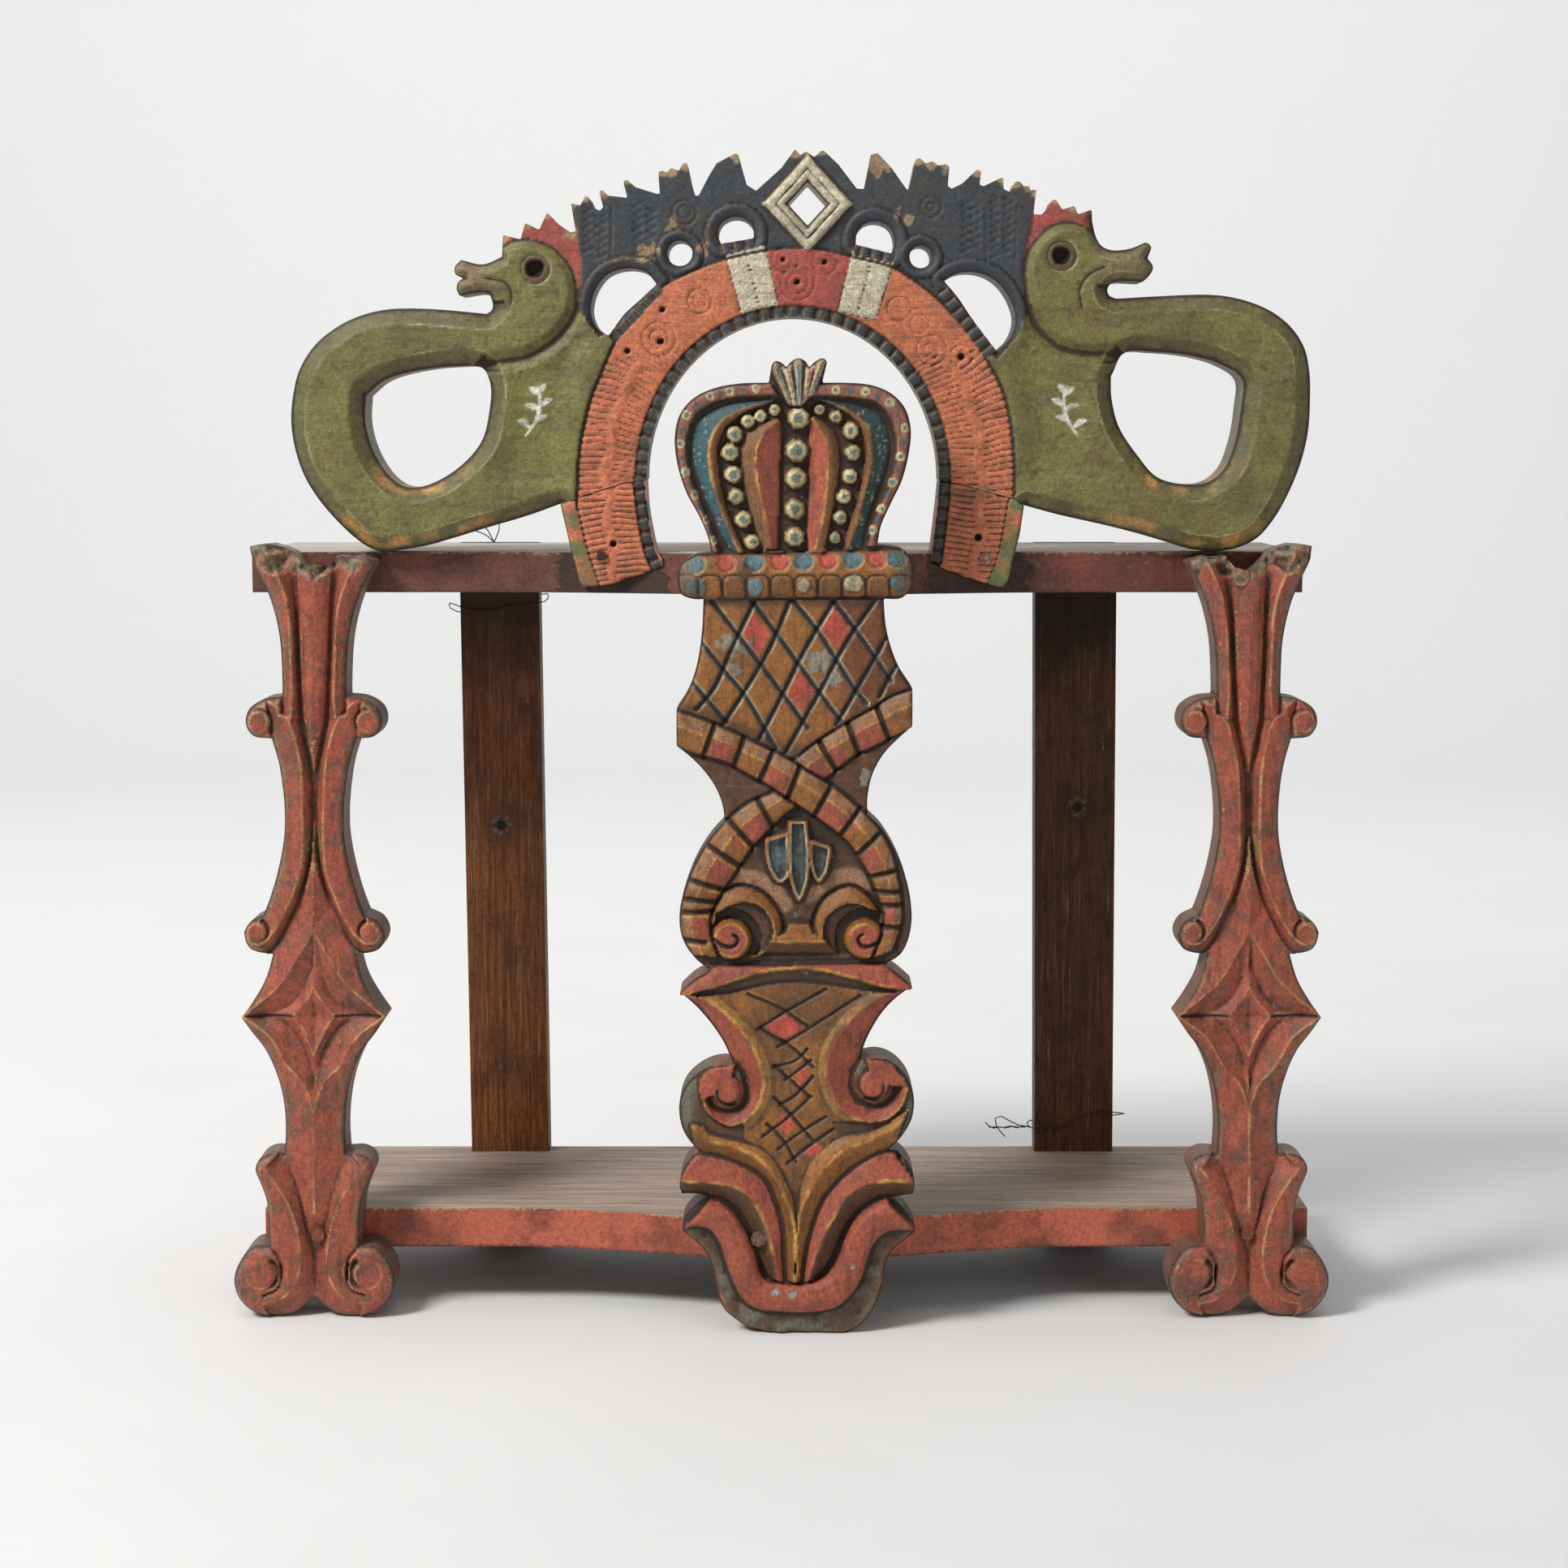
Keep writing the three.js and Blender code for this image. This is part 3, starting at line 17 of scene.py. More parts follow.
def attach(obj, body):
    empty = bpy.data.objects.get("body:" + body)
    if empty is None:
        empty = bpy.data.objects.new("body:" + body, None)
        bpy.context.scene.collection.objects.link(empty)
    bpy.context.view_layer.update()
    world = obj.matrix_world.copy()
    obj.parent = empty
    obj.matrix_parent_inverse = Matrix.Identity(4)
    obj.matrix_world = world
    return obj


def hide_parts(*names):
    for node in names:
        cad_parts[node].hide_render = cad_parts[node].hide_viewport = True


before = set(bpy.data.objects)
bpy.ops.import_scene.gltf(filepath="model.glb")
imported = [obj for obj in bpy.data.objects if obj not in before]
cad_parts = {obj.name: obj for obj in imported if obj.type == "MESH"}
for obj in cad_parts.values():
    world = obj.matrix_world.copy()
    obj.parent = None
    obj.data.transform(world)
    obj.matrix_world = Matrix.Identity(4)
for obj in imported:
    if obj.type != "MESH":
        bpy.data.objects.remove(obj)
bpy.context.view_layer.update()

MM = 0.001
NOISE_SIZE = 64
FAR = 1e3


def paint_of(red, green, blue):
    """A paint's colour, given as 0 to 255 on a screen, as linear values."""
    share = np.array([red, green, blue]) / 255
    return np.where(share <= 0.04045, share / 12.92, ((share + 0.055) / 1.055) ** 2.4)


# Paints of bare wood, and of dirt and painted shade
UMBER = paint_of(52, 36, 26)
DARK_BROWN = paint_of(92, 62, 38)
BARE_GREY = paint_of(186, 164, 146)
WORN_OCHRE = paint_of(206, 156, 88)
TAN = paint_of(178, 150, 112)
GREY_GREEN = paint_of(120, 118, 98)
PLANK_STAIN = paint_of(112, 94, 80)

# Paints of the shelves, slats and pegs
EDGE_RED = paint_of(196, 102, 78)
EDGE_MAROON = paint_of(118, 70, 54)
EDGE_BRICK = paint_of(134, 64, 50)
LOWER_WORN_LINE = paint_of(190, 160, 96)
UPPER_WORN_LINE = paint_of(150, 128, 108)
UPPER_TOP_GREY = paint_of(214, 202, 190)
EDGE_CHIP = paint_of(120, 92, 78)
SLAT_BROWN = paint_of(118, 70, 36)
SLAT_SCRATCH = paint_of(134, 102, 68)
SLAT_DARK = paint_of(50, 34, 22)
SLAT_WORN = paint_of(146, 112, 74)
KNOT_ROUGH = paint_of(112, 88, 74)
PEG_PALE = paint_of(176, 138, 116)
PEG_PALE_RINGS = paint_of(110, 76, 60)
PEG_BROWN = paint_of(130, 96, 80)
PLUG_GREY = paint_of(140, 116, 100)

# Paints of the side posts
POST_RED = paint_of(164, 82, 60)
POST_WORN = paint_of(196, 148, 104)
POST_GOLD = paint_of(204, 150, 96)
POST_DIRT = paint_of(104, 82, 66)
POST_RUBBED = paint_of(126, 100, 82)
CROSSING_OLIVE = paint_of(132, 112, 66)
TORN_WOOD = paint_of(128, 104, 70)

# Paints of the bow
DRAGON_GREEN = paint_of(120, 116, 62)
MOSS = paint_of(96, 92, 58)
GREEN_BROWN = paint_of(104, 84, 56)
GREEN_DIRT = paint_of(74, 66, 42)
FRESH_GREEN = paint_of(126, 132, 56)
FACET_GREEN = paint_of(88, 82, 56)
FACET_LINE = paint_of(182, 176, 132)
BEAK_TAN = paint_of(132, 112, 84)
CHEEK_LINE = paint_of(190, 180, 136)
EYE_RED = paint_of(96, 52, 40)
EYE_LINE = paint_of(170, 165, 120)
SPRIG_WHITE = paint_of(222, 220, 206)
ARCH_ORANGE = paint_of(202, 116, 80)
ARCH_BRICK = paint_of(172, 80, 72)
BOW_CREAM = paint_of(206, 196, 170)
COMB_BLUE = paint_of(54, 61, 68)
SOFFIT_GREY = paint_of(112, 106, 98)
FOOT_GREEN = paint_of(112, 116, 74)
BOW_GLAZE = paint_of(78, 66, 40)

# Paints of the centre post
OCHRE_BROWN = paint_of(148, 95, 40)
CENTRE_WORN = paint_of(196, 150, 96)
GOLD = paint_of(204, 152, 74)
PALE_TAN = paint_of(176, 132, 100)
LOZENGE_RED = paint_of(188, 80, 60)
RED_BROWN = paint_of(104, 56, 30)
TEAL = paint_of(84, 112, 116)
PALE_SPOT = paint_of(150, 165, 155)
BARE_PATCH = paint_of(140, 140, 125)
CREAM = paint_of(206, 196, 160)
CROWN_BLUE = paint_of(54, 92, 102)
CROWN_GREEN = paint_of(40, 72, 72)
RIB_BROWN = paint_of(132, 88, 54)
PINK_BROWN = paint_of(140, 92, 76)
PEARL = paint_of(206, 194, 146)

# The hole in each back slat, as (x, z), and the painted shade by the bow's feet, as (middle x, half width).
SLAT_KNOTS = ((-167.5, 254), (176.5, 265))
FOOT_NOTCHES = ((-92, 29), (106, 28))

# Heights of the shelves' tops, and their thickness.
LOWER_SHELF_TOP = 55.3
UPPER_SHELF_TOP = 422
SHELF_THICKNESS = 22


# Lines and noise

def smooth_line(points, spacing=1.2):
    """A curve through the points, sampled about every spacing millimetres."""
    knots = np.asarray(points, float)
    if len(knots) == 2:
        count = max(2, int(np.hypot(*(knots[1] - knots[0])) / spacing) + 1)
        return np.linspace(knots[0], knots[1], count)
    padded = np.vstack([2 * knots[0] - knots[1], knots, 2 * knots[-1] - knots[-2]])
    samples = []
    for p0, p1, p2, p3 in zip(padded, padded[1:], padded[2:], padded[3:]):
        chord = np.hypot(*(p2 - p1))
        gaps = [max(math.sqrt(np.hypot(*(b - a))), 1e-4) for a, b in ((p0, p1), (p1, p2), (p2, p3))]
        t0, t1 = 0.0, gaps[0]
        t2 = t1 + gaps[1]
        t3 = t2 + gaps[2]
        count = max(1, int(chord / spacing))
        for t in t1 + (t2 - t1) * np.arange(count) / count:
            a1 = (t1 - t) / (t1 - t0) * p0 + (t - t0) / (t1 - t0) * p1
            a2 = (t2 - t) / (t2 - t1) * p1 + (t - t1) / (t2 - t1) * p2
            a3 = (t3 - t) / (t3 - t2) * p2 + (t - t2) / (t3 - t2) * p3
            b1 = (t2 - t) / (t2 - t0) * a1 + (t - t0) / (t2 - t0) * a2
            b2 = (t3 - t) / (t3 - t1) * a2 + (t - t1) / (t3 - t1) * a3
            samples.append((t2 - t) / (t2 - t1) * b1 + (t - t1) / (t2 - t1) * b2)
    samples.append(knots[-1])
    return np.array(samples)


def ring_of(runs):
    """A closed ring from runs of points: smooth inside a run, sharp where two runs meet."""
    return np.vstack([smooth_line(run)[:-1] for run in runs])


def closed(ring):
    """The ring with its first point again at its end."""
    return np.vstack([ring, ring[:1]])


def circle(x, z, radius, count=40):
    """A ring of points round a centre, without the first one again."""
    angles = 2 * math.pi * np.arange(count) / count
    return np.column_stack([x + radius * np.cos(angles), z + radius * np.sin(angles)])


def ring_line(x, z, radius):
    """A circle as a line that ends where it starts."""
    return closed(circle(x, z, radius))


def spiral(x, z, first_radius, last_radius, start, turn, count=40):
    """A line that winds round a centre while its radius changes evenly."""
    share = np.linspace(0, 1, count)
    radius = first_radius + (last_radius - first_radius) * share
    angle = start + turn * share
    return np.column_stack([x + radius * np.cos(angle), z + radius * np.sin(angle)])


def unit(values):
    """The values, held between 0 and 1."""
    return np.clip(values, 0, 1)


def line_length(line):
    return np.hypot(*np.diff(line, axis=0).T).sum()


def offset_line(line, distance):
    """The line moved to its left by a distance."""
    step = np.gradient(line, axis=0)
    step /= np.hypot(step[:, 0], step[:, 1])[:, None]
    return line + distance * np.column_stack([-step[:, 1], step[:, 0]])


def smooth_noise(x, z, scale, seed):
    """Even noise between -1 and 1 that changes over about scale millimetres."""
    table = np.random.default_rng(seed).uniform(-1, 1, (NOISE_SIZE, NOISE_SIZE))
    u, v = x / scale, z / scale
    i, j = np.floor(u).astype(int), np.floor(v).astype(int)
    fu, fv = u - i, v - j
    fu, fv = fu * fu * (3 - 2 * fu), fv * fv * (3 - 2 * fv)

    def at(a, b):
        return table[(i + a) % NOISE_SIZE, (j + b) % NOISE_SIZE]

    low = at(0, 0) * (1 - fu) + at(1, 0) * fu
    high = at(0, 1) * (1 - fu) + at(1, 1) * fu
    return low * (1 - fv) + high * fv


class Relief:
    """A carved board: heights and colours over a grid in its outline, in millimetres."""

    def __init__(self, rings, pitch, front, back, colour, seed):
        self.pitch, self.front, self.back, self.seed = pitch, front, back, seed
        low = rings[0].min(0) - 1.5 * pitch
        high = rings[0].max(0) + 2 * pitch
        self.low = low
        self.x, self.z = np.meshgrid(np.arange(low[0], high[0], pitch), np.arange(low[1], high[1], pitch))
        inside = np.zeros(self.x.shape, bool)
        reach = 2.6 * pitch
        nearest = np.full(self.x.shape, np.inf)
        near_x, near_z = self.x.copy(), self.z.copy()
        for ring in rings:
            inside ^= self.within(ring)
            for a, b, window in self.spans(closed(ring), reach):
                step = b - a
                share = ((self.x[window] - a[0]) * step[0] + (self.z[window] - a[1]) * step[1])
                share = unit(share / max(step @ step, 1e-12))
                px, pz = a[0] + share * step[0], a[1] + share * step[1]
                gap = np.hypot(self.x[window] - px, self.z[window] - pz)
                closer = gap < nearest[window]
                nearest[window] = np.where(closer, gap, nearest[window])
                near_x[window] = np.where(closer, px, near_x[window])
                near_z[window] = np.where(closer, pz, near_z[window])
        signed = np.where(inside, 1, -1) * np.minimum(nearest, reach)
        corners = signed[:-1, :-1] + signed[1:, :-1] + signed[:-1, 1:] + signed[1:, 1:]
        self.cells = self.tidy_cells(corners > 0)
        around = np.pad(self.cells.astype(int), 1)
        count = around[:-1, :-1] + around[1:, :-1] + around[:-1, 1:] + around[1:, 1:]
        self.used = count > 0
        self.rim = self.used & (count < 4)
        self.x = np.where(self.rim, near_x, self.x)
        self.z = np.where(self.rim, near_z, self.z)
        self.edge = self.near(rings, 16).dist
        self.edge[self.rim] = 0
        self.h = np.zeros(self.x.shape)
        self.colour = np.zeros(self.x.shape + (3,)) + colour
        self.wall_colour = None
        self.bare = np.zeros(self.x.shape)

    @staticmethod
    def tidy_cells(cells):
        """Fills cells where two kept ones only meet at a corner, and drops lone ones."""
        for _ in range(3):
            sides = np.pad(cells, 1).astype(int)
            beside = sides[:-2, 1:-1] + sides[2:, 1:-1] + sides[1:-1, :-2] + sides[1:-1, 2:]
            cells = cells & (beside >= 2)
            for _ in range(2):
                a, b, c, d = cells[:-1, :-1], cells[1:, :-1], cells[:-1, 1:], cells[1:, 1:]
                crossed = (a & d & ~b & ~c) | (b & c & ~a & ~d)
                for part in (cells[:-1, :-1], cells[1:, :-1]):
                    part |= crossed
        return cells

    def window(self, points, reach):
        """The block of the grid within reach of the points' box."""
        lo = np.floor((points.min(0) - reach - self.low) / self.pitch).astype(int)
        hi = np.ceil((points.max(0) + reach - self.low) / self.pitch).astype(int) + 1
        return np.s_[max(lo[1], 0):max(hi[1], 0), max(lo[0], 0):max(hi[0], 0)]

    def spans(self, line, reach):
        """Each part of a line between two of its points, with the block of the grid near it."""
        for a, b in zip(line, line[1:]):
            yield a, b, self.window(np.array([a, b]), reach)

    def within(self, ring):
        """True for grid points inside a closed ring."""
        ring = np.asarray(ring, float)
        inside = np.zeros(self.x.shape, bool)
        for a, b in zip(ring, np.roll(ring, -1, axis=0)):
            if a[1] == b[1]:
                continue
            rows = self.window(np.array([a, b]), 2 * self.pitch)[0]
            x, z = self.x[rows], self.z[rows]
            crossing = a[0] + (z - a[1]) * (b[0] - a[0]) / (b[1] - a[1])
            inside[rows] ^= ((a[1] > z) != (b[1] > z)) & (x < crossing)
        return inside

    def near(self, lines, reach):
        """Distance to the nearest of some lines, and there the share along it and the side (+1 left)."""
        found = Near(self.x.shape)
        for line in lines if isinstance(lines, list) else [lines]:
            lengths = np.hypot(*np.diff(line, axis=0).T)
            total = max(lengths.sum(), 1e-9)
            begin = 0.0
            for (a, b, window), length in zip(self.spans(line, reach), lengths):
                x, z = self.x[window] - a[0], self.z[window] - a[1]
                step = (b - a) / max(length, 1e-9)
                along = np.clip(x * step[0] + z * step[1], 0, length)
                gap = np.hypot(x - along * step[0], z - along * step[1])
                closer = gap < found.dist[window]
                found.dist[window] = np.where(closer, gap, found.dist[window])
                found.share[window] = np.where(closer, (begin + along) / total, found.share[window])
                side = np.where(step[0] * z - step[1] * x > 0, 1.0, -1.0)
                found.side[window] = np.where(closer, side, found.side[window])
                begin += length
        return found

    def gap_to(self, x, z):
        """Distance from a point."""
        return np.hypot(self.x - x, self.z - z)

    def noise(self, scale, seed=0):
        return smooth_noise(self.x, self.z, scale, self.seed + seed)

    def has_colour(self, colour, slack=1e-6):
        """True where the paint is this colour."""
        return np.all(np.abs(self.colour - colour) < slack, axis=-1)

    def level(self, mask, heights):
        """Puts the surface at the heights where the mask holds."""
        self.h = np.where(mask, heights, self.h)

    def crest(self, points, top, slope, reach, fade=0.0):
        """A sharp crest along a line, over what is lower. It sinks by fade at its end."""
        at = self.near(smooth_line(points), reach)
        heights = top - fade * at.share - slope * at.dist
        self.level((at.dist < reach) & (heights > self.h), heights)

    def cut(self, points, half_width, depth, colour=None, taper=None):
        """A V-groove along a line, cut into whatever is there."""
        line = points if isinstance(points, np.ndarray) else smooth_line(points)
        at = self.near(line, half_width + 1)
        width = half_width * (1 if taper is None else taper(at.share))
        across = np.minimum(at.dist / np.maximum(width, 0.05), 1)
        self.h = self.h - depth * (1 - across)
        if colour is not None:
            self.tint(unit((1 - across) * 3), colour)

    def strip(self, first, second, profile, colour=None):
        """Shapes the band between two lines by a profile of (share across, height) points."""
        a, b = smooth_line(first), smooth_line(second)
        inside = self.within(np.vstack([a, b[::-1]]))
        to_first, to_second = self.near(a, 26).dist, self.near(b, 26).dist
        share = to_first / np.maximum(to_first + to_second, 1e-6)
        self.h = np.where(inside, np.interp(share, *zip(*profile)), self.h)
        if colour is not None:
            self.colour[inside] = colour
        return inside, share

    def edging(self, points, half_width, colour, strength=0.9, patchy=0.55):
        """A thin uneven painted line, such as worn gold along an arris."""
        line = points if isinstance(points, np.ndarray) else smooth_line(points)
        gap = self.near(line, half_width + 2).dist + 0.35 * self.noise(2.2, 72)
        shown = unit(1 - patchy + 1.2 * self.noise(7, 73))
        self.tint(unit((half_width - gap) / 0.5 + 0.5) * shown * strength, colour)

    def tint(self, share, colour, where=True, most=1.0):
        """Mixes in a colour by its share, held between 0 and most, where the mask holds."""
        share = np.clip(np.where(where, share, 0), 0, most)[..., None]
        self.colour = self.colour * (1 - share) + colour * share

    def blurred(self, values, radius):
        """The mean over a square of grid points in the board."""
        span = max(1, round(radius / self.pitch))
        weight = self.used.astype(float)
        total = values * weight
        for axis in (0, 1):
            total, weight = (box_sum(a, span, axis) for a in (total, weight))
        return total / np.maximum(weight, 1e-9)

    def relax(self, share):
        """Softens the carving a little."""
        self.h = self.h * (1 - share) + self.blurred(self.h, self.pitch) * share

    def hand_work(self, amount):
        """The slight unevenness that a knife leaves."""
        self.h += amount * (self.noise(7, 11) + 0.5 * self.noise(2.6, 12))

    def mesh(self, name, material, wall_bare=0.5):
        """The board as a mesh piece: carved front, walls and a flat back."""
        index = np.full(self.x.shape, -1)
        index[self.used] = np.arange(self.used.sum())
        y = self.front - self.h
        points = np.column_stack([self.x[self.used], y[self.used], self.z[self.used]])
        sharp = self.h - self.blurred(self.h, 1.6)
        broad = self.h - self.blurred(self.h, 5.0)
        ridge = unit(sharp / 0.45) + unit(1 - self.edge / 1.3) * 0.8
        # cavity marks the hollows, which the paint darkens with dirt and painted shade.
        cavity = unit(-sharp / 0.5) * 0.7 + unit(-broad / 2.2) * 0.6
        marks = np.stack([unit(ridge), unit(cavity), self.bare], axis=-1)
        a, b = index[:-1, :-1], index[:-1, 1:]
        c, d = index[1:, 1:], index[1:, :-1]
        kept = self.cells
        faces = [np.column_stack([a[kept], b[kept], c[kept], d[kept]])]
        open_sides = np.pad(kept, 1)
        rims = []
        for first, second, beside in ((a, b, open_sides[:-2, 1:-1]), (b, c, open_sides[1:-1, 2:]),
                                      (c, d, open_sides[2:, 1:-1]), (d, a, open_sides[1:-1, :-2])):
            bounding = kept & ~beside
            rims.append(np.column_stack([first[bounding], second[bounding]]))
        rims = np.vstack(rims)
        ring = np.unique(rims)
        place = np.full(len(points), -1)
        place[ring] = np.arange(len(ring))
        wall_colour = self.colour if self.wall_colour is None else self.wall_colour
        colours = [self.colour[self.used]]
        wear = [marks[self.used]]
        layers = [points]
        start, above = len(points), rims
        near_y = points[ring, 1]
        levels = [near_y + 1.0, near_y + 0.5 * (self.back - near_y), np.full(len(ring), self.back - 0.8),
                  np.full(len(ring), float(self.back))]
        for depth, level in enumerate(levels):
            layer = points[ring].copy()
            layer[:, 1] = level
            layers.append(layer)
            colours.append(wall_colour[self.used][ring])
            side = np.zeros((len(ring), 3))
            side[:, 0] = 0.6 if depth >= 2 else 0.1
            side[:, 2] = 1.3 if depth == 3 else wall_bare * (0.5 if depth == 0 else 1)
            wear.append(side)
            below = start + place[rims]
            faces.append(np.column_stack([above[:, 1], above[:, 0], below[:, 0], below[:, 1]]))
            start, above = start + len(ring), below
        points = np.vstack(layers)
        back_faces = self.back_triangles(points, above)
        piece = new_piece(name, points, [*faces, back_faces], material)
        add_attribute(piece.data, "paint", "FLOAT_COLOR", np.vstack(colours))
        add_attribute(piece.data, "marks", "FLOAT_VECTOR", np.vstack(wear))
        mark_sharp(piece.data, [rims, above])
        return piece

    def back_triangles(self, points, rims):
        """Fills the back between its rings. The rims' edges run the way the front's do."""
        following = dict(zip(rims[:, 0].tolist(), rims[:, 1].tolist()))
        loops = []
        while following:
            at = next(iter(following))
            loop = []
            while at in following:
                loop.append(at)
                at = following.pop(at)
            loops.append(loop)
        flat = [i for loop in loops for i in loop]
        found = tessellate_polygon([[(points[i, 0], points[i, 2], 0.0) for i in loop] for loop in loops])
        triangles = np.array([[flat[i] for i in t] for t in found])
        p, q, r = (points[triangles[:, k]][:, [0, 2]] for k in range(3))
        turn = (q[:, 0] - p[:, 0]) * (r[:, 1] - p[:, 1]) - (q[:, 1] - p[:, 1]) * (r[:, 0] - p[:, 0])
        triangles[turn > 0] = triangles[turn > 0][:, ::-1]
        return triangles[np.abs(turn) > 1e-9]


class Near:
    """What Relief.near finds at each grid point."""

    def __init__(self, shape):
        self.dist = np.full(shape, FAR)
        self.share = np.zeros(shape)
        self.side = np.ones(shape)


def box_sum(values, span, axis):
    """The sum over span values to each side along an axis."""
    pad = [(0, 0), (0, 0)]
    pad[axis] = (span + 1, span)
    total = np.cumsum(np.pad(values, pad), axis=axis)
    size = values.shape[axis]
    high = np.take(total, np.arange(2 * span + 1, 2 * span + 1 + size), axis=axis)
    return high - np.take(total, np.arange(size), axis=axis)


# Meshes

def new_piece(name, points, face_groups, material):
    """A mesh in metres from points in millimetres and groups of faces of equal size."""
    data = bpy.data.meshes.new(name)
    sizes = np.concatenate([np.full(len(g), g.shape[1]) for g in face_groups])
    corners = np.concatenate([g.ravel() for g in face_groups]).astype(np.int32)
    data.vertices.add(len(points))
    data.vertices.foreach_set("co", (points * MM).astype(np.float32).ravel())
    data.loops.add(len(corners))
    data.loops.foreach_set("vertex_index", corners)
    data.polygons.add(len(sizes))
    data.polygons.foreach_set("loop_start", np.concatenate([[0], np.cumsum(sizes)[:-1]]).astype(np.int32))
    data.polygons.foreach_set("loop_total", sizes.astype(np.int32))
    data.update(calc_edges=True)
    data.shade_smooth()
    data.materials.append(material)
    piece = bpy.data.objects.new(name, data)
    bpy.context.scene.collection.objects.link(piece)
    return piece


def add_attribute(data, name, kind, values):
    """Stores a value for each vertex, for the materials to read."""
    attribute = data.attributes.new(name, kind, "POINT")
    if kind == "FLOAT_COLOR":
        values = np.column_stack([values, np.ones(len(values))])
        attribute.data.foreach_set("color", values.astype(np.float32).ravel())
    else:
        attribute.data.foreach_set("vector", values.astype(np.float32).ravel())


def mark_sharp(data, edge_groups):
    """Marks these edges, given by their two vertices, as sharp."""
    ends = np.zeros(len(data.edges) * 2, np.int32)
    data.edges.foreach_get("vertices", ends)
    ends = np.sort(ends.reshape(-1, 2), axis=1).astype(np.int64)
    count = len(data.vertices)
    wanted = np.sort(np.vstack(edge_groups), axis=1).astype(np.int64)
    sharp = np.isin(ends[:, 0] * count + ends[:, 1], wanted[:, 0] * count + wanted[:, 1])
    attribute = data.attributes.new("sharp_edge", "BOOLEAN", "EDGE")
    attribute.data.foreach_set("value", sharp)


# Materials

class Shader:
    """A short way to write a node material. Sizes given to noise are in millimetres."""

    def __init__(self, name):
        self.material = bpy.data.materials.new(name)
        self.material.use_nodes = True
        self.tree = self.material.node_tree
        self.tree.nodes.clear()
        self.surface = self.node("ShaderNodeBsdfPrincipled")
        out = self.node("ShaderNodeOutputMaterial")
        self.tree.links.new(self.surface.outputs[0], out.inputs[0])
        self.place = self.node("ShaderNodeTexCoord").outputs["Object"]

    def node(self, kind, **settings):
        made = self.tree.nodes.new(kind)
        for key, value in settings.items():
            setattr(made, key, value)
        return made

    def put(self, socket, value):
        """Links a socket to the input, or sets the input's own value."""
        if isinstance(value, bpy.types.NodeSocket):
            self.tree.links.new(value, socket)
        elif isinstance(value, (tuple, list, np.ndarray)) and len(socket.default_value) == 4:
            socket.default_value = (*[float(v) for v in value[:3]], 1.0)
        else:
            socket.default_value = value

    def attribute(self, name):
        return self.node("ShaderNodeAttribute", attribute_name=name).outputs

    def math(self, operation, *values):
        made = self.node("ShaderNodeMath", operation=operation)
        for socket, value in zip(made.inputs, values):
            self.put(socket, value)
        return made.outputs[0]

    def step(self, value, low, high, to_low=0.0, to_high=1.0):
        """Smoothly from to_low at low to to_high at high."""
        made = self.node("ShaderNodeMapRange", interpolation_type="SMOOTHSTEP")
        for socket, entry in zip(made.inputs, (value, low, high, to_low, to_high)):
            self.put(socket, entry)
        return made.outputs[0]

    def stirred(self, value, noise, amount):
        """The value, moved up and down by a noise about its mean."""
        return self.math("MULTIPLY_ADD", self.math("SUBTRACT", noise, 0.5), amount, value)

    def mix(self, share, first, second, blend="MIX"):
        made = self.node("ShaderNodeMix", data_type="RGBA", blend_type=blend)
        self.put(made.inputs["Factor"], share)
        self.put(made.inputs[6], first)
        self.put(made.inputs[7], second)
        return made.outputs[2]

    def stretched(self, x, y, z):
        """Object coordinates scaled, so that noise is drawn out along the smaller numbers."""
        made = self.node("ShaderNodeMapping")
        self.put(made.inputs["Vector"], self.place)
        made.inputs["Scale"].default_value = (x, y, z)
        return made.outputs[0]

    def noise(self, size, detail=4.0, rough=0.6, place=None, warp=0.0):
        made = self.node("ShaderNodeTexNoise")
        self.put(made.inputs["Vector"], place or self.place)
        made.inputs["Scale"].default_value = 1 / (size * MM)
        made.inputs["Detail"].default_value = detail
        made.inputs["Roughness"].default_value = rough
        made.inputs["Distortion"].default_value = warp
        return made.outputs["Fac"]

    def bump(self, *layers):
        """Stacks bumps, each (height socket, size in millimetres, strength)."""
        normal = None
        for height, size, strength in layers:
            made = self.node("ShaderNodeBump")
            made.inputs["Distance"].default_value = size * MM
            made.inputs["Strength"].default_value = strength
            self.put(made.inputs["Height"], height)
            if normal is not None:
                self.put(made.inputs["Normal"], normal)
            normal = made.outputs[0]
        self.put(self.surface.inputs["Normal"], normal)

    def finish(self, colour, roughness):
        self.put(self.surface.inputs["Base Color"], colour)
        self.put(self.surface.inputs["Roughness"], roughness)
        return self.material


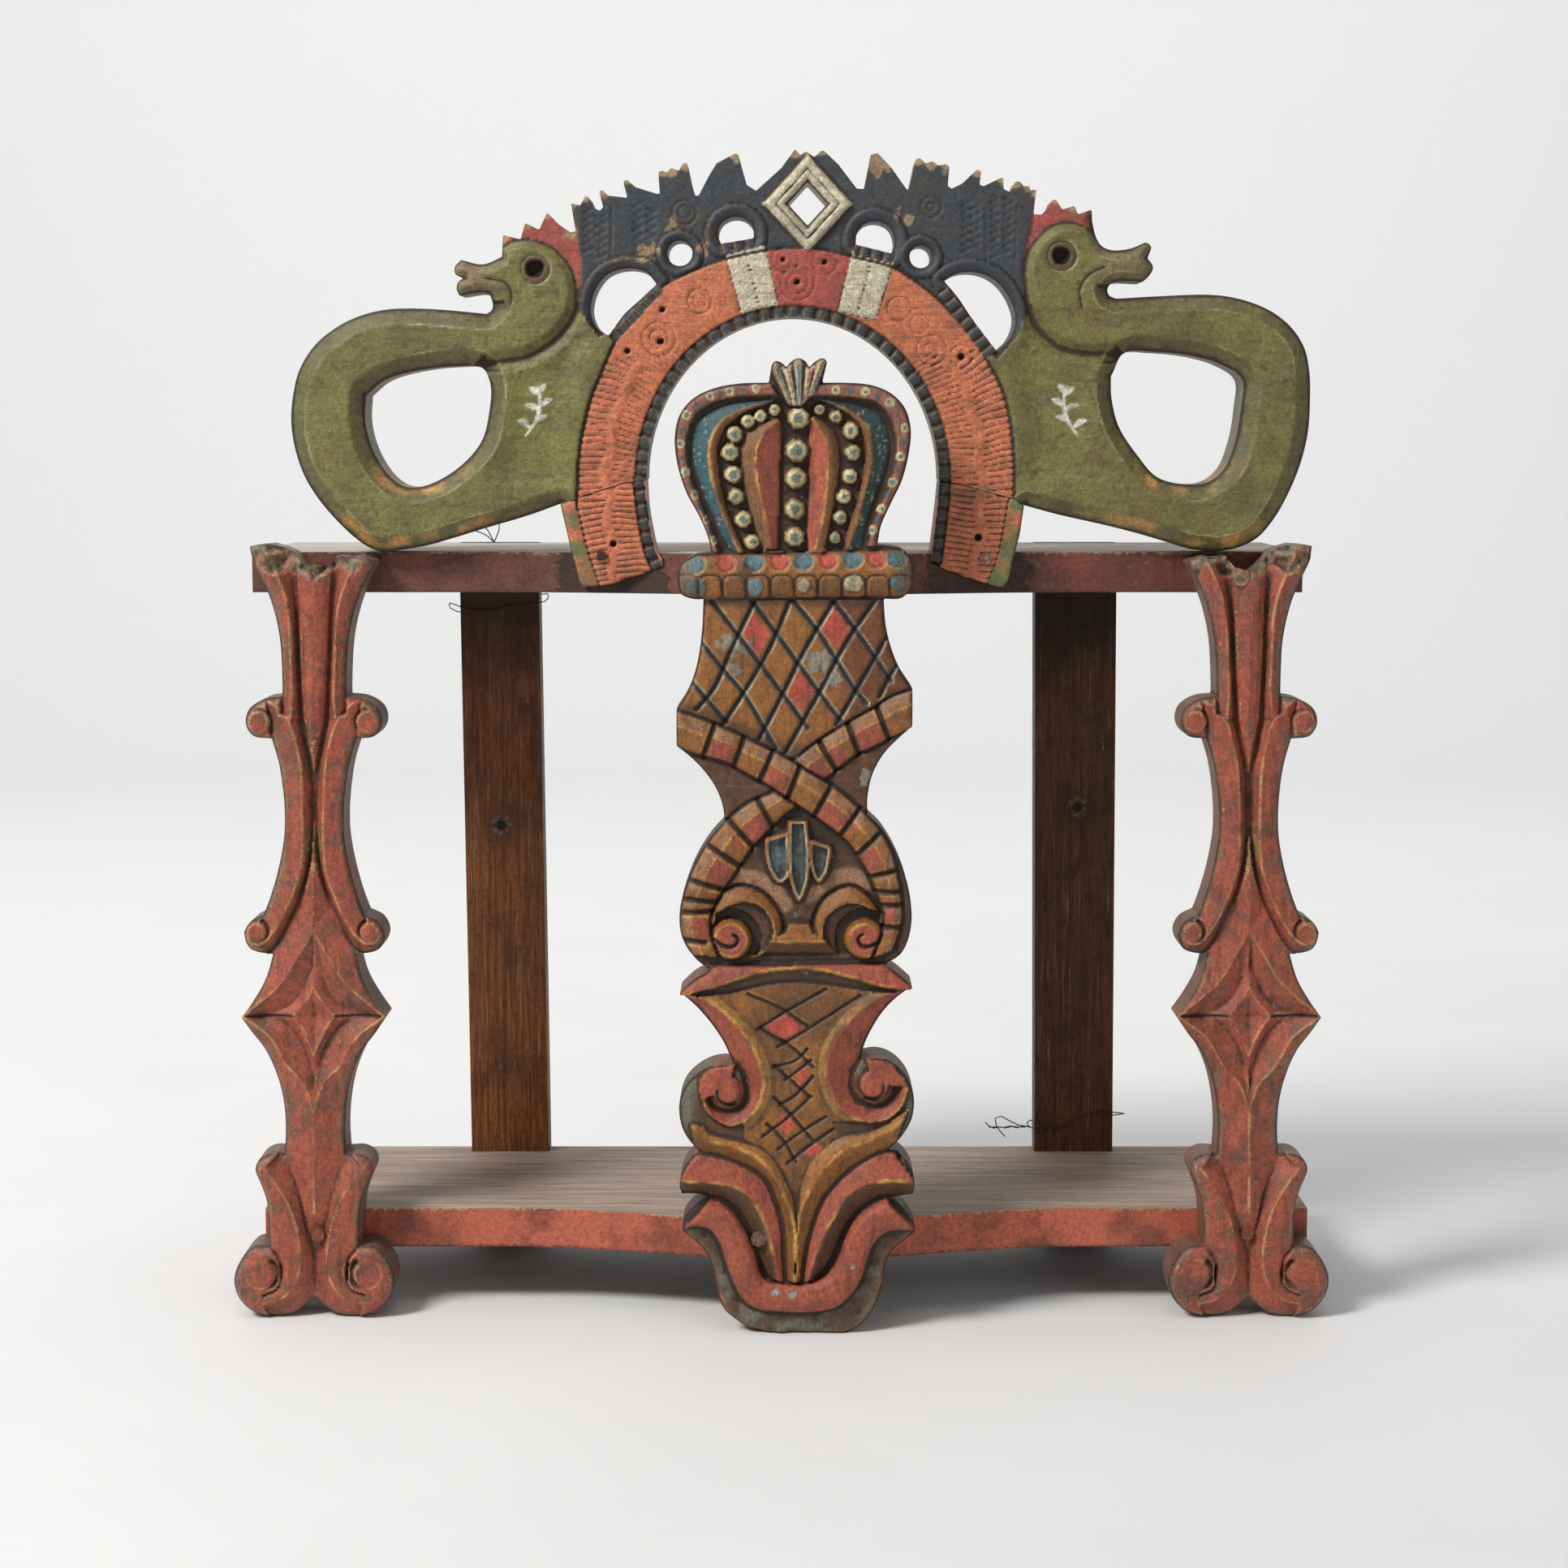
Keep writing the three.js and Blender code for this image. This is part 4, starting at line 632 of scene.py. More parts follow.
def painted_wood(name, grain, worn=WORN_OCHRE, chip=GREY_GREEN, wear=1.0, chips=1.0, dirt_and_shade=1.0, glaze=UMBER):
    """Old oil paint on carved wood: brushed, dirt and painted shade in the grooves, worn through on the
    arrises.
    """
    s = Shader(name)
    ridge, cavity, bare = axes_of(s, s.attribute("marks")["Vector"])
    grit = s.noise(1.25, 6, 0.74)
    mottle = s.noise(2.6, 6, 0.65)
    blotch = s.noise(21, 5, 0.6)
    fibre = s.noise(1.1, 5, 0.65, place=s.stretched(*grain))
    strokes = s.noise(3.4, 4, 0.6, place=s.stretched(*grain))
    colour = s.attribute("paint")["Color"]
    shade = s.math("MULTIPLY", s.step(grit, 0.3, 0.7, 0.68, 1.32), s.step(mottle, 0.3, 0.7, 1.2, 0.76))
    tone = s.node("ShaderNodeCombineColor")
    for channel in tone.inputs:
        s.put(channel, shade)
    colour = s.mix(1.0, colour, tone.outputs[0], "MULTIPLY")
    colour = s.mix(s.step(strokes, 0.48, 0.72, 0.0, 0.46), colour, glaze)
    colour = s.mix(s.step(blotch, 0.46, 0.72, 0.0, 0.42), colour, glaze)
    colour = s.mix(s.step(fibre, 0.54, 0.7, 0.0, 0.42), colour, UMBER)
    specks = s.step(s.noise(1.5, 3, 0.6), 0.66, 0.7)
    colour = s.mix(s.math("MULTIPLY", specks, 0.7), colour, UMBER)
    spread = s.math("ADD", s.math("SUBTRACT", mottle, 0.5), s.math("SUBTRACT", blotch, 0.5))
    # The hollows are darkened by dirt together with painted shade, plus a random spread.
    grime_and_shade = s.math("MULTIPLY_ADD", cavity, 1.3 * dirt_and_shade, s.math("MULTIPLY", spread, 0.6))
    colour = s.mix(s.step(grime_and_shade, 0.16, 0.9, 0.0, 0.92), colour, UMBER * 0.8)
    rub = s.math("MULTIPLY_ADD", ridge, 0.75 * wear, s.math("SUBTRACT", grit, 0.62))
    rub = s.math("ADD", rub, s.math("MULTIPLY", spread, 0.95))
    worn_wood = s.mix(s.step(fibre, 0.4, 0.7), worn, s.mix(1.0, worn, (0.5, 0.42, 0.35), "MULTIPLY"))
    colour = s.mix(s.step(rub, 0.3, 0.5, 0.0, 0.9), colour, worn_wood)
    loss = s.stirred(s.noise(6, 7, 0.72), blotch, 0.5)
    lost = s.step(loss, 0.685 / chips ** 0.12, 0.70 / chips ** 0.12)
    colour = s.mix(s.math("MULTIPLY", lost, 0.8), colour, chip)
    plank = s.noise(2.4, 6, 0.65, place=s.stretched(*[0.03 if g < 1 else 1 for g in grain]), warp=0.4)
    bare_wood = s.mix(s.step(plank, 0.34, 0.68), worn * 0.86, worn * 0.36)
    bare_wood = s.mix(s.step(blotch, 0.4, 0.7, 0.0, 0.5), bare_wood, PLANK_STAIN)
    patchy = s.stirred(bare, s.noise(5, 5), 1.1)
    colour = s.mix(s.step(patchy, 0.45, 0.75), colour, bare_wood)
    s.bump((fibre, 0.3, 0.7), (mottle, 0.7, 0.6), (grit, 0.4, 0.6), (lost, 0.15, -0.5))
    roughness = s.math("ADD", s.step(grit, 0.3, 0.75, 0.34, 0.66), s.math("MULTIPLY", cavity, 0.2))
    return s.finish(colour, roughness)


def axes_of(s, vector):
    """The three parts of a vector socket."""
    split = s.node("ShaderNodeSeparateXYZ")
    s.put(split.inputs[0], vector)
    return split.outputs


def shelf_wood(name, paint, redder, top_z, worn_line, tops=BARE_GREY, notches=()):
    """A softwood board: bare and grey, with its front edge and ends painted."""
    s = Shader(name)
    x, y, z = axes_of(s, s.place)
    nx, ny, nz = axes_of(s, s.node("ShaderNodeNewGeometry").outputs["Normal"])
    grain = s.noise(2.2, 6, 0.65, place=s.stretched(0.035, 1, 1), warp=0.6)
    bands = s.noise(9, 3, 0.5, place=s.stretched(0.02, 1, 1))
    mottle = s.noise(2.4, 6)
    fine = s.noise(0.8, 3)
    blotch = s.noise(30, 4)
    bare = s.mix(s.step(grain, 0.32, 0.68), tops * 1.12, tops * 0.45)
    bare = s.mix(s.step(bands, 0.4, 0.65, 0.0, 0.4), bare, tops * 0.42)
    bare = s.mix(s.step(s.noise(1.3, 3, place=s.stretched(0.02, 1, 1)), 0.66, 0.72, 0.0, 0.8), bare, UMBER)
    coat = s.mix(s.step(x, 0.0, 0.28), paint, redder)
    coat = s.mix(s.step(mottle, 0.35, 0.66, 0.0, 0.5), coat, s.mix(1.0, coat, (0.5, 0.44, 0.4), "MULTIPLY"))
    coat = s.mix(s.step(blotch, 0.42, 0.66, 0.0, 0.55), coat, UMBER)
    coat = s.mix(s.step(s.noise(1.2, 4, 0.7), 0.52, 0.7, 0.0, 0.45), coat, UMBER)
    coat = s.mix(s.step(s.noise(1.5, 4, 0.7, place=s.stretched(0.2, 1, 1)), 0.6, 0.74, 0.0, 0.4), coat,
                 s.mix(1.0, coat, (1.7, 1.7, 1.7), "MULTIPLY"))
    lost = s.step(s.stirred(s.noise(7, 7, 0.7), blotch, 0.4), 0.64, 0.67)
    coat = s.mix(s.math("MULTIPLY", lost, 0.6), coat, EDGE_CHIP)
    edge = s.stirred(s.math("SUBTRACT", top_z * MM, z), mottle, 0.008)
    line = s.math("MULTIPLY", s.step(edge, -0.0004, 0.0012, 1.0, 0.0), s.step(blotch, 0.4, 0.56))
    coat = s.mix(line, coat, worn_line)
    # Painted shade on the front edge where it lies recessed under each bow foot.
    for middle, half in notches:
        away = s.math("ABSOLUTE", s.math("SUBTRACT", x, middle * MM))
        away = s.stirred(away, s.noise(5, 6, 0.7), 0.03)
        coat = s.mix(s.step(away, half * MM, (half + 2) * MM, 0.8, 0.0), coat, UMBER * 0.5)
    foot = s.stirred(s.math("SUBTRACT", z, (top_z - SHELF_THICKNESS) * MM), mottle, 0.01)
    coat = s.mix(s.step(foot, 0.0002, 0.0014, 0.8, 0.0), coat, UMBER)
    facing = s.math("MAXIMUM", s.step(ny, -0.75, -0.3, 1.0, 0.0), s.step(s.math("ABSOLUTE", nx), 0.6, 0.85))
    colour = s.mix(facing, bare, coat)
    front = s.stirred(s.step(y, -0.045, 0.03), mottle, -0.4)
    worn_arris = s.math("MULTIPLY", s.step(front, 0.0, 0.35, 0.45, 0.0), s.step(nz, 0.5, 0.9))
    colour = s.mix(worn_arris, colour, bare)
    under = s.step(nz, -0.9, -0.6, 0.75, 0.0)
    colour = s.mix(under, colour, UMBER)
    s.bump((grain, 0.5, 0.55), (mottle, 0.6, 0.5), (fine, 0.15, 0.4), (lost, 0.15, -0.5))
    return s.finish(colour, s.step(mottle, 0.3, 0.7, 0.55, 0.78))


def stained_wood(name, stain, knot):
    """A dark stained slat: grain up its length, scratches, dents, a nail hole, stain and painted shadow at
    the top.
    """
    s = Shader(name)
    x, _, z = axes_of(s, s.place)
    grain = s.noise(2.4, 6, 0.72, place=s.stretched(1, 1, 0.03), warp=0.5)
    streak = s.noise(8, 3, 0.6, place=s.stretched(1, 1, 0.05))
    scratch = s.noise(1.3, 3, 0.5, place=s.stretched(1, 1, 0.03))
    nick = s.noise(2.6, 5, 0.7, place=s.stretched(1, 1, 0.25))
    blotch = s.noise(30, 5)
    mottle = s.noise(2.0, 5)
    s.put(s.surface.inputs["Specular IOR Level"], 0.3)
    fibre = s.noise(1.0, 5, 0.75, place=s.stretched(1, 1, 0.06))
    colour = s.mix(s.step(grain, 0.32, 0.68), stain * 1.75, stain * 0.5)
    colour = s.mix(s.step(fibre, 0.44, 0.62, 0.0, 0.75), colour, stain * 0.35)
    colour = s.mix(s.step(streak, 0.5, 0.7, 0.0, 0.45), colour, stain * 0.45)
    colour = s.mix(s.step(scratch, 0.63, 0.7, 0.0, 0.7), colour, SLAT_SCRATCH)
    colour = s.mix(s.step(blotch, 0.48, 0.66, 0.0, 0.5), colour, SLAT_DARK)
    colour = s.mix(s.step(mottle, 0.5, 0.72, 0.0, 0.5), colour, UMBER * 0.5)
    worn = s.step(s.math("ADD", nick, s.math("MULTIPLY", blotch, 0.25)), 0.8, 0.83, 0.0, 0.75)
    colour = s.mix(worn, colour, SLAT_WORN)
    # Darker towards the top, under the upper shelf: real stain with painted shadow from the shelf.
    shade = s.stirred(z, blotch, 0.09)
    colour = s.mix(s.step(shade, 0.315, 0.385, 0.0, 0.9), colour, stain * 0.14)
    across = s.math("SUBTRACT", x, knot[0] * MM)
    up = s.math("SUBTRACT", z, knot[1] * MM)
    away = s.math("SQRT", s.math("ADD", s.math("MULTIPLY", across, across), s.math("MULTIPLY", up, up)))
    hole = s.step(s.stirred(away, mottle, 0.004), 0.0026, 0.0036, 1.0, 0.0)
    around = s.step(s.stirred(away, blotch, 0.02), 0.005, 0.02, 0.6, 0.0)
    rough = s.step(s.stirred(away, mottle, 0.008), 0.005, 0.0065, 0.8, 0.0)
    colour = s.mix(around, colour, stain * 0.35)
    colour = s.mix(rough, colour, s.mix(s.step(mottle, 0.4, 0.6), KNOT_ROUGH, UMBER))
    colour = s.mix(hole, colour, (0.004, 0.003, 0.003))
    s.bump((grain, 0.6, 0.7), (scratch, 0.25, -0.5), (mottle, 0.3, 0.4), (hole, 0.8, -0.8))
    return s.finish(colour, s.step(mottle, 0.3, 0.7, 0.42, 0.66))


def end_grain(name, shade, dark):
    """The end of a whittled peg."""
    s = Shader(name)
    rings = s.noise(1.5, 5, 0.6, warp=1.2)
    fine = s.noise(0.5, 3)
    blotch = s.noise(5, 4)
    colour = s.mix(s.step(rings, 0.35, 0.65), shade, dark)
    colour = s.mix(s.step(blotch, 0.45, 0.7, 0.0, 0.6), colour, UMBER)
    s.bump((rings, 0.5, 0.7), (fine, 0.15, 0.5))
    return s.finish(colour, 0.72)


def iron(name, rust):
    """Dark iron, with a share of rust."""
    s = Shader(name)
    cloud = s.noise(2.2, 6, 0.7)
    fine = s.noise(0.4, 3)
    colour = s.mix(s.step(cloud, 0.42, 0.66, 0.0, rust), (0.022, 0.02, 0.019), (0.11, 0.045, 0.02))
    s.put(s.surface.inputs["Metallic"], 0.55)
    s.bump((cloud, 0.3, 0.6), (fine, 0.1, 0.5))
    return s.finish(colour, s.step(cloud, 0.3, 0.7, 0.42, 0.8))


def dress(node, material, bevel=0.0):
    """Gives a CAD node its material, and rounds its arrises by bevel millimetres."""
    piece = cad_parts[node]
    for place in piece.material_slots:
        place.material = material
    if bevel:
        rounded = piece.modifiers.new("arris", "BEVEL")
        rounded.width, rounded.segments = bevel * MM, 2
        rounded.limit_method, rounded.angle_limit = "ANGLE", math.radians(40)
        rounded.harden_normals = False


def dress_plain_pieces():
    """Gives the shelves, slats, pegs, nails and wires their materials."""
    lower = shelf_wood("lower_shelf_wood", EDGE_RED, EDGE_RED, LOWER_SHELF_TOP, LOWER_WORN_LINE)
    upper = shelf_wood("upper_shelf_wood", EDGE_MAROON, EDGE_BRICK, UPPER_SHELF_TOP, UPPER_WORN_LINE,
                       UPPER_TOP_GREY, FOOT_NOTCHES)
    dress("lower_shelf", lower, 1.0)
    dress("upper_shelf", upper, 0.8)
    dress("back_slat_left", stained_wood("slat_wood_left", SLAT_BROWN, SLAT_KNOTS[0]), 1.0)
    # The right slat is darker, at half the left's colour.
    dress("back_slat_right", stained_wood("slat_wood_right", SLAT_BROWN * 0.5, SLAT_KNOTS[1]), 1.0)
    red_peg = end_grain("peg_red", POST_RED * 0.8, DARK_BROWN)
    pale_peg = end_grain("peg_bare", PEG_PALE, PEG_PALE_RINGS)
    brown_peg = end_grain("peg_brown", PEG_BROWN, UMBER)
    grey_plug = end_grain("plug_grey", PLUG_GREY, UMBER)
    for node, material, bevel in (
            ("post_peg_left_lower", red_peg, 0.5), ("post_peg_right_lower", red_peg, 0.5),
            ("post_peg_left_upper", grey_plug, 0.6), ("post_peg_right_upper", pale_peg, 0.6),
            ("center_peg_lower", brown_peg, 0.6), ("center_plug_upper", grey_plug, 0.4),
            ("center_plug_middle", grey_plug, 0.4), ("bow_foot_peg_right", pale_peg, 0.4)):
        dress(node, material, bevel)
    dress("bow_arch_plug", end_grain("plug_green", DRAGON_GREEN * 0.8, DARK_BROWN), 0.4)
    nail = iron("iron_nail", 0.8)
    dress("bow_foot_nail_left", nail, 0.3)
    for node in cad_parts:
        if node.startswith("slat_nail"):
            dress(node, nail, 0.3)
    wire = iron("iron_wire", 0.4)
    dress("wire_left", wire)
    dress("wire_right", wire)


# Camera, light and floor

CAMERA_AT = (1.4, -1728, 486.4)
CAMERA_DOWN = math.radians(6.52)
CAMERA_LENS = 70.43


def make_camera():
    """A camera at the photograph's viewing angle."""
    data = bpy.data.cameras.new("camera")
    data.lens, data.sensor_width = CAMERA_LENS, 36
    data.clip_start, data.clip_end = 0.1, 30
    camera = bpy.data.objects.new("camera", data)
    camera.location = [v * MM for v in CAMERA_AT]
    camera.rotation_euler = (math.pi / 2 - CAMERA_DOWN, 0, 0)
    bpy.context.scene.collection.objects.link(camera)
    bpy.context.scene.camera = camera


def area_light(name, at, aim, size, watts, tint=(1, 1, 1)):
    """A round soft light, in metres, that shines from a point towards another."""
    data = bpy.data.lights.new(name, "AREA")
    data.shape, data.size, data.energy, data.color = "DISK", size, watts, tint
    light = bpy.data.objects.new(name, data)
    light.location = at
    light.rotation_euler = (Vector(aim) - Vector(at)).to_track_quat("-Z", "Y").to_euler()
    bpy.context.scene.collection.objects.link(light)


def make_stage():
    """A floor that curves up into a backdrop, a soft key from the upper left, and a pale world."""
    half, turn_at, radius, top, steps = 5.0, 2.6, 1.2, 5.0, 16
    profile = [(-5.0, 0.0)]
    for i in range(steps + 1):
        angle = math.pi / 2 * i / steps
        profile.append((turn_at + radius * math.sin(angle), radius * (1 - math.cos(angle))))
    profile.append((turn_at + radius, top))
    points = np.array([(x, y, z) for y, z in profile for x in (-half, half)]) / MM
    faces = np.array([(2 * i, 2 * i + 1, 2 * i + 3, 2 * i + 2) for i in range(len(profile) - 1)])
    s = Shader("backdrop")
    _, y, _ = axes_of(s, s.place)
    cloud = s.noise(260, 3)
    shade = s.mix(s.step(cloud, 0.3, 0.7), (0.79, 0.79, 0.787), (0.815, 0.815, 0.812))
    shade = s.mix(s.step(y, 0.6, 2.8), shade, (0.82, 0.82, 0.818))
    floor = new_piece("floor", points, [faces], s.finish(shade, 0.75))
    area_light("key", (-1.7, -1.5, 2.3), (0, 0, 0.3), 0.9, 80, (1.0, 0.985, 0.96))
    area_light("overhead", (-0.2, -0.3, 3.1), (0, 0.1, 0), 2.4, 17)
    area_light("fill", (1.9, -1.9, 1.0), (0, 0, 0.3), 1.6, 7, (0.96, 0.98, 1.0))
    for side in (-1, 1):
        area_light(f"backdrop_light_{side}", (1.5 * side, 1.0, 2.7), (1.7 * side, 3.8, 1.1), 2.2, 37)
    world = bpy.data.worlds.new("world")
    world.use_nodes = True
    world.node_tree.nodes["Background"].inputs[0].default_value = (0.98, 0.985, 1.0, 1)
    world.node_tree.nodes["Background"].inputs[1].default_value = 0.22
    bpy.context.scene.world = world
    bpy.context.scene.view_settings.view_transform = "Standard"


def stand_for(piece, node):
    """Shows a piece in the place of its CAD node."""
    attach(piece, "root")
    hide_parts(node)


# Side posts

POST_AXIS = 258.6
POST_LEAN = 0.0165
POST_HALF = [
    [[35, 426], [34, 420], [28, 408], [22.5, 394], [18.6, 376], [17.3, 352], [17.3, 345]],
    [[17.3, 345], [27, 343.6], [35.2, 338], [37, 330], [33, 323.6], [23, 322]],
    [[23, 322], [19, 308], [16.7, 292], [16, 280], [16.4, 268], [19.7, 250], [24, 235], [27.5, 225.6]],
    [[27.5, 225.6], [35, 221.5], [38.5, 214], [35.6, 206.6], [29, 204], [22.5, 203.8]],
    [[22.5, 203.8], [26.5, 190], [32.5, 179], [39.4, 169]],
    [[39.4, 169], [33.4, 160], [26.2, 150], [20.4, 136], [17.2, 120], [16.3, 105], [17, 92]],
    [[17, 92], [24.4, 92.3], [30.6, 89], [32.3, 83.5], [29.5, 76], [26.2, 66], [25, 52], [24.8, 41]],
    [[24.8, 41], [33.6, 40.2], [41, 32], [44.4, 21.5], [42, 11.5], [34.4, 3.6], [22.5, 0]],
    [[22.5, 0], [18, 0]],
    [[18, 0], [11, 2], [3.6, 7.6], [0, 10]],
]
POST_WORN_TOP = 420.8


def post_axis(side, z):
    """The x of a side post's axis, which leans in a little."""
    return side * (POST_AXIS - POST_LEAN * z)


def side_post_ring(side):
    """The outline: one half and its mirror, with the worn and split top of the leaf between them."""
    half = ring_of(POST_HALF)
    outer = np.column_stack([post_axis(side, half[:, 1]) + side * half[:, 0], half[:, 1]])
    inner = np.column_stack([post_axis(side, half[:, 1]) - side * half[:, 0], half[:, 1]])
    inner = inner[inner[:, 1] <= POST_WORN_TOP]
    brow_x = np.array([-33.5, -24, -19, -12, -7, -1, 6, 12, 17, 24, 30])
    brow_z = np.array([418, 420.8, 420, 420.8, 414, 410, 416, 423, 425.2, 427.2, 426.8])
    brow = np.column_stack([post_axis(side, brow_z) + side * brow_x, brow_z])
    return np.vstack([outer, [[post_axis(side, 10), 10]], inner[::-1], brow])


# The side post's carved lines, as (distance from its axis, z). One half is the other's mirror.
STAR_Z = 169.6
LEAF_CREST = [(28, 427), (19.5, 411), (14, 396), (12, 380), (11.5, 365), (11, 347), (12, 333)]
LEAF_OUTSIDE = [(38, 427), (34.4, 420), (28.4, 408), (23, 394), (19, 376), (17.8, 352), (18, 336)]
LEAF_INSIDE = [(15, 430), (11, 411), (9.2, 396), (8.6, 380), (8, 365), (7, 347), (6, 333)]
SCROLL_CREST = [(22, 342), (16.5, 336.5), (12, 330), (8.5, 318), (6.3, 305), (5.6, 290), (5.3, 275),
                (5.4, 262), (7, 250), (12, 235), (18, 222), (24, 213.6), (30, 209.8), (35, 212),
                (36.6, 216)]
SCROLL_OUTSIDE = [(26, 343), (24.4, 330), (23, 321), (19.4, 308), (17, 292), (16.4, 280), (16.8, 268),
                  (20, 250), (24.4, 235), (28, 225), (31, 218), (33, 216)]
SCROLL_INSIDE = [(10, 340), (6.4, 330), (3.6, 318), (1.8, 308), (0.7, 296), (0.3, 280), (0.5, 264),
                 (2.4, 250), (6.6, 236), (13.4, 221), (18.6, 211), (23.4, 205), (29, 203.4), (36, 206),
                 (39, 214)]
STAR_UPPER = ([(0, 217), (8, 203), (16, 190), (25, 181), (38.4, STAR_Z)],
              [(0, 199), (9.5, 179.5), (18.7, 172.8), (29, STAR_Z)],
              [(0, 186), (3, 180), (6.6, 174.6), (11.4, STAR_Z)])
STAR_LOWER = ([(0, 115), (4.8, 131), (14.8, 143), (24, 158.5), (38.4, STAR_Z)],
              [(0, 133), (1.8, 140), (6.4, 153.8), (17, 166.6), (29, STAR_Z)],
              [(0, 148), (3, 157), (6.5, 163.6), (11.4, STAR_Z)])
FOOT_CREST = [(27, 85), (21, 77), (15, 67), (11, 57), (8.4, 46), (7.2, 35), (8.4, 25), (12.5, 16.5),
              (19.5, 11), (28, 9)]
FOOT_INSIDE = [(20, 92), (12.6, 81), (7.8, 68), (4.8, 56), (2.2, 44), (0.4, 34), (0.2, 20), (3.2, 7),
               (11, 1), (24, -1)]
FOOT_OUTSIDE = [(31, 90), (32.6, 83.5), (30, 76), (26.6, 66), (25.4, 52), (25, 41), (20, 34), (17.6, 25),
                (21, 17), (28, 14)]
FOOT_RIDGE = [(0, 114), (0, 88), (0, 60)]
# Where the board's edge rolls outwards into a scroll: from z, to z, and beyond this distance from the axis.
ROLLED_ENDS = ((-2, 42, 19), (76, 94, 20.5), (200, 228, 23), (319, 346, 17))
# The scrolls' discs: distance from the axis, z, radius, the groove's depth and width, and where it starts and
# ends, in degrees.
POST_VOLUTES = ((29.4, 331.6, 6.2, 1.0, 1.2, 100, -60), (30.8, 216.6, 5.6, 2.2, 1.5, 75, -80),
                (29.4, 25.6, 8.8, 4.0, 2.3, 62, -85))


def side_post(node, side, material):
    """Leaves beside a reed, a pair of C-scrolls, a star, and two leaves that roll into scrolls."""
    board = Relief([side_post_ring(side)], 0.62, -78, -48.3, POST_RED, 100 + side)
    board.h -= 6.5
    off = np.abs(board.x - post_axis(side, board.z))
    board.level((board.z < 272) & (board.z > 90), -4.2 - 0.16 * off)
    board.crest([(post_axis(side, z), z) for z in (268, 250, 232, 214)], -0.6, 0.5, 14)
    rolled = 0.2 - 3.4 * unit(1 - board.edge / 6) ** 1.7
    for foot, top, inner in ROLLED_ENDS:
        board.level((board.z > foot) & (board.z < top) & (off > inner), rolled)
    arrises = []
    for out in (-side, side):

        def at(points, out=out):
            """Points given by their distance from the axis, on this side of the post."""
            knots = np.array(points, float)
            return np.column_stack([post_axis(side, knots[:, 1]) + out * knots[:, 0], knots[:, 1]])

        board.crest(at(STAR_UPPER[0]), -0.2, 0.3, 30)
        board.crest(at(STAR_LOWER[0][::-1] + [(0, 100), (0, 84), (0, 58)]), -0.2, 0.36, 30, fade=1.6)
        for arris, valley, inner in (STAR_UPPER, STAR_LOWER):
            board.strip(at(arris), at(valley), [(0, -0.2), (0.12, -1.6), (0.85, -5.2), (1, -5.4)])
            board.strip(at(valley), at(inner), [(0, -5.4), (0.25, -3.8), (1, -1.4)])
            arrises += [at(arris), at(inner)]
        board.strip(at(SCROLL_CREST), at(SCROLL_INSIDE), [(0, 0.4), (0.12, -0.6), (0.8, -5.6), (1, -6.2)])
        board.strip(at(SCROLL_CREST), at(SCROLL_OUTSIDE),
                    [(0, 0.4), (0.1, 0.2), (0.5, -1.0), (0.8, -2.2), (1, -3.6)])
        board.strip(at(LEAF_CREST), at(LEAF_INSIDE), [(0, 0), (0.2, -2), (0.75, -6.4), (1, -7)])
        board.strip(at(LEAF_CREST), at(LEAF_OUTSIDE), [(0, 0), (0.1, -0.2), (0.6, -2.4), (1, -4.8)])
        board.strip(at(FOOT_CREST), at(FOOT_INSIDE), [(0, 0.2), (0.2, -1.0), (0.85, -5.4), (1, -6.4)])
        board.strip(at(FOOT_CREST), at(FOOT_OUTSIDE), [(0, 0.2), (0.4, 0.1), (0.85, -1.4), (1, -3)])
        arrises += [at(SCROLL_CREST), at(LEAF_CREST), at(FOOT_CREST), at(FOOT_RIDGE)]
    pit = off / 11.4 + np.abs(board.z - STAR_Z) / np.where(board.z > STAR_Z, 16.4, 21.6)
    board.level(pit < 1, -1.4 - 4.4 * (1 - pit))
    for out in (-1, 1):
        arm = np.array([[post_axis(side, STAR_Z) + out * u, STAR_Z] for u in (37, 24, 12)])
        board.cut(arm, 0.9, 1.6, UMBER)
    half_reed = np.interp(board.z, [303, 318, 333, 350, 365, 400, 430], [0.2, 3.2, 6.0, 7.2, 8.0, 9, 11])
    across = unit(off / half_reed)
    reed = -6.8 + 6.4 * np.sqrt(1 - across ** 2) * unit((board.z - 296) / 24)
    board.level((board.z > 303) & (across < 1), reed)
    for out in (-side, side):
        post_volutes(board, side, out)
    board.h -= 1.6 * unit(1 - board.edge / 2.2) ** 1.4
    ragged = unit((board.z - 410 - 4.5 * board.noise(7, 5) - 0.12 * off) / 4)
    board.h -= ragged * (2.6 + 2.4 * board.noise(3.4, 6) + 1.6 * board.noise(8, 7))
    board.relax(0.3)
    board.hand_work(0.2)
    board.tint(0.5 * board.noise(24, 31) + 0.7 * board.noise(7, 32) - 0.1, POST_DIRT * 0.8, most=0.5)
    board.tint(1.9 * board.noise(3.2, 33) * board.noise(15, 34) - 0.14, POST_DIRT, most=0.65)
    rubbed = (3.4 - board.edge) / 2 + 1.1 * board.noise(5, 40) + 0.8 * board.noise(21, 41) - 0.3
    board.tint(rubbed, POST_RUBBED, most=0.8)
    # Darker in the hollows: dirt with painted shade.
    low = board.blurred(board.h, 3) - board.h
    board.tint(np.clip(0.15 * low, 0, 0.5) * unit(0.7 + 0.6 * board.noise(9, 35)), UMBER)
    for line in arrises:
        board.edging(smooth_line(line), 0.5, POST_GOLD, 0.85, 0.5)
    crossing = np.hypot(off / 6, (board.z - 263) / 13) + 0.7 * board.noise(4, 38)
    board.tint((0.95 - crossing) / 0.3, CROSSING_OLIVE, most=0.8)
    board.tint(ragged * unit(0.7 + 0.9 * board.noise(4, 8)), GREY_GREEN)
    board.tint(ragged * np.clip(1.2 * board.noise(5, 9), 0, 0.7), TORN_WOOD)
    board.bare = unit(ragged * 0.3 * (board.noise(6, 10) > 0.2))
    stand_for(board.mesh(node + "_carved", material, wall_bare=0.12), node)


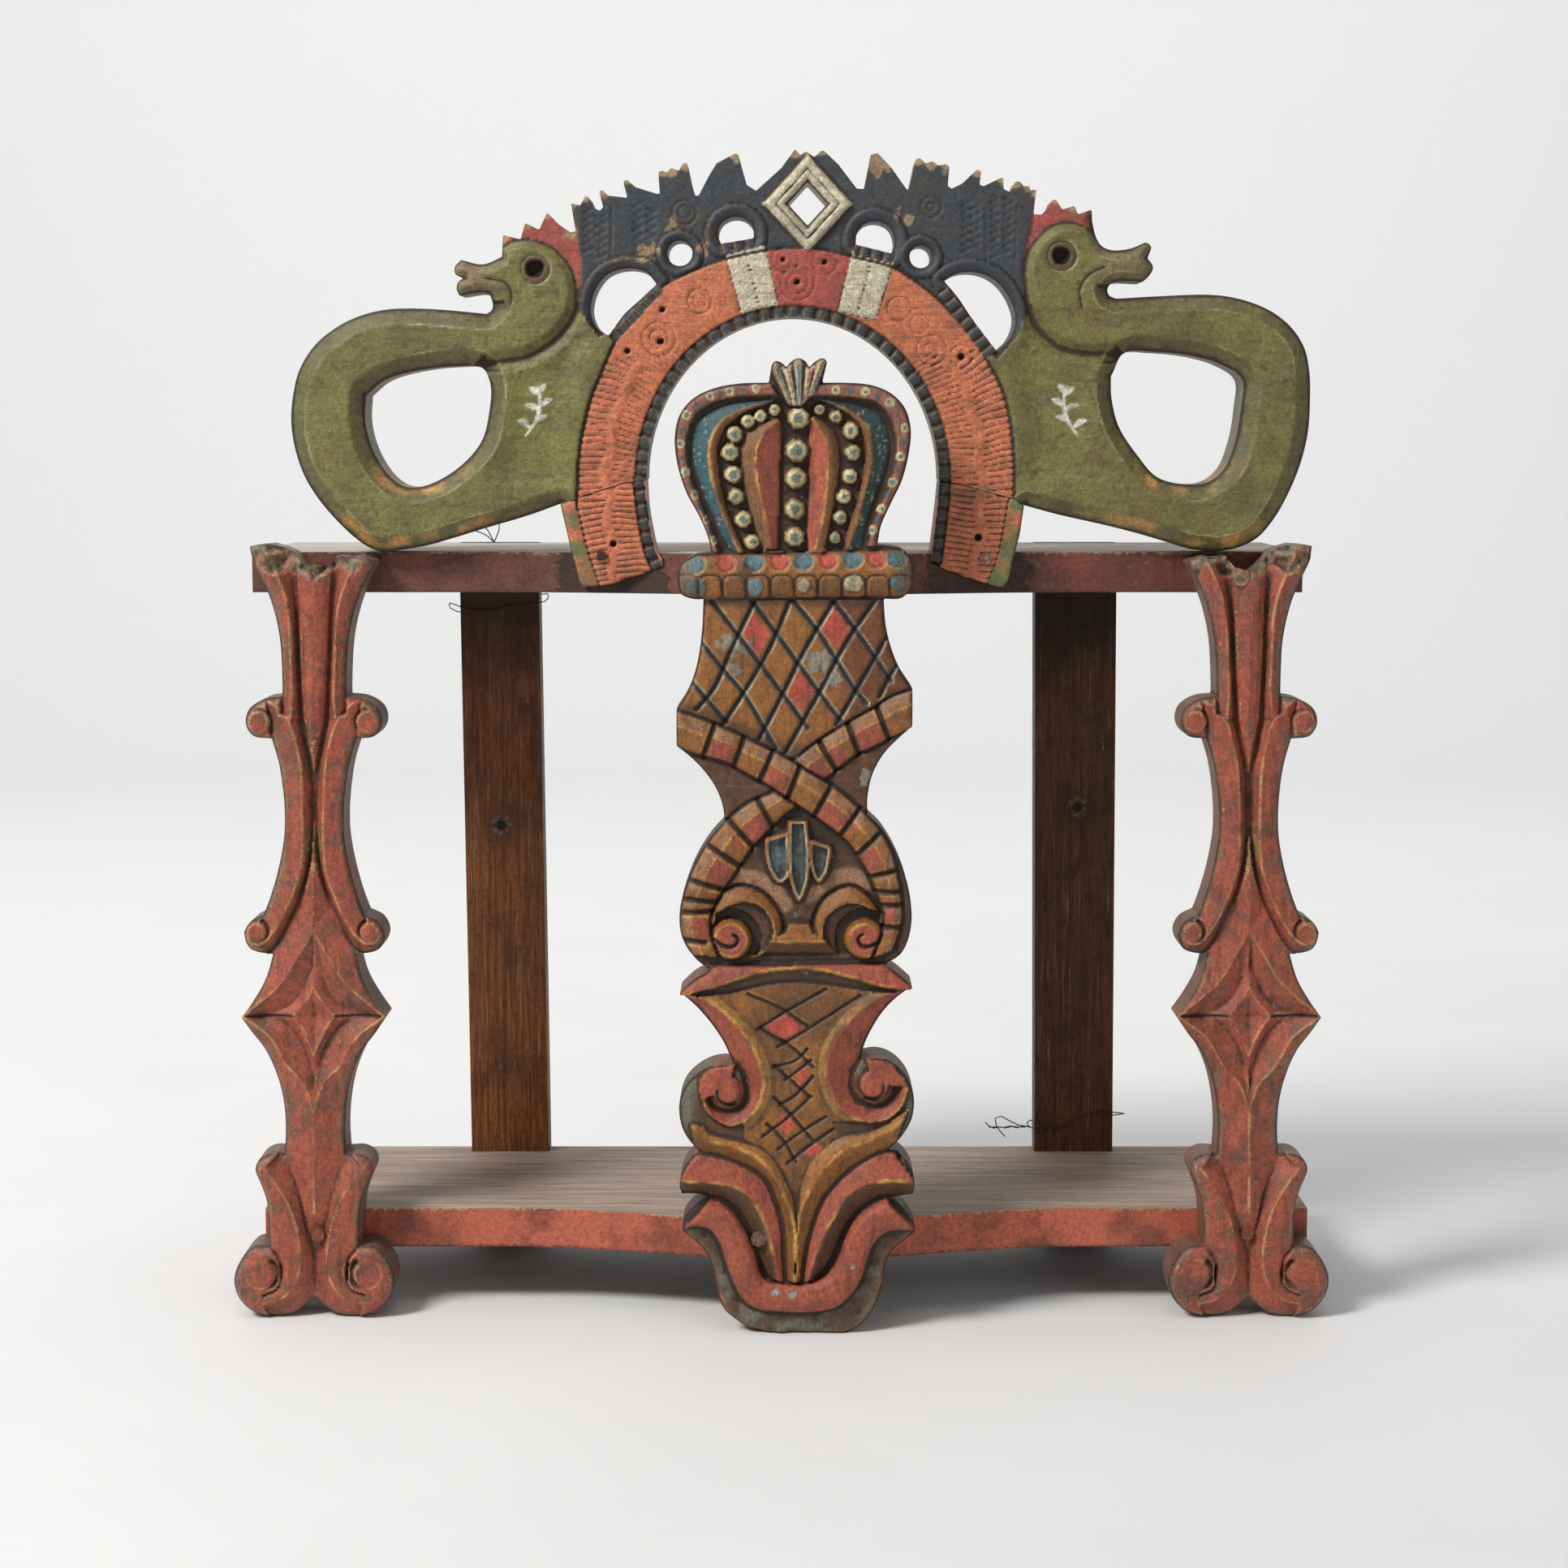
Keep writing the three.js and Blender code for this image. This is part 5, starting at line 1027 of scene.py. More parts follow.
def post_volutes(board, side, out):
    """The discs that the C-scrolls and the foot leaves roll into."""
    for u, z, radius, depth, width, start, end in POST_VOLUTES:
        x = post_axis(side, z) + out * u
        gap = board.gap_to(x, z)
        angle = np.degrees(np.arctan2(board.z - z, -out * (board.x - x)))
        disc = 0.9 - 0.012 * gap ** 2 - 1.2 * unit(gap - radius + 1) ** 2
        board.level(gap < radius, np.maximum(board.h, disc))
        open_side = unit((start - angle) / 14) * unit((angle - end) / 55)
        groove = open_side * unit(1 - np.abs(gap - radius - 0.4) / width)
        board.h -= depth * groove
        board.tint(0.8 * groove, UMBER)
        worn = unit(1 - np.abs(gap - radius + 0.7) / 0.8) * np.clip(0.2 + board.noise(5, 36), 0, 0.8)
        board.tint(worn, POST_GOLD)
        beside = (gap > radius + 1) & (gap < radius + 9) & (np.abs(board.z - z) < 15)
        rim = beside & ((angle > 60) | (angle < -20))
        board.tint(0.3 + 0.7 * board.noise(4, 37), POST_DIRT * 1.1, rim, 0.7)


# Bow and its feet. The outlines run clockwise from the left dragon's lower tip.

BOW_FRONT, BOW_BACK = -65, -30
CHESTS = [
    [[-153, 519], [-137, 527], [-124.6, 535], [-112, 548], [-99, 539], [-104, 525], [-109, 505],
     [-113, 480], [-114, 455], [-135, 452], [-160, 462], [-152, 488], [-153, 519]],
    [[174, 525], [158, 531], [146, 536], [133, 547], [120, 530], [125, 508], [128.5, 485], [129, 457],
     [150, 455], [182, 466], [172, 488], [174, 525]],
]
LEFT_NECK = [
    [[-120, 448.5], [-138, 442], [-160, 435.5], [-178, 430], [-193, 425.8], [-213, 422.5]],
    [[-213, 422.5], [-221, 423.7], [-229, 428.3], [-239, 437.3], [-250, 450], [-257.5, 462], [-262.5, 476],
     [-264.8, 491], [-263.6, 507], [-259.5, 521.4], [-251, 534], [-240, 542.8], [-228, 548.8],
     [-214, 552.4], [-199.7, 553.2], [-181, 552.4], [-158.5, 550.3]],
    [[-158.5, 550.3], [-155.7, 552.6], [-155.4, 556.6], [-157, 560.6], [-161, 561.6], [-173, 560]],
    [[-173, 560], [-174.4, 563.6], [-173.3, 567.4], [-170.5, 569]],
    [[-170.5, 569], [-175, 571.4], [-175.2, 575], [-171.8, 578.8]],
    [[-171.8, 578.8], [-160, 576.5], [-149.7, 580.5]],
]
LEFT_RED_COMB = [[-149.7, 580.5], [-149.3, 592], [-139.8, 589.8], [-137.2, 598.5], [-129.8, 594.7],
                 [-125.5, 603.8], [-119.5, 597.8], [-113, 593.4], [-110.2, 594]]
COMB_EDGE = [
    [-110.2, 594], [-112.6, 608.7], [-107.6, 607.6], [-104.8, 612.8], [-102.9, 611.6], [-100.8, 606.5],
    [-97, 604.8], [-95.4, 606.8], [-97.4, 614.6], [-96, 616], [-92.7, 612.7], [-82.4, 611.6],
    [-84.6, 620.2], [-82.6, 621.3], [-78, 617.2], [-65, 613.2], [-65.8, 625.2], [-63.7, 626],
    [-61.3, 624.8], [-58.9, 627.4], [-54.8, 625.7], [-52.7, 629.6], [-50.5, 630.2], [-48.6, 621],
    [-46.4, 613], [-44.4, 612.5], [-38.7, 623.2], [-34.7, 629.7], [-24.5, 635], [-23, 634.3],
    [-18.5, 618.4], [-13.5, 615.3], [0, 627.3], [7.3, 637.2], [10.2, 634.2], [13.2, 636], [17.6, 633],
    [22.1, 637], [30.6, 629], [40.3, 616.5], [44.4, 616.2], [47.9, 634.4], [51.6, 635], [58.9, 627.3],
    [66.9, 616.2], [68.5, 615.8], [71.8, 631.8], [73.9, 632.6], [77.1, 629.8], [80.6, 630.8],
    [83.9, 628.5], [87.9, 629.4], [89.8, 628.1], [89, 617.8], [91.1, 616.4], [96.8, 619.2],
    [104.5, 626.5], [106.8, 625.6], [106, 618.6], [108.1, 617.7], [118.6, 622.7], [118.9, 616.2],
    [121.8, 614.9], [123.9, 616.2], [125.2, 620.2], [127.4, 620.1], [129.8, 617.7], [132.3, 618],
    [133.2, 615.4], [136.3, 616.3], [135, 602.9],
]
RIGHT_RED_COMB = [[135, 602.9], [140, 602.9], [143.8, 607], [146, 612.3], [150.4, 605.4], [156.9, 607.5],
                  [158.8, 602.9], [166.2, 605.5]]
RIGHT_NECK = [
    [[166.2, 605.5], [167.1, 598], [170.8, 587.1], [176, 584.2], [186, 584.6], [195.4, 588.2]],
    [[195.4, 588.2], [198.2, 586], [196.3, 579.8]],
    [[196.3, 579.8], [199.4, 575], [197, 570], [194, 567.3]],
    [[194, 567.3], [181, 567.6], [176.8, 566.2], [175.2, 563], [176.4, 560], [180.2, 558.4]],
    [[180.2, 558.4], [203, 559.7], [230, 560.5], [243, 559], [255, 555.6], [266, 550.2], [275, 542.6],
     [281.6, 532.6], [284.6, 520.6], [285.4, 504], [284.6, 487], [281, 470.6], [275, 455], [267, 440.4],
     [258, 430], [247, 424.6], [236, 422.6]],
    [[236, 422.6], [222, 424], [212, 427], [195, 432], [176.7, 436.7], [150, 442.7], [131.8, 447.6]],
]
RIGHT_JOINT = [[131.8, 447.6], [125.8, 451.5], [103.2, 457.9], [85.2, 461.5]]
LEFT_JOINT = [[-72.8, 461.5], [-88, 459.3], [-100, 455.5], [-120, 448.5]]
ARCH_MIDDLE, ARCH_SPRING, ARCH_HALF_WIDTH, ARCH_RISE = 6.2, 461.5, 79, 87
LEFT_FOOT = [[-73.4, 461.6], [-72.6, 446.6], [-71, 436.9], [-69.4, 428.9], [-67.7, 422.4], [-64.2, 419.2],
             [-64, 414.4], [-92.7, 404.6], [-107.5, 403.4], [-109.7, 406.3], [-113.7, 422.4],
             [-116.9, 436.9], [-119.6, 448.5], [-100, 455.4], [-88, 459.2]]
RIGHT_FOOT = [[131.2, 447.5], [129, 432.1], [125.8, 419.2], [123.4, 407.9], [120.2, 403.4], [116, 403.8],
              [103.2, 407.8], [90.3, 412.2], [80.6, 417.6], [81.5, 424], [83.1, 436.9], [84.7, 451.5],
              [85.6, 461.4], [103.2, 457.8], [125.8, 451.4]]
LEFT_LOOP = [[-224.3, 506.7], [-224.8, 492], [-220.6, 476.5], [-212.4, 463.6], [-205, 458.2],
             [-196, 457.6], [-184.5, 461.7], [-171.5, 470.8], [-162, 482.5], [-158, 497], [-157.1, 513],
             [-161.5, 521.4], [-176, 522.4], [-199.7, 519.4], [-214.5, 514.6], [-224.3, 506.7]]
RIGHT_LOOP = [[177.8, 517], [178.3, 505], [182.4, 490], [192.3, 475], [203.3, 463], [216.7, 459.2],
              [230, 459.8], [239.5, 467], [245.4, 482], [248.3, 500], [248.4, 515.6], [237, 523.4],
              [222, 527.8], [202, 530], [185, 529.4], [177.8, 517]]
LEFT_D_HOLE = [
    [[-66.9, 566], [-73, 572.6], [-84, 574.2], [-94, 570.6], [-100.6, 561.4], [-102.4, 551], [-99, 542.6],
     [-92.7, 538.5]],
    [[-92.7, 538.5], [-84.7, 549.8], [-76.6, 557.1], [-66.9, 566]],
]
RIGHT_D_HOLE = [
    [[115.8, 530.2], [123, 537.6], [125.9, 548], [121, 561.1], [112.9, 569.2], [103.2, 572.4],
     [94, 571.6], [87.1, 567.9]],
    [[87.1, 567.9], [95, 558.6], [103.2, 546.6], [115.8, 530.2]],
]
LEFT_HALF_ROUND = [
    [[-32.3, 587.3], [-14.8, 590.2]],
    [[-14.8, 590.2], [-15.4, 596.4], [-20, 600.8], [-26.6, 601.4], [-32.2, 598], [-34, 592],
     [-32.3, 587.3]],
]
RIGHT_HALF_ROUND = [
    [[59.4, 582.1], [60.7, 588.6], [58, 596], [51.6, 599.2], [44.6, 598], [40.5, 593], [39.8, 586.9]],
    [[39.8, 586.9], [59.4, 582.1]],
]
ROUND_HOLES = [(-54.5, 582.4, 6.8), (74.7, 580.5, 6)]
# The rims of the two D-shaped, the two half-round and the two round holes.
RIM_WIDTHS = (6.5, 6.5, 7, 7, 5.5, 5.5)
DIAMOND_X, DIAMOND_Z, DIAMOND_WIDE, DIAMOND_TALL = 14, 608.4, 10.6, 11.5
ARCH_OUTER = [[-120, 400], [-113, 430], [-110.5, 454.7], [-109.7, 470.8], [-107.3, 487], [-102.4, 506],
              [-97.6, 517.6], [-90.3, 533.7], [-83, 545], [-73.4, 556.3], [-62.9, 565.2], [-52.4, 570.8],
              [-41, 575.6], [-30.6, 579], [-9, 583.7], [4, 585], [21, 584.5], [37.9, 580.5], [59.7, 574.8],
              [69.4, 569], [80.6, 561], [93.5, 548], [103, 537], [111, 525], [117.7, 512.7],
              [121.8, 500], [124.2, 487], [125.5, 474], [125.8, 451.5], [127, 430], [131, 400]]
ARCH_CENTRE_LINE = [[-90, 405], [-93.5, 440], [-93.5, 470], [-88, 498], [-76, 523], [-58, 543],
                    [-36, 556.5], [-12, 564.5], [8, 567.5], [30, 565], [52, 557], [74, 543], [91, 523],
                    [103, 498], [107.5, 470], [107.5, 440], [104, 405]]
LEFT_CREAM = [[-30, 581], [-9, 586.5], [-0.6, 552], [-21, 549]]
RIGHT_CREAM = [[38, 583.5], [60, 577], [50.5, 547], [30, 551.5]]
BRICK_TOP = [[-9, 590], [38, 590], [30, 548], [-0.6, 548]]
LEFT_HEAD = [[-158, 530], [-150, 530.6], [-138, 533], [-125, 541], [-117.5, 550], [-115, 557],
             [-114.6, 564], [-117.7, 573.3], [-125, 581.3], [-134.3, 585], [-142.3, 584.7], [-149.7, 580.5]]
RIGHT_HEAD = [[178, 535], [163.3, 534.7], [151.3, 538], [142, 546.7], [136.7, 560], [134.7, 573.3],
              [137.3, 582.7], [144.7, 591.3], [154, 594.4], [163.3, 590.7], [170.8, 587.1]]


def arch_curve(start, end, count):
    """The arch's inner curve between two angles, in radians."""
    angles = np.linspace(start, end, count)
    return np.column_stack([ARCH_MIDDLE + ARCH_HALF_WIDTH * np.cos(angles),
                            ARCH_SPRING + ARCH_RISE * np.sin(angles)])


def arch_inner_line():
    """The arch's inner edge from the left foot over the top to the right foot."""
    left = [[-64.2, 414.4], [-67.7, 422.4], [-71, 436.9], [-74, 460.7]]
    right = [[84.7, 451.5], [83.1, 436.9], [81.5, 424], [80.6, 417.6]]
    return np.vstack([smooth_line(left), arch_curve(math.pi, 0, 40), smooth_line(right)])


def ribbed_arch(board):
    """The orange band: fine ribs across it, a rough centre line, beads along its inner edge."""
    outer, inner = smooth_line(ARCH_OUTER), arch_inner_line()
    band = board.within(np.vstack([outer, [[131, 380], [80.6, 380]], inner[::-1],
                                   [[-64.2, 380], [-120, 380]]]))
    board.colour[band] = ARCH_ORANGE
    middle = smooth_line(ARCH_CENTRE_LINE)
    at = board.near(middle, 28)
    along = at.share * line_length(middle)
    across = at.dist * at.side
    board.level(band, -1.4 + 0.3 * board.noise(12, 21))
    phase = (along + 0.10 * np.abs(across) + 0.7 * board.noise(11, 22)) / 3.3
    wander = 1.3 * np.sin(along / 4.3) + 0.8 * board.noise(6, 23)
    beyond = np.abs(across - wander)
    ribbed = band & (board.z < 529 + 6 * board.noise(9, 24)) & (beyond > 2.4)
    rib = np.abs(np.sin(math.pi * phase)) ** 0.8
    board.h += np.where(ribbed, 1.1 * (rib - 0.8) * unit((beyond - 2.4) / 1.2), 0)
    spine = band & (board.z < 524) & (beyond < 2.4)
    board.h += np.where(spine, 0.5 - 0.15 * beyond + 0.5 * board.noise(2.4, 25), 0)
    for patch in (LEFT_CREAM, RIGHT_CREAM):
        corners = np.array(patch, float)
        mask = board.within(corners)
        board.colour[mask] = BOW_CREAM
        middle_line = np.array([(corners[0] + corners[1]) / 2, (corners[2] + corners[3]) / 2])
        from_middle = board.near(middle_line, 16).dist
        fringe = np.abs(np.sin(math.pi * (across + 0.42 * from_middle) / 2.5))
        board.level(mask, -1.5 + 0.7 * fringe - 0.5 * (from_middle < 0.8))
        board.h -= 0.8 * unit(1 - board.near(closed(corners), 2).dist)
    top = board.within(BRICK_TOP) & band
    board.colour[top] = ARCH_BRICK
    stamps = [(2, 579, 7), (2, 579, 4), (23, 577.5, 6.5), (8.5, 566.5, 9), (8.5, 566.5, 5.4), (-66, 537, 9),
              (-66, 537, 5), (80.6, 531, 8), (80.6, 531, 4), (96.5, 527.5, 6), (63, 553, 6.5),
              (-44, 557, 6.5), (-44, 557, 3.6), (74, 545, 5)]
    for x, z, radius in stamps:
        board.cut(ring_line(x, z, radius), 0.9, 0.8)
    holes = [(-64, 552.5, 1.2), (-65, 535.5, 1.4), (-82.8, 530.5, 1.2), (96.5, 527.5, 1.5), (0.8, 579, 0.9),
             (23, 577.5, 1), (8.5, 567, 1.1), (-91, 427, 1.4), (106.5, 430.5, 1.6)]
    for x, z, radius in holes:
        gap = board.gap_to(x, z)
        board.h -= 4 * unit((radius + 0.5 - gap) / 0.7)
        board.tint(radius + 0.7 - gap, UMBER * 0.4)
    board.cut(outer, 1.0, 1.3, UMBER)
    edge = board.near(inner, 9)
    bead_along = edge.share * line_length(inner)
    beads(board, band & (edge.dist < 5.6), bead_along + 0.8 * board.noise(14, 26), 7.4)
    board.cut(offset_line(inner, 5.8), 0.9, 1.0, UMBER)


def beads(board, mask, along, period):
    """Dark blue blocks with worn tan gaps between them."""
    share = (along / period) % 1
    block = unit(np.minimum(share, 0.72 - share) / 0.1)
    board.level(mask, -3.0 + 1.7 * block)
    board.colour[mask] = TAN * 0.72
    board.tint(block, COMB_BLUE, mask)


def bow_rings():
    """The bow's outline, its two loops, and the D-shaped, half-round, round and diamond holes."""
    arch = arch_curve(0, math.pi, 60)
    outline = np.vstack([ring_of(LEFT_NECK), LEFT_RED_COMB[:-1], COMB_EDGE[:-1], RIGHT_RED_COMB[:-1],
                         ring_of(RIGHT_NECK), RIGHT_JOINT, arch, LEFT_JOINT[:-1]])
    loops = [ring_of([LEFT_LOOP]), ring_of([RIGHT_LOOP])]
    holes = [ring_of(LEFT_D_HOLE), ring_of(RIGHT_D_HOLE), ring_of(LEFT_HALF_ROUND), ring_of(RIGHT_HALF_ROUND),
             *[circle(x, z, radius) for x, z, radius in ROUND_HOLES],
             np.array([[DIAMOND_X, DIAMOND_Z - DIAMOND_TALL], [DIAMOND_X + DIAMOND_WIDE, DIAMOND_Z],
                       [DIAMOND_X, DIAMOND_Z + DIAMOND_TALL], [DIAMOND_X - DIAMOND_WIDE, DIAMOND_Z]])]
    return outline, loops, holes


def bow(material):
    """The arch, its pierced comb and the two looped dragons, carved in one board."""
    outline, loops, holes = bow_rings()
    board = Relief([outline, *loops, *holes], 0.88, BOW_FRONT, BOW_BACK, DRAGON_GREEN, 300)
    for field in CHESTS:
        ring = smooth_line(field)
        sunk = board.within(ring) * unit(board.near(closed(ring), 14).dist / 12)
        board.h -= 2.6 * sunk
    comb = board.within([[-108, 552], [-98, 538], [-84, 545], [-62, 566], [-30, 579], [4, 585], [38, 580],
                         [70, 569], [94, 548], [116, 526], [128, 540], [131, 552], [129, 576], [134.6, 603],
                         [140, 640], [-118, 640], [-111, 600], [-107, 576]])
    red = (board.z > 548) & (np.abs(board.x) > 100) & ~comb & (np.abs(board.x - 7) < 162)
    for head, outwards in ((LEFT_HEAD, [[-300, 584], [-300, 480], [-215, 480]]),
                           (RIGHT_HEAD, [[300, 584], [300, 480], [235, 480]])):
        line = smooth_line(head)
        face = board.within(np.vstack([line, outwards]))
        step = board.near(line, 12)
        board.level(face, 0)
        groove = np.interp(step.dist, [0, 1.2, 5.2, 6.2, 9.6, 11], [0, -1.2, -4.6, -4.6, -2.4, -2.2])
        board.level(~face & (step.dist < 11), groove)
        red &= ~face & (step.dist > 5)
    below_left_head = board.within([[-260, 400], [-260, 551], [-112, 551], [-112, 400]])
    red &= (board.z > 572 - 0.2 * np.abs(board.x - 6)) & ~below_left_head
    red &= ~((board.x > 0) & (board.z < 562)) & ~((board.x < 0) & (board.z < 556))
    board.colour[red] = ARCH_BRICK * 0.92
    board.level(red, -3.6)
    board.colour[comb] = COMB_BLUE
    board.level(comb, -2.8 + 0.25 * board.noise(9, 31))
    ribbed_arch(board)
    hole_rims(board, holes)
    comb_marks(board)
    diamond(board)
    dragon_bevels(board, loops)
    dragon_faces(board)
    white_sprigs(board)
    dragon_eyes(board)
    tips_and_chips(board)
    board.relax(0.35)
    board.hand_work(0.14)
    soffit = board.near(arch_inner_line(), 4).dist < 3
    board.wall_colour = np.where(soffit[..., None], SOFFIT_GREY, board.colour)
    stand_for(board.mesh("bow_carved", material, wall_bare=0.1), "bow")


def hole_rims(board, holes):
    """A sunk rim round each hole but the diamond, and beads along the arch where it closes a hole."""
    for ring, width in zip(holes, RIM_WIDTHS):
        at = board.near(closed(ring), width + 2)
        dark = board.has_colour(COMB_BLUE)
        board.level(dark & (at.dist < width), -1.2 - 2.6 * unit(1 - at.dist / (width * 0.6)))
        board.h -= np.where(dark, unit(1 - np.abs(at.dist - width)), 0)
    strips = (((-92.7, 538.5), (-66.9, 566), 5.2), ((115.8, 530.2), (87.1, 567.9), 7),
              ((-14.8, 590.2), (-33, 587.2), 4.6), ((60, 582), (39.5, 587), 5.4))
    for start, end, width in strips:
        line = smooth_line([start, end])
        at = board.near(line, 9)
        toward = at.side * at.dist * (-1 if start[0] < 0 and start[1] < 560 else 1)
        strip = (toward > 0) & (at.dist < width) & (at.share > 0.001) & (at.share < 0.999)
        beads(board, strip, at.share * line_length(line), 6.4)


def comb_marks(board):
    """Columns of small zigzag punch marks, and ring stamps, in the dark comb."""
    random = np.random.default_rng(41)
    columns = [(-104, 583, 607), (-96.5, 580, 603), (-77, 582, 609), (99, 583, 609), (104, 585, 607),
               (114, 580, 612), (121, 582, 612), (-70, 590, 606)]
    for x, low, high in columns:
        turn = 1
        for z in np.arange(low, high, 2.1):
            shift = random.uniform(-0.5, 0.5)
            start = np.array([x - 2.4 * turn + shift, z])
            board.cut(np.array([start, start + [4.2 * turn, 1.3]]), 0.95, 0.9)
            turn = -turn
    for x in (109.5, 125.5, -100.3, -91.5):
        board.cut([(x, 579), (x + 0.6, 607)], 0.8, 0.7)
    for x, z, radius in ((-52, 604, 6.5), (-52, 604, 3.2), (80, 607, 5.5), (80, 607, 2)):
        board.cut(ring_line(x, z, radius), 0.9, 0.9)


def diamond(board):
    """The cream frame round the diamond-shaped hole, with a groove round its middle."""
    reach = np.abs(board.x - DIAMOND_X) / DIAMOND_WIDE + np.abs(board.z - DIAMOND_Z) / DIAMOND_TALL
    profile = np.interp(reach, [1, 1.3, 1.5, 1.56, 1.66, 1.72, 2.1, 2.16, 2.3],
                        [-2.6, 0.9, 1.1, -0.4, -0.4, 0.7, 0.5, -1, -2.6])
    mask = (reach < 2.3) & (board.z > 584)
    board.level(mask, profile)
    board.tint((2.34 - reach) / 0.06, BOW_CREAM, mask)


def dragon_bevels(board, loops):
    """Flat facets, 8 to 10 mm wide, along the necks and round the loops."""
    edges = [ring_of(LEFT_NECK), ring_of(RIGHT_NECK)[4:]]
    loops = [closed(loop) for loop in loops]
    beak = (board.z > np.where(board.x > 0, 566, 557)) & (np.abs(board.x - 10) < 215)
    for lines, width, depth in ((edges, 8.5, 6.2), (loops, 8.5, 6.5)):
        at = board.near(lines, 12)
        wide = np.where(beak, 5.0, width + 0.8 * board.noise(30, 51))
        facet = unit(1 - at.dist / wide)
        board.h -= depth * facet * np.where(beak, 0.55, 1)
        line_at = unit(1 - np.abs(at.dist - wide) / 0.7)
        pale = line_at * unit(0.25 + 0.9 * board.noise(16, 52))
        board.tint(pale * 0.8, FACET_LINE)
        board.tint(unit(facet * 5) * np.clip(0.5 + 0.3 * board.noise(14, 54), 0, 0.8), FACET_GREEN)
        low = unit((474 - board.z) / 14) if lines is loops else unit((447 - board.z) / 12)
        streak = unit(facet * 6) * low * unit(0.75 + 1.3 * board.noise(9, 53))
        inner_half = unit((facet if lines is loops else 1.1 - facet) * 1.5)
        away = np.abs(board.x - 6) > 150
        board.tint(np.where(away, streak * inner_half, 0) * 0.95, WORN_OCHRE)


def dragon_eyes(board):
    """A dark drilled eye in a red ring, with a pale line beside it."""
    for x, z in ((-132, 574), (150, 581)):
        gap = board.gap_to(x, z)
        board.h -= 1.4 * unit(1 - np.abs(gap - 7.6) / 1.1)
        board.h -= 6 * unit((5.0 + 0.8 * board.noise(3, 61) - gap) / 1.6)
        board.tint(unit(7.4 - gap) * 0.8, EYE_RED)
        board.tint(5.4 - gap, UMBER * 0.2)
        arc = unit(1 - np.abs(gap - 8.6) / 0.7) * (board.x - x > 2)
        board.tint(arc * 0.6, EYE_LINE)


def dragon_faces(board):
    """The line of each cheek, the bare worn beaks, and the mottled old green."""
    green = board.has_colour(DRAGON_GREEN, 0.05)
    board.tint(0.3 + 0.5 * board.noise(30, 81) + 0.5 * board.noise(9, 82), MOSS, green, 0.5)
    board.tint(0.9 * board.noise(19, 83) + 0.4 * board.noise(5, 84) - 0.25, GREEN_BROWN, green, 0.5)
    board.tint(1.6 * board.noise(2.6, 85) - 0.75, GREEN_DIRT, green, 0.6)
    chest = np.hypot((board.x + 128) / 26, (board.z - 492) / 40) < 1 + 0.3 * board.noise(20, 86)
    board.tint(0.3, FRESH_GREEN, green & chest)
    beaks = ((-166, 569, [(-158, 569), (-148, 566.4), (-144.6, 560), (-147, 551)]),
             (182, 578, [(173, 575), (165, 571), (160, 563), (161, 554)]))
    for x, z, cheek in beaks:
        gap = np.hypot((board.x - x) / 1.5, board.z - z) + 2.4 * board.noise(5, 87)
        board.tint(np.clip((11 - gap) / 5, 0, 0.75) * green, BEAK_TAN)
        mouth = board.near(smooth_line(cheek), 7)
        board.h -= 1.4 * unit(1 - mouth.dist / 1.6)
        board.edging(cheek, 0.5, CHEEK_LINE, 0.9, 0.2)


def white_sprigs(board):
    """A small generic sprig in white brush strokes on each chest."""
    for x, z, turn in ((-131, 500, 1), (153, 500, -1)):
        stem = smooth_line([(x + u * turn, z + v) for u, v in ((-7, -15), (-1, -6), (1, 4), (-1, 12))])
        strokes = [(stem, 0.75)]
        for dx, dz, angle, length in ((-5, -10, 150, 7), (-2, -7, 20, 7), (0.4, -1, 160, 7.5),
                                      (0.8, 1, 30, 7.5), (0, 7, 140, 6), (0, 8, 45, 6)):
            end = np.array([math.cos(math.radians(angle)) * turn, math.sin(math.radians(angle))]) * length
            start = np.array([x + dx * turn, z + dz])
            strokes.append((np.array([start, start + 0.55 * end + [0, 0.8], start + end]), 1.15))
        for line, width in strokes:
            at = board.near(line, 4)
            half = width * (0.35 + np.sin(math.pi * unit(at.share)) ** 0.7)
            worn = unit(1.15 + 0.8 * board.noise(2.4, 88))
            board.tint(unit((half - at.dist) / 0.5 + 0.5) * worn, SPRIG_WHITE)


def tips_and_chips(board):
    """Worn tips of the comb's teeth, and places where its paint has come away."""
    teeth = [p for before, p, after in zip(COMB_EDGE, COMB_EDGE[1:], COMB_EDGE[2:])
             if p[1] > before[1] and p[1] > after[1]]
    for x, z in teeth + LEFT_RED_COMB[1::2] + [[146, 612.3], [156.9, 607.5]]:
        gap = np.hypot(board.x - x, (board.z - z) * 0.8) + 1.4 * board.noise(3, 62)
        board.tint(unit((3.8 - gap) / 1.2) * 0.85, TAN)
    for x, z, radius in ((-72, 583, 5), (-58, 597, 3.2), (-43, 585, 4), (63, 606, 3.4), (67, 600, 2.6),
                         (51, 627, 5)):
        gap = board.gap_to(x, z) + 3.4 * board.noise(3.4, 63)
        board.tint(unit((radius - gap) / 0.8) * 0.85, TAN * 0.85)


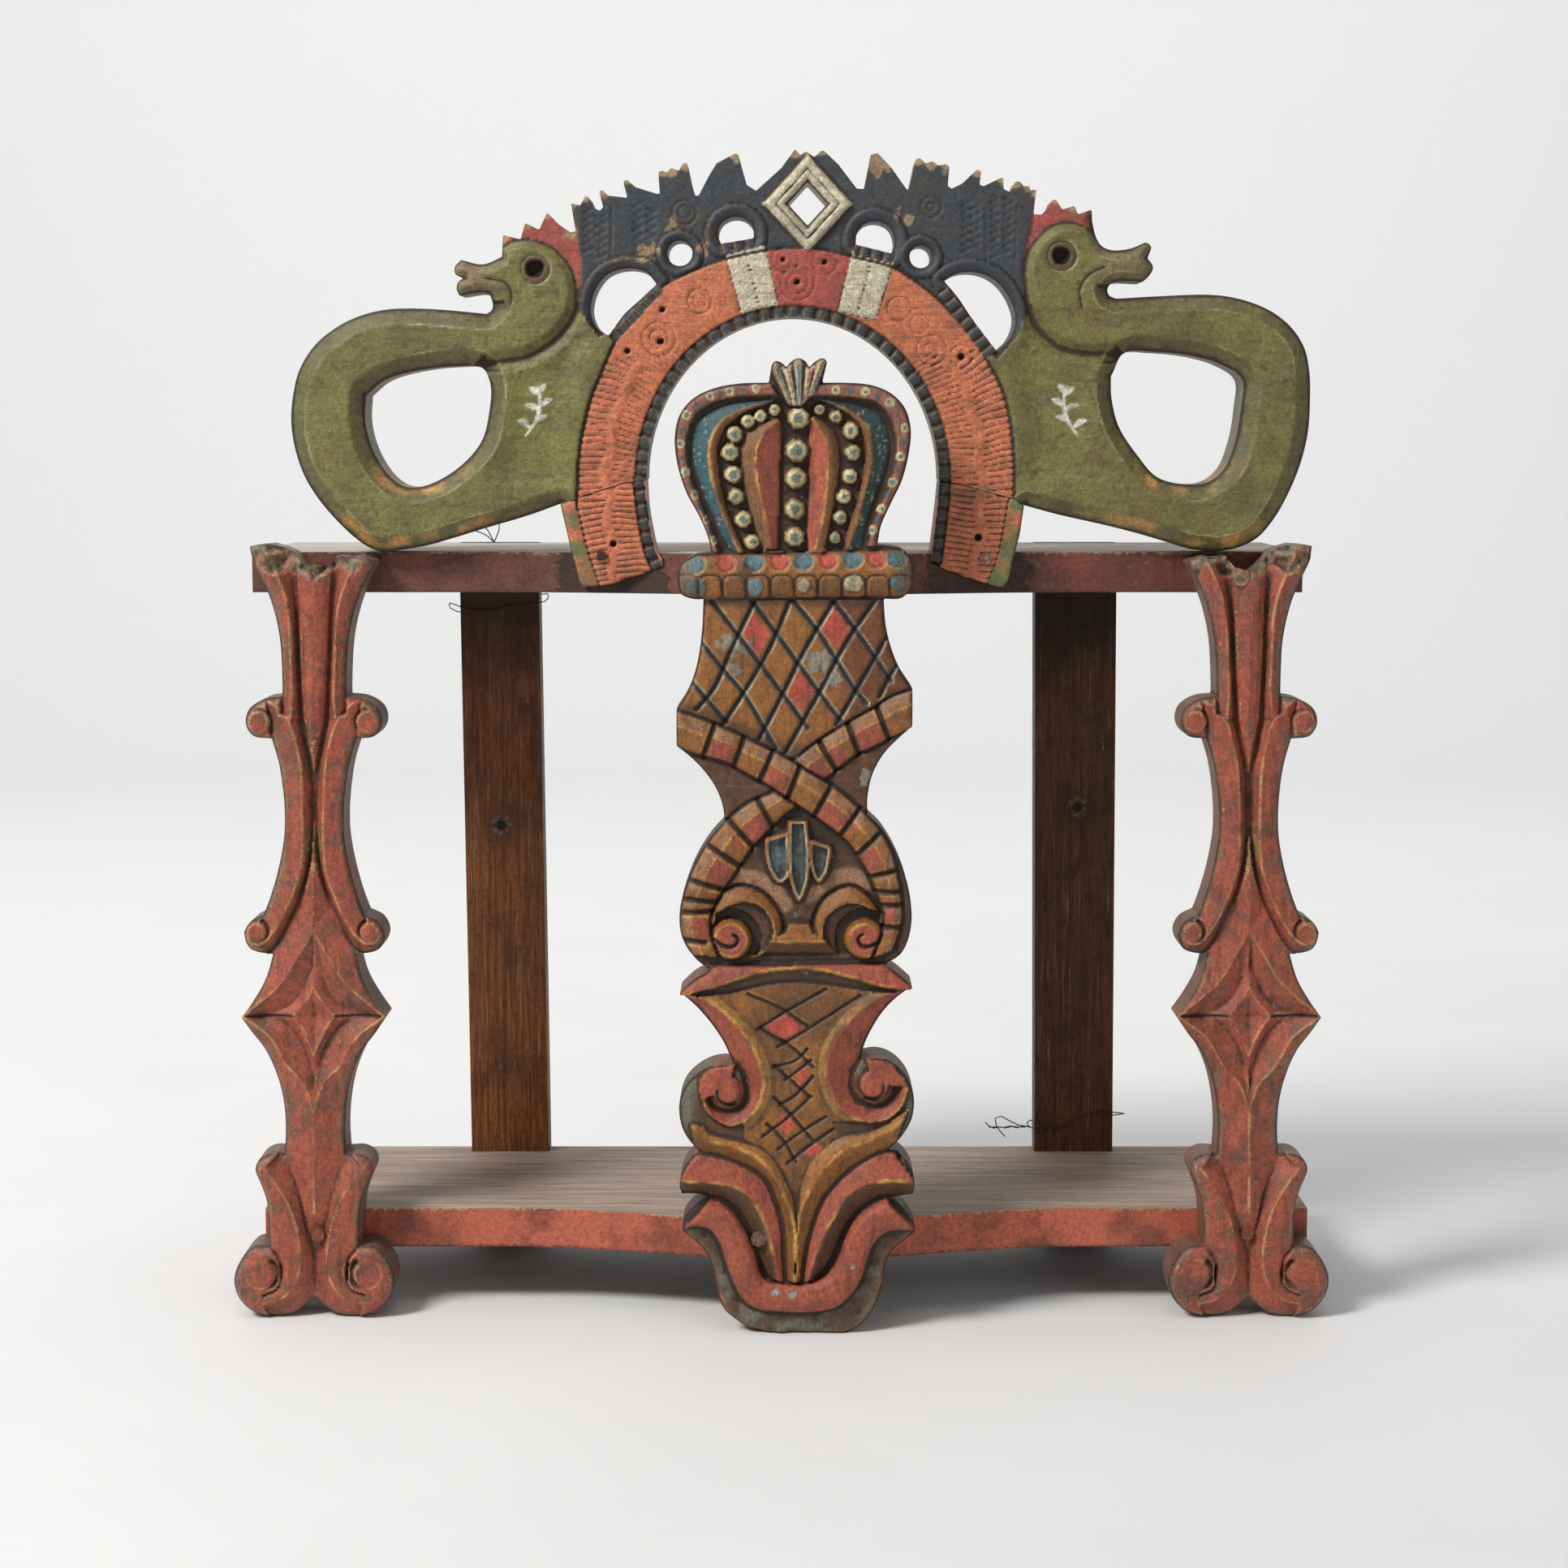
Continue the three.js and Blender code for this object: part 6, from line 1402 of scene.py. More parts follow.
def bow_foot(node, outline, outer_side, material):
    """A foot of the arch: ribbed like it, with a patchy green strip down its outer side."""
    board = Relief([np.array(outline, float)], 0.6, BOW_FRONT, BOW_BACK, ARCH_ORANGE, 340)
    ribbed_arch(board)
    at = board.near(smooth_line(outer_side), 12)
    strip = unit((8.6 - at.dist + 0.8 * board.noise(6, 64)) / 0.8)
    board.h = board.h * (1 - strip) - 1.2 * strip
    green = unit(0.62 + 0.9 * board.noise(8, 65))[..., None]
    board.tint(strip, FOOT_GREEN * green + ARCH_ORANGE * (1 - green))
    board.h -= 1.0 * unit(1 - np.abs(at.dist - 8.8) / 0.8)
    board.h -= 1.2 * unit(1 - board.edge / 1.4)
    board.relax(0.3)
    board.hand_work(0.14)
    stand_for(board.mesh(node + "_carved", material, wall_bare=0.3), node)


# Centre post

CENTER_POST_OUTLINE = [
    [[35, 0], [42, 3.6], [48, 10], [53.6, 21], [55.6, 30], [56.7, 37.8], [60, 45], [66, 51], [73, 56.5]],
    [[73, 56.5], [71.5, 61], [67, 67.8], [61.5, 72.8], [56, 74.3]],
    [[56, 74.3], [71.5, 77]],
    [[71.5, 77], [71.8, 85.6], [69.5, 93], [64.5, 99.2], [57.8, 102.2]],
    [[57.8, 102.2], [65, 110], [70, 119], [71.4, 127], [70.6, 135], [66.5, 143.8], [59, 150.6], [51, 153],
     [43, 151.7]],
    [[43, 151.7], [44.5, 159], [48.5, 167.8], [54.6, 177.5], [62, 185.4], [70.5, 191.7]],
    [[70.5, 191.7], [64, 197.6], [55.6, 203.7]],
    [[55.6, 203.7], [62.5, 207.6], [67, 214.5], [69.6, 226], [69, 239], [66, 252], [60.5, 265.5],
     [53, 277.5], [46, 284.4]],
    [[46, 284.4], [45.8, 293], [48.5, 306], [54.5, 317], [62, 325], [69.5, 331.5]],
    [[69.5, 331.5], [69.5, 352]],
    [[69.5, 352], [63, 362], [58, 374], [55.2, 386], [54.1, 399.4]],
    [[54.1, 399.4], [64, 400], [69.4, 407], [69.6, 418], [65, 425], [58, 427.3], [50.6, 427.8]],
    [[50.6, 427.8], [52.5, 438], [57.8, 450], [63.5, 462], [67, 476], [68, 488], [65.2, 499], [58, 507],
     [47, 511.6], [34, 512.8], [21.4, 512.8]],
    [[21.4, 512.8], [24, 523.4]],
    [[24, 523.4], [22, 525.6], [18, 524], [14.6, 520.8]],
    [[14.6, 520.8], [12.6, 524], [9, 525.5], [5.4, 524], [2.6, 520.8]],
    [[2.6, 520.8], [0, 523.3], [-3.3, 524.1], [-5.2, 521.6]],
    [[-5.2, 521.6], [-6.6, 512.9]],
    [[-6.6, 512.9], [-22, 512.4], [-35, 510], [-46, 504.8], [-53.4, 496], [-56, 484], [-54.6, 470],
     [-50, 455.5], [-43, 442.5], [-38.4, 431], [-37, 424]],
    [[-37, 424], [-46, 422.6], [-52.4, 418], [-55.2, 410], [-53, 402], [-46, 399.4], [-41.2, 399.4]],
    [[-41.2, 399.4], [-42.2, 381], [-45.2, 363], [-50, 350], [-55.6, 341]],
    [[-55.6, 341], [-55.6, 321]],
    [[-55.6, 321], [-48, 315], [-40, 306.5], [-34, 297], [-31, 288], [-30.3, 280.6]],
    [[-30.3, 280.6], [-38, 272], [-45.5, 260], [-51, 246.5], [-54.5, 232], [-53.8, 220], [-50, 211.6],
     [-44.5, 205], [-38.3, 200.6]],
    [[-38.3, 200.6], [-47, 195.6], [-54.8, 188.4]],
    [[-54.8, 188.4], [-45.5, 180], [-37.5, 170.6], [-31, 160.6], [-27.4, 152.6], [-26.3, 149.4]],
    [[-26.3, 149.4], [-36, 148.4], [-45, 143.9], [-51.7, 137], [-55, 127.5], [-54, 115.5], [-50, 107.4],
     [-44.4, 101.2]],
    [[-44.4, 101.2], [-50.5, 95.4], [-54.2, 88], [-54.9, 80.6], [-53.5, 77]],
    [[-53.5, 77], [-44.5, 76.6], [-36, 73.4]],
    [[-36, 73.4], [-42, 73.4], [-48.5, 69], [-53, 63], [-54, 57]],
    [[-54, 57], [-46.5, 50.6], [-41, 45], [-37.6, 36], [-36, 28], [-34.6, 20.5], [-31, 13], [-25, 7],
     [-18, 2.8], [-9, 0]],
]


def cup_ground(board):
    """The worn ground round the foot, and the pit that the leaves rise from."""
    worn = board.z < 62
    board.colour[worn] = GREY_GREEN * 0.8
    board.level(worn, -6.5 + 1.2 * board.noise(6, 1) - 1.8 * unit(1 - board.edge / 3))
    board.tint(0.3 + 1.5 * board.noise(5, 2), DARK_BROWN, worn, 0.8)
    board.tint((3 - board.edge) / 2 + board.noise(5, 3), OCHRE_BROWN, worn, 0.9)
    pit = (board.z > 28) & (board.z < 103) & (np.abs(board.x - 8) < 66 - 0.25 * np.abs(board.z - 60))
    deep = pit & ((board.z > 62) | (np.abs(board.x - 6) < 32))
    board.level(deep, -9.5)
    board.colour[deep] = UMBER


def cup_and_leaves(board):
    """The red U at the foot, with two pairs of leaves and a ridged stem in it."""
    left_inner = [(-38, 75), (-30, 72.6), (-23, 66.5), (-18, 57), (-14, 45), (-11.5, 35), (-8.5, 31)]
    right_inner = [(12.8, 29.4), (22.8, 32), (29.4, 40), (33.9, 52), (38, 61), (45, 69.5), (56, 76)]
    outer = [(-55, 57.6), (-46.5, 60), (-38.9, 58), (-33.5, 50), (-30.6, 41), (-27, 30), (-21.7, 20),
             (-14.4, 14.5), (1.7, 12.4), (18, 12.4), (30.6, 15.4), (38, 22), (44, 32), (47, 42), (50.6, 51),
             (58, 57), (74, 57.4)]
    board.strip(outer, left_inner + [(1.7, 29.4)] + right_inner,
                [(0, -6.2), (0.05, -2.6), (0.2, -0.6), (0.5, 0.4), (0.8, -0.8), (0.93, -3.2), (1, -6.5)],
                POST_RED)
    for x, z, radius in ((-3.3, 25, 2.1), (6.4, 23.3, 1.9), (39, 39, 1.6)):
        gap = board.gap_to(x, z) + 0.7 * board.noise(2, 4)
        board.tint((radius - gap) / 0.5, PALE_SPOT)
    # Painted shade, with darker brown, on the slope under each horn's curled lip.
    under = [((-54.5, 57), (-46.5, 51), (-41, 45), (-38.5, 38)),
             ((73.4, 56.5), (66, 51), (60, 45), (57.5, 40))]
    for line in under:
        gap = board.near(smooth_line(line), 12).dist
        board.tint(unit(1 - gap / 12) * 0.8, DARK_BROWN, board.h < -4)
    leaves = (
        ([(-46, 100.6), (-31.7, 97.8), (-18.3, 92.2), (-9.4, 85.6), (-3.2, 72.2), (0, 59), (0.8, 42),
          (1.7, 29.5)],
         [(-56, 86), (-45, 85.4), (-33, 84.5), (-22, 81), (-14, 73), (-9, 63), (-6, 52), (-4, 42),
          (-2, 30)],
         [(-56, 78), (-44, 78), (-35, 74.5), (-26, 68), (-20, 59), (-15, 49), (-12, 40), (-8, 31)]),
        ([(59.5, 102.2), (51.7, 100), (40.6, 93.3), (30.6, 84.4), (22.8, 74.4), (18.3, 63.3), (15, 52.2),
          (12.8, 41.1), (11.7, 30)],
         [(73, 84.2), (66.1, 85.8), (52.8, 85.6), (43.9, 83.3), (35, 76.7), (29.4, 67.8), (23.9, 57.8),
          (19.4, 46.7), (16.1, 35.6), (14.4, 30)],
         [(73, 76.6), (57.2, 75.6), (46.1, 70), (38.3, 63.3), (32.8, 54.4), (28.3, 43.3), (22.8, 34.4),
          (19, 31)]),
    )
    for top, edge, bottom in leaves:
        board.strip(top, edge, [(0, -6.5), (0.12, -4.6), (0.7, -2.2), (1, -1.2)], POST_RED)
        board.strip(edge, bottom, [(0, -1.2), (0.2, -2.2), (0.85, -7.4), (1, -9)], DARK_BROWN)
        board.edging(edge, 0.9, GOLD)
    left_ridge = [(-49, 117), (-46.7, 115.6), (-38.9, 108.9), (-28.3, 105.6), (-17.2, 101.7), (-9.4, 95.6),
                  (-2.8, 86.7), (1.7, 77.8), (6.1, 65.6), (7.6, 58), (7.4, 44), (7, 30)]
    left_hem = [(-42, 116), (-38.3, 112), (-20.6, 107), (-9.4, 102.8), (-2.8, 95.6), (2.8, 85.6),
                (7.2, 74.4), (8.6, 64), (8.4, 58)]
    right_ridge = [(68, 125), (66.1, 121), (57.2, 113.3), (46.1, 108.3), (35, 103.9), (27.2, 97.8),
                   (20.6, 88.9), (15, 80), (10.6, 70), (8.4, 58), (8, 44), (7.4, 30)]
    right_hem = [(58, 118), (48, 113), (32.8, 110), (23.9, 104.4), (16.1, 96.7), (11.7, 87.8), (9.4, 78.9),
                 (8.6, 67.8), (8.4, 58)]
    for ridge, hem, foot, shade in ((left_ridge, left_hem, leaves[0][0], OCHRE_BROWN * 0.8),
                                    (right_ridge, right_hem, leaves[1][0], OCHRE_BROWN)):
        board.strip(ridge, foot, [(0, 0.2), (0.3, -1.6), (1, -6.6)], shade)
        board.strip(ridge, hem, [(0, 0.2), (0.4, -0.6), (1, -3.4)], OCHRE_BROWN * 1.15)
        board.edging(ridge, 0.9, GOLD, 1.0)
        board.edging(hem, 0.7, GOLD, 0.8)


def vase(board):
    """The vase: an arched red lip, red sides that roll into two volutes, and a cross-hatched body."""
    zone = (board.z > 100) & (board.z < 212)
    left_volute_runs = CENTER_POST_OUTLINE[26:28]
    outer_left = board.near(ring_of(left_volute_runs), 8)
    beside = zone & ((board.x < -19) | (board.x > 29))
    board.level(beside & (board.z > 104) & (board.z < 150), -3.8 - 2.5 * unit(1 - outer_left.dist / 6))
    outside = beside & (board.z > 103) & (board.z < 155)
    board.colour[outside] = DARK_BROWN
    board.tint((9 - board.edge) / 3 + 0.6 * board.noise(5, 5), GREY_GREEN * 0.8, outside, 0.85)
    lip_top = [(-57, 188.6), (-47, 196.5), (-38.3, 201.5), (-28.3, 205), (-15, 208), (-1.7, 209.8),
               (12.8, 210.4), (27.2, 208.8), (40.6, 206), (56, 204.5), (64, 198.6), (72, 191.7)]
    lip_edge = [(-56, 187), (-42.8, 190.2), (-31.7, 193.9), (-18.3, 198.3), (-3.9, 201.7), (10.6, 202.2),
                (23.9, 201.1), (35, 198.3), (46, 195), (57.2, 192), (72, 190.6)]
    lip_under = [(-46, 187.6), (-36, 187.6), (-26.1, 188.3), (-9.4, 192.2), (6.1, 193.9), (21.7, 192.8),
                 (41.7, 190), (55, 188.8), (60, 189)]
    body_left = [(-50, 187.4), (-40.6, 185.6), (-31.7, 179.4), (-22.8, 170.6), (-16.1, 161.7),
                 (-11.7, 151.7), (-9.4, 142.8), (-10.4, 131.7), (-15, 123), (-20.6, 118.2), (-27.2, 116.1),
                 (-33.8, 118.3), (-39.3, 123.3), (-42.6, 130), (-44.2, 139.4), (-41, 145), (-33, 148.6)]
    body_right = [(62, 189.6), (55, 188.4), (46.1, 182.8), (37.2, 175), (29.4, 165), (25, 156), (23.9, 147),
                  (25, 139.4), (28.3, 130), (35, 122.6), (43.9, 118.4), (52.8, 118.4), (60.6, 122),
                  (66, 129), (67.6, 137), (65, 143.5), (58, 149), (51, 151)]
    field = board.within(np.vstack([smooth_line(lip_under), smooth_line(body_right[1:11]),
                                    [(28, 118), (30, 110), (16.1, 96.7), (8.4, 64), (-9.4, 102.8),
                                     (-20, 108)],
                                    smooth_line(body_left[1:10])[::-1]]))
    board.colour[field] = OCHRE_BROWN
    board.level(field, -3.4)
    board.tint(0.4 + 0.9 * board.noise(13, 6), DARK_BROWN, field, 0.6)
    for line, inner in ((body_left, 6.5), (body_right, 6.0)):
        at = board.near(smooth_line(line), 12)
        bevel = at.dist < inner
        slope = field & bevel
        board.level(slope, -1.0 - 2.6 * unit(at.dist / inner) ** 0.8)
        board.tint(0.55 * unit((inner - at.dist) / 1.5), DARK_BROWN, slope)
        board.tint(0.35, GOLD, slope & (np.abs(at.dist - 2.5) < 1.4))
    left_side = [(-57, 188), (-54.8, 187.6), (-46.5, 180), (-38.5, 170.6), (-32, 160.6), (-28.4, 152.6),
                 (-25, 148), (-21.5, 143), (-20, 136), (-21, 130), (-24.5, 126), (-30, 124.6),
                 (-35.5, 126.6), (-38.6, 131), (-39, 136), (-36, 140)]
    right_side = [(72, 191), (62, 184.6), (55.6, 177.5), (49.5, 167.8), (45.5, 159), (43, 152), (40.5, 147),
                  (38.6, 141), (39.2, 134.6), (43, 129.6), (48, 127.6), (53.5, 128), (58, 131), (60, 136),
                  (57.5, 140.5)]
    for side, body in ((left_side, body_left), (right_side, body_right)):
        board.strip(body, side, [(0, -0.6), (0.08, -0.9), (0.5, -4.6), (0.85, -7.2), (1, -8)],
                    POST_RED * 0.94)
        board.edging(body, 1.0, GOLD, 1.0, 0.35)
    for x, z, radius, mirror, body in ((-29.6, 136, 8.6, 1, body_left), (50, 139, 8.6, -1, body_right)):
        gap = board.gap_to(x, z)
        angle = np.arctan2(board.z - z, (board.x - x) * mirror)
        top = unit((radius - gap) / 1.6)
        disc = gap < radius
        board.level(disc, np.maximum(board.h, -7.5 + 7.3 * top ** 0.5 - 0.012 * gap ** 2))
        rolled_in = board.within(np.vstack([smooth_line(body[-4:]), [[x, z]]])) & (gap >= radius - 2)
        join = rolled_in | ((angle > math.radians(70)) & (angle < math.radians(176)) & (gap < radius + 5.6)
                            & (gap >= radius - 2))
        board.level(join, -0.9 - 0.12 * (gap - radius))
        board.colour[disc | join] = POST_RED
        hook = spiral(x, z, radius + 0.6, radius * 0.55, math.radians(-60), math.radians(-115))
        if mirror < 0:
            hook[:, 0] = 2 * x - hook[:, 0]
        board.cut(hook, 1.3, 2.6, UMBER, taper=lambda t: 1.1 - 0.6 * t)
    board.strip(lip_top, lip_edge, [(0, -5.4), (0.1, -2.6), (0.45, -0.9), (1, 0.6)], POST_RED)
    board.strip(lip_edge, lip_under, [(0, 0.2), (0.3, -2.6), (0.9, -4.8), (1, -4.2)], DARK_BROWN * 0.9)
    board.edging(lip_edge, 0.9, GOLD, 1.0, 0.3)
    for ring in (((-8.4, 170.6), (2, 176.8), (12.6, 169.4), (1, 163.4)),
                 ((5.6, 144.4), (11, 149.4), (14.6, 144), (11, 137)),
                 ((-4.4, 117.6), (2, 123.6), (8.6, 117), (3, 111)),
                 ((11, 102), (17.6, 107.6), (22.6, 103.6), (16, 98))):
        board.colour[board.within(ring)] = LOZENGE_RED
    cuts = (((-18, 188), (0, 180), (14, 170.5)), ((-11, 169), (2, 160.5)), ((0, 163), (8, 157), (17, 148)),
            ((-4, 149), (5, 141), (15, 132)), ((-4, 131.5), (5, 122), (17, 107.6)),
            ((-8, 117), (1, 108), (8, 96)), ((-13, 168.6), (2, 178), (24, 190.5)),
            ((-2, 159), (14, 168.6), (42, 187)), ((-4, 148), (8, 152), (14, 158)),
            ((2, 141), (12, 148.6), (16, 152)), ((-1, 127), (8, 133), (17, 143)),
            ((-10, 110), (3, 120), (16, 132)), ((-2, 103), (10, 112), (24, 121)),
            ((3, 95), (14, 104), (28, 114)))
    for line in cuts:
        board.cut(line, 1.15, 2.0, UMBER)
        board.edging(np.array(line) + [0.9, 1.1], 0.45, GOLD, 0.6, 0.6)


def volutes_and_drops(board):
    """Above the vase: arches, a stepped foot, the ribbons' volutes and three hanging drops."""
    zone = (board.z > 203) & (board.z < 289) & board.within(ring_of([
        [(-50, 203), (-42, 232), (-30, 248), (-14, 272), (6, 290), (26, 278), (44, 256), (58, 232),
         (64, 203)]]))
    board.colour[zone] = DARK_BROWN
    board.level(zone, -6.4 + 0.4 * board.noise(9, 7))
    board.tint((board.z - 254) / 22, UMBER * 0.7, zone, 0.75)
    for lines in (([(-41, 226), (-38, 232), (-33, 243), (-22, 247), (-10, 243), (-1, 233), (2.4, 222),
                    (3, 214)],
                   [(-36, 226), (-33, 232), (-24, 237), (-13, 236), (-6, 229), (-4.6, 219), (-9, 211),
                    (-15, 208)]),
                  ([(15, 214), (15.4, 222), (20, 236), (28, 244), (38, 246.4), (46, 242), (53, 233),
                    (56, 226)],
                   [(25, 210), (22, 219), (23.6, 228), (29, 234), (37, 237), (45, 235), (50.4, 229),
                    (52, 225)])):
        board.strip(lines[0], lines[1], [(0, -8.2), (0.3, -5.6), (0.8, -2.2), (1, -1.6)], OCHRE_BROWN)
        board.edging(lines[1], 0.7, GOLD, 1.0, 0.2)
        board.cut(lines[0], 1.3, 1.4, UMBER)
    for line in ([(-40, 252), (-24, 251), (-8, 248), (2, 236)],
                 [(14, 240), (22, 247), (36, 252), (46, 248)]):
        gap = board.near(smooth_line(line), 8).dist
        board.tint((5 - gap) / 3, PALE_TAN, zone & (gap < 6), 0.7)
    step = board.within([(-10, 210), (-6, 216.8), (2, 221), (4, 226.6), (15, 226.6), (17, 221), (24, 216.8),
                         (29, 210)])
    board.colour[step] = OCHRE_BROWN
    treads = np.interp(board.z, [209, 210, 216, 217.6, 225, 227], [-6, -5, -2.4, -1.4, -1.8, -3.6])
    board.level(step, treads)
    board.tint(0.75, UMBER, step & (board.z < 216))
    board.edging([(-7, 216.6), (24, 216.6)], 0.8, GOLD, 1.0, 0.3)
    board.edging([(4, 226.6), (15, 226.6)], 0.6, UMBER, 1.0, 0)
    frames = (((-9, 272), (-8.6, 262), (-6.4, 254), (-1, 247.6), (4, 251), (5, 262), (4, 276)),
              ((3.4, 282), (3.2, 262), (4.6, 248), (9.4, 237.6), (14.4, 248), (15.4, 262), (14, 282)),
              ((14.4, 272), (14.6, 260), (16.6, 252), (20, 247.6), (24.4, 253), (26.6, 262), (27, 268)))
    for drop in frames:
        line = smooth_line(drop)
        inside = board.within(line)
        gap = board.near(closed(line), 9).dist
        board.level(inside, np.interp(gap, [0, 0.8, 1.7, 2.4, 5], [-4.0, -1.0, -1.2, -3.4, -4.4]))
        board.colour[inside] = OCHRE_BROWN * 1.05
        board.tint((gap - 1.8) / 0.4, TEAL, inside)
        pale = unit(1 - np.abs(gap - 1.7) / 0.6) * unit(0.9 + 0.7 * board.noise(6, 9))
        board.tint(pale, CREAM, inside)
    for x, z, radius, mirror in ((-27, 217.4, 11.2, 1), (44.6, 217.6, 11.2, -1)):
        gap = board.gap_to(x, z)
        around = (gap < radius + 5) & (gap > radius) & ((board.x - x) * mirror > -8) & (board.z > 209)
        board.level(around, np.minimum(board.h, -8.4))
        board.tint(0.7, UMBER, around)
        disc = gap < radius
        board.level(disc, -7 + 7.4 * unit((radius - gap) / 2.2) ** 0.6)
        board.colour[disc] = OCHRE_BROWN
        board.tint((radius - 3.0 - gap) / 0.6, POST_RED)
        board.edging(ring_line(x, z, radius - 2.6), 0.6, GOLD, 0.9, 0.3)
        curl = ((-14, 1.6), (-9, 0.2), (-4.6, -2.6), (0, -3.6), (3.2, -1.6), (3.4, 1.6), (1, 3.2))
        hook = [(x + u * mirror, z + v) for u, v in curl]
        board.cut(hook, 1.5, 3.4, UMBER, taper=lambda t: 1.15 - 0.6 * t)


FALLING_TOP = [(-57, 341), (-44, 337), (-28, 330.5), (-10, 322), (3, 315.5), (15, 308), (28, 300),
               (38, 292), (46, 284.4), (53, 276.6), (59.4, 264), (62.8, 250.6), (64.6, 238.3), (64.4, 226),
               (60, 212)]
FALLING_FOOT = [(-57, 321.4), (-45, 316.5), (-30, 312.5), (-20, 307), (-8, 300.5), (3, 293), (12, 287),
                (20, 281.5), (28, 275.5), (36, 268.5), (41, 261), (46, 252.8), (50.6, 241.7), (54, 231.7),
                (53.4, 222), (48, 207)]
RISING_TOP = [(71, 352.6), (58, 348), (48, 341.5), (38, 336), (28, 330), (18, 323.5), (6, 314)]
RISING_FOOT = [(71, 331.4), (58, 325), (48, 320), (38, 315), (27, 306), (18, 300)]
LOWER_TOP = [(0, 300), (-5, 297), (-18, 291), (-30.3, 281), (-38, 272), (-45.5, 260), (-51, 246.5),
             (-54.5, 232), (-53.8, 220), (-48, 209)]
LOWER_FOOT = [(14, 290), (6, 287), (-6, 276), (-15.6, 266), (-22, 256.6), (-28, 247.6), (-33, 240),
              (-37, 231), (-37.4, 222), (-33, 208)]


def ribbons(board):
    """Two crossing ribbons of bevelled blocks, whose ends turn down into the volutes."""
    sets = (
        (LOWER_TOP, LOWER_FOOT, -1.6,
         [((-12.8, 293), (-4.4, 278)), ((-29, 283), (-14.6, 267)), ((-38.6, 268), (-21.6, 256.6)),
          ((-50, 250), (-30.4, 244)), ((-54, 239.6), (-34, 237.4)), ((-56, 232), (-36, 232.6)),
          ((-54, 217.4), (-41, 216))],
         [(-16.5, 276.5), (-33, 252.4), (-43.6, 226)]),
        (RISING_TOP, RISING_FOOT, -1.4,
         [((50.2, 343), (57.6, 324)), ((34.4, 335), (41.6, 316.4)), ((19, 325.6), (29.6, 307.6))],
         [(46, 329), (24.4, 312)]),
        (FALLING_TOP, FALLING_FOOT, 0,
         [((-35, 334), (-42, 315)), ((-19.4, 327), (-26, 309)), ((-4, 319.6), (-12, 302)),
          ((10.4, 311.6), (3.4, 294)), ((27, 301), (16, 282)), ((42, 288.6), (30, 272)),
          ((53, 275.6), (39.6, 262.6)), ((63.4, 255.6), (47, 251.4)), ((65, 243.4), (49.4, 243.4)),
          ((66, 236.6), (52, 236)), ((66, 224.4), (53.6, 224.4))],
         [(-30.4, 319.6), (-1, 306), (30.6, 284), (50.4, 261), (60, 230.4)]),
    )
    for top, foot, level, separators, red_spots in sets:
        profile = [(0, level - 4.6), (0.05, level - 1.9), (0.38, level + 0.4), (0.44, level + 0.5),
                   (0.8, level - 0.7), (0.95, level - 1.9), (1, level - 6)]
        inside, share = board.strip(top, foot, profile, OCHRE_BROWN)
        board.tint(unit((0.40 - share) / 0.05) * np.clip(0.5 + 0.5 * board.noise(5, 28), 0, 0.8),
                   PALE_TAN * 0.75, inside)
        board.tint(0.7, GOLD, inside & (np.abs(share - 0.4) < 0.035))
        lines = [np.linspace(*np.array(pair, float), 12) for pair in separators]
        at = board.near(lines, 9)
        for x, z in red_spots:
            centre = board.gap_to(x, z)
            block = inside & (share > 0.4) & (share < 0.97) & (centre < 10.8) & (at.dist > 2.2)
            board.colour[block] = POST_RED
            board.tint(0.35 * (board.noise(7, 12) > 0.1), POST_RED * 0.55, block)
        board.h -= np.where(inside, 1.3 * unit(1 - at.dist / 4.5), 0)
        board.h -= np.where(inside, 2.6 * unit(1 - at.dist / 1.7), 0)
        board.tint(unit((1.9 - at.dist) / 0.6) * 0.8, UMBER, inside)
        pale = np.abs(at.dist - 2.4) < 0.5
        board.tint(0.5 + board.noise(5, 13), GOLD, inside & pale & (at.side < 0))
        for line in (top, foot):
            board.cut(line, 1.2, 1.2, UMBER)


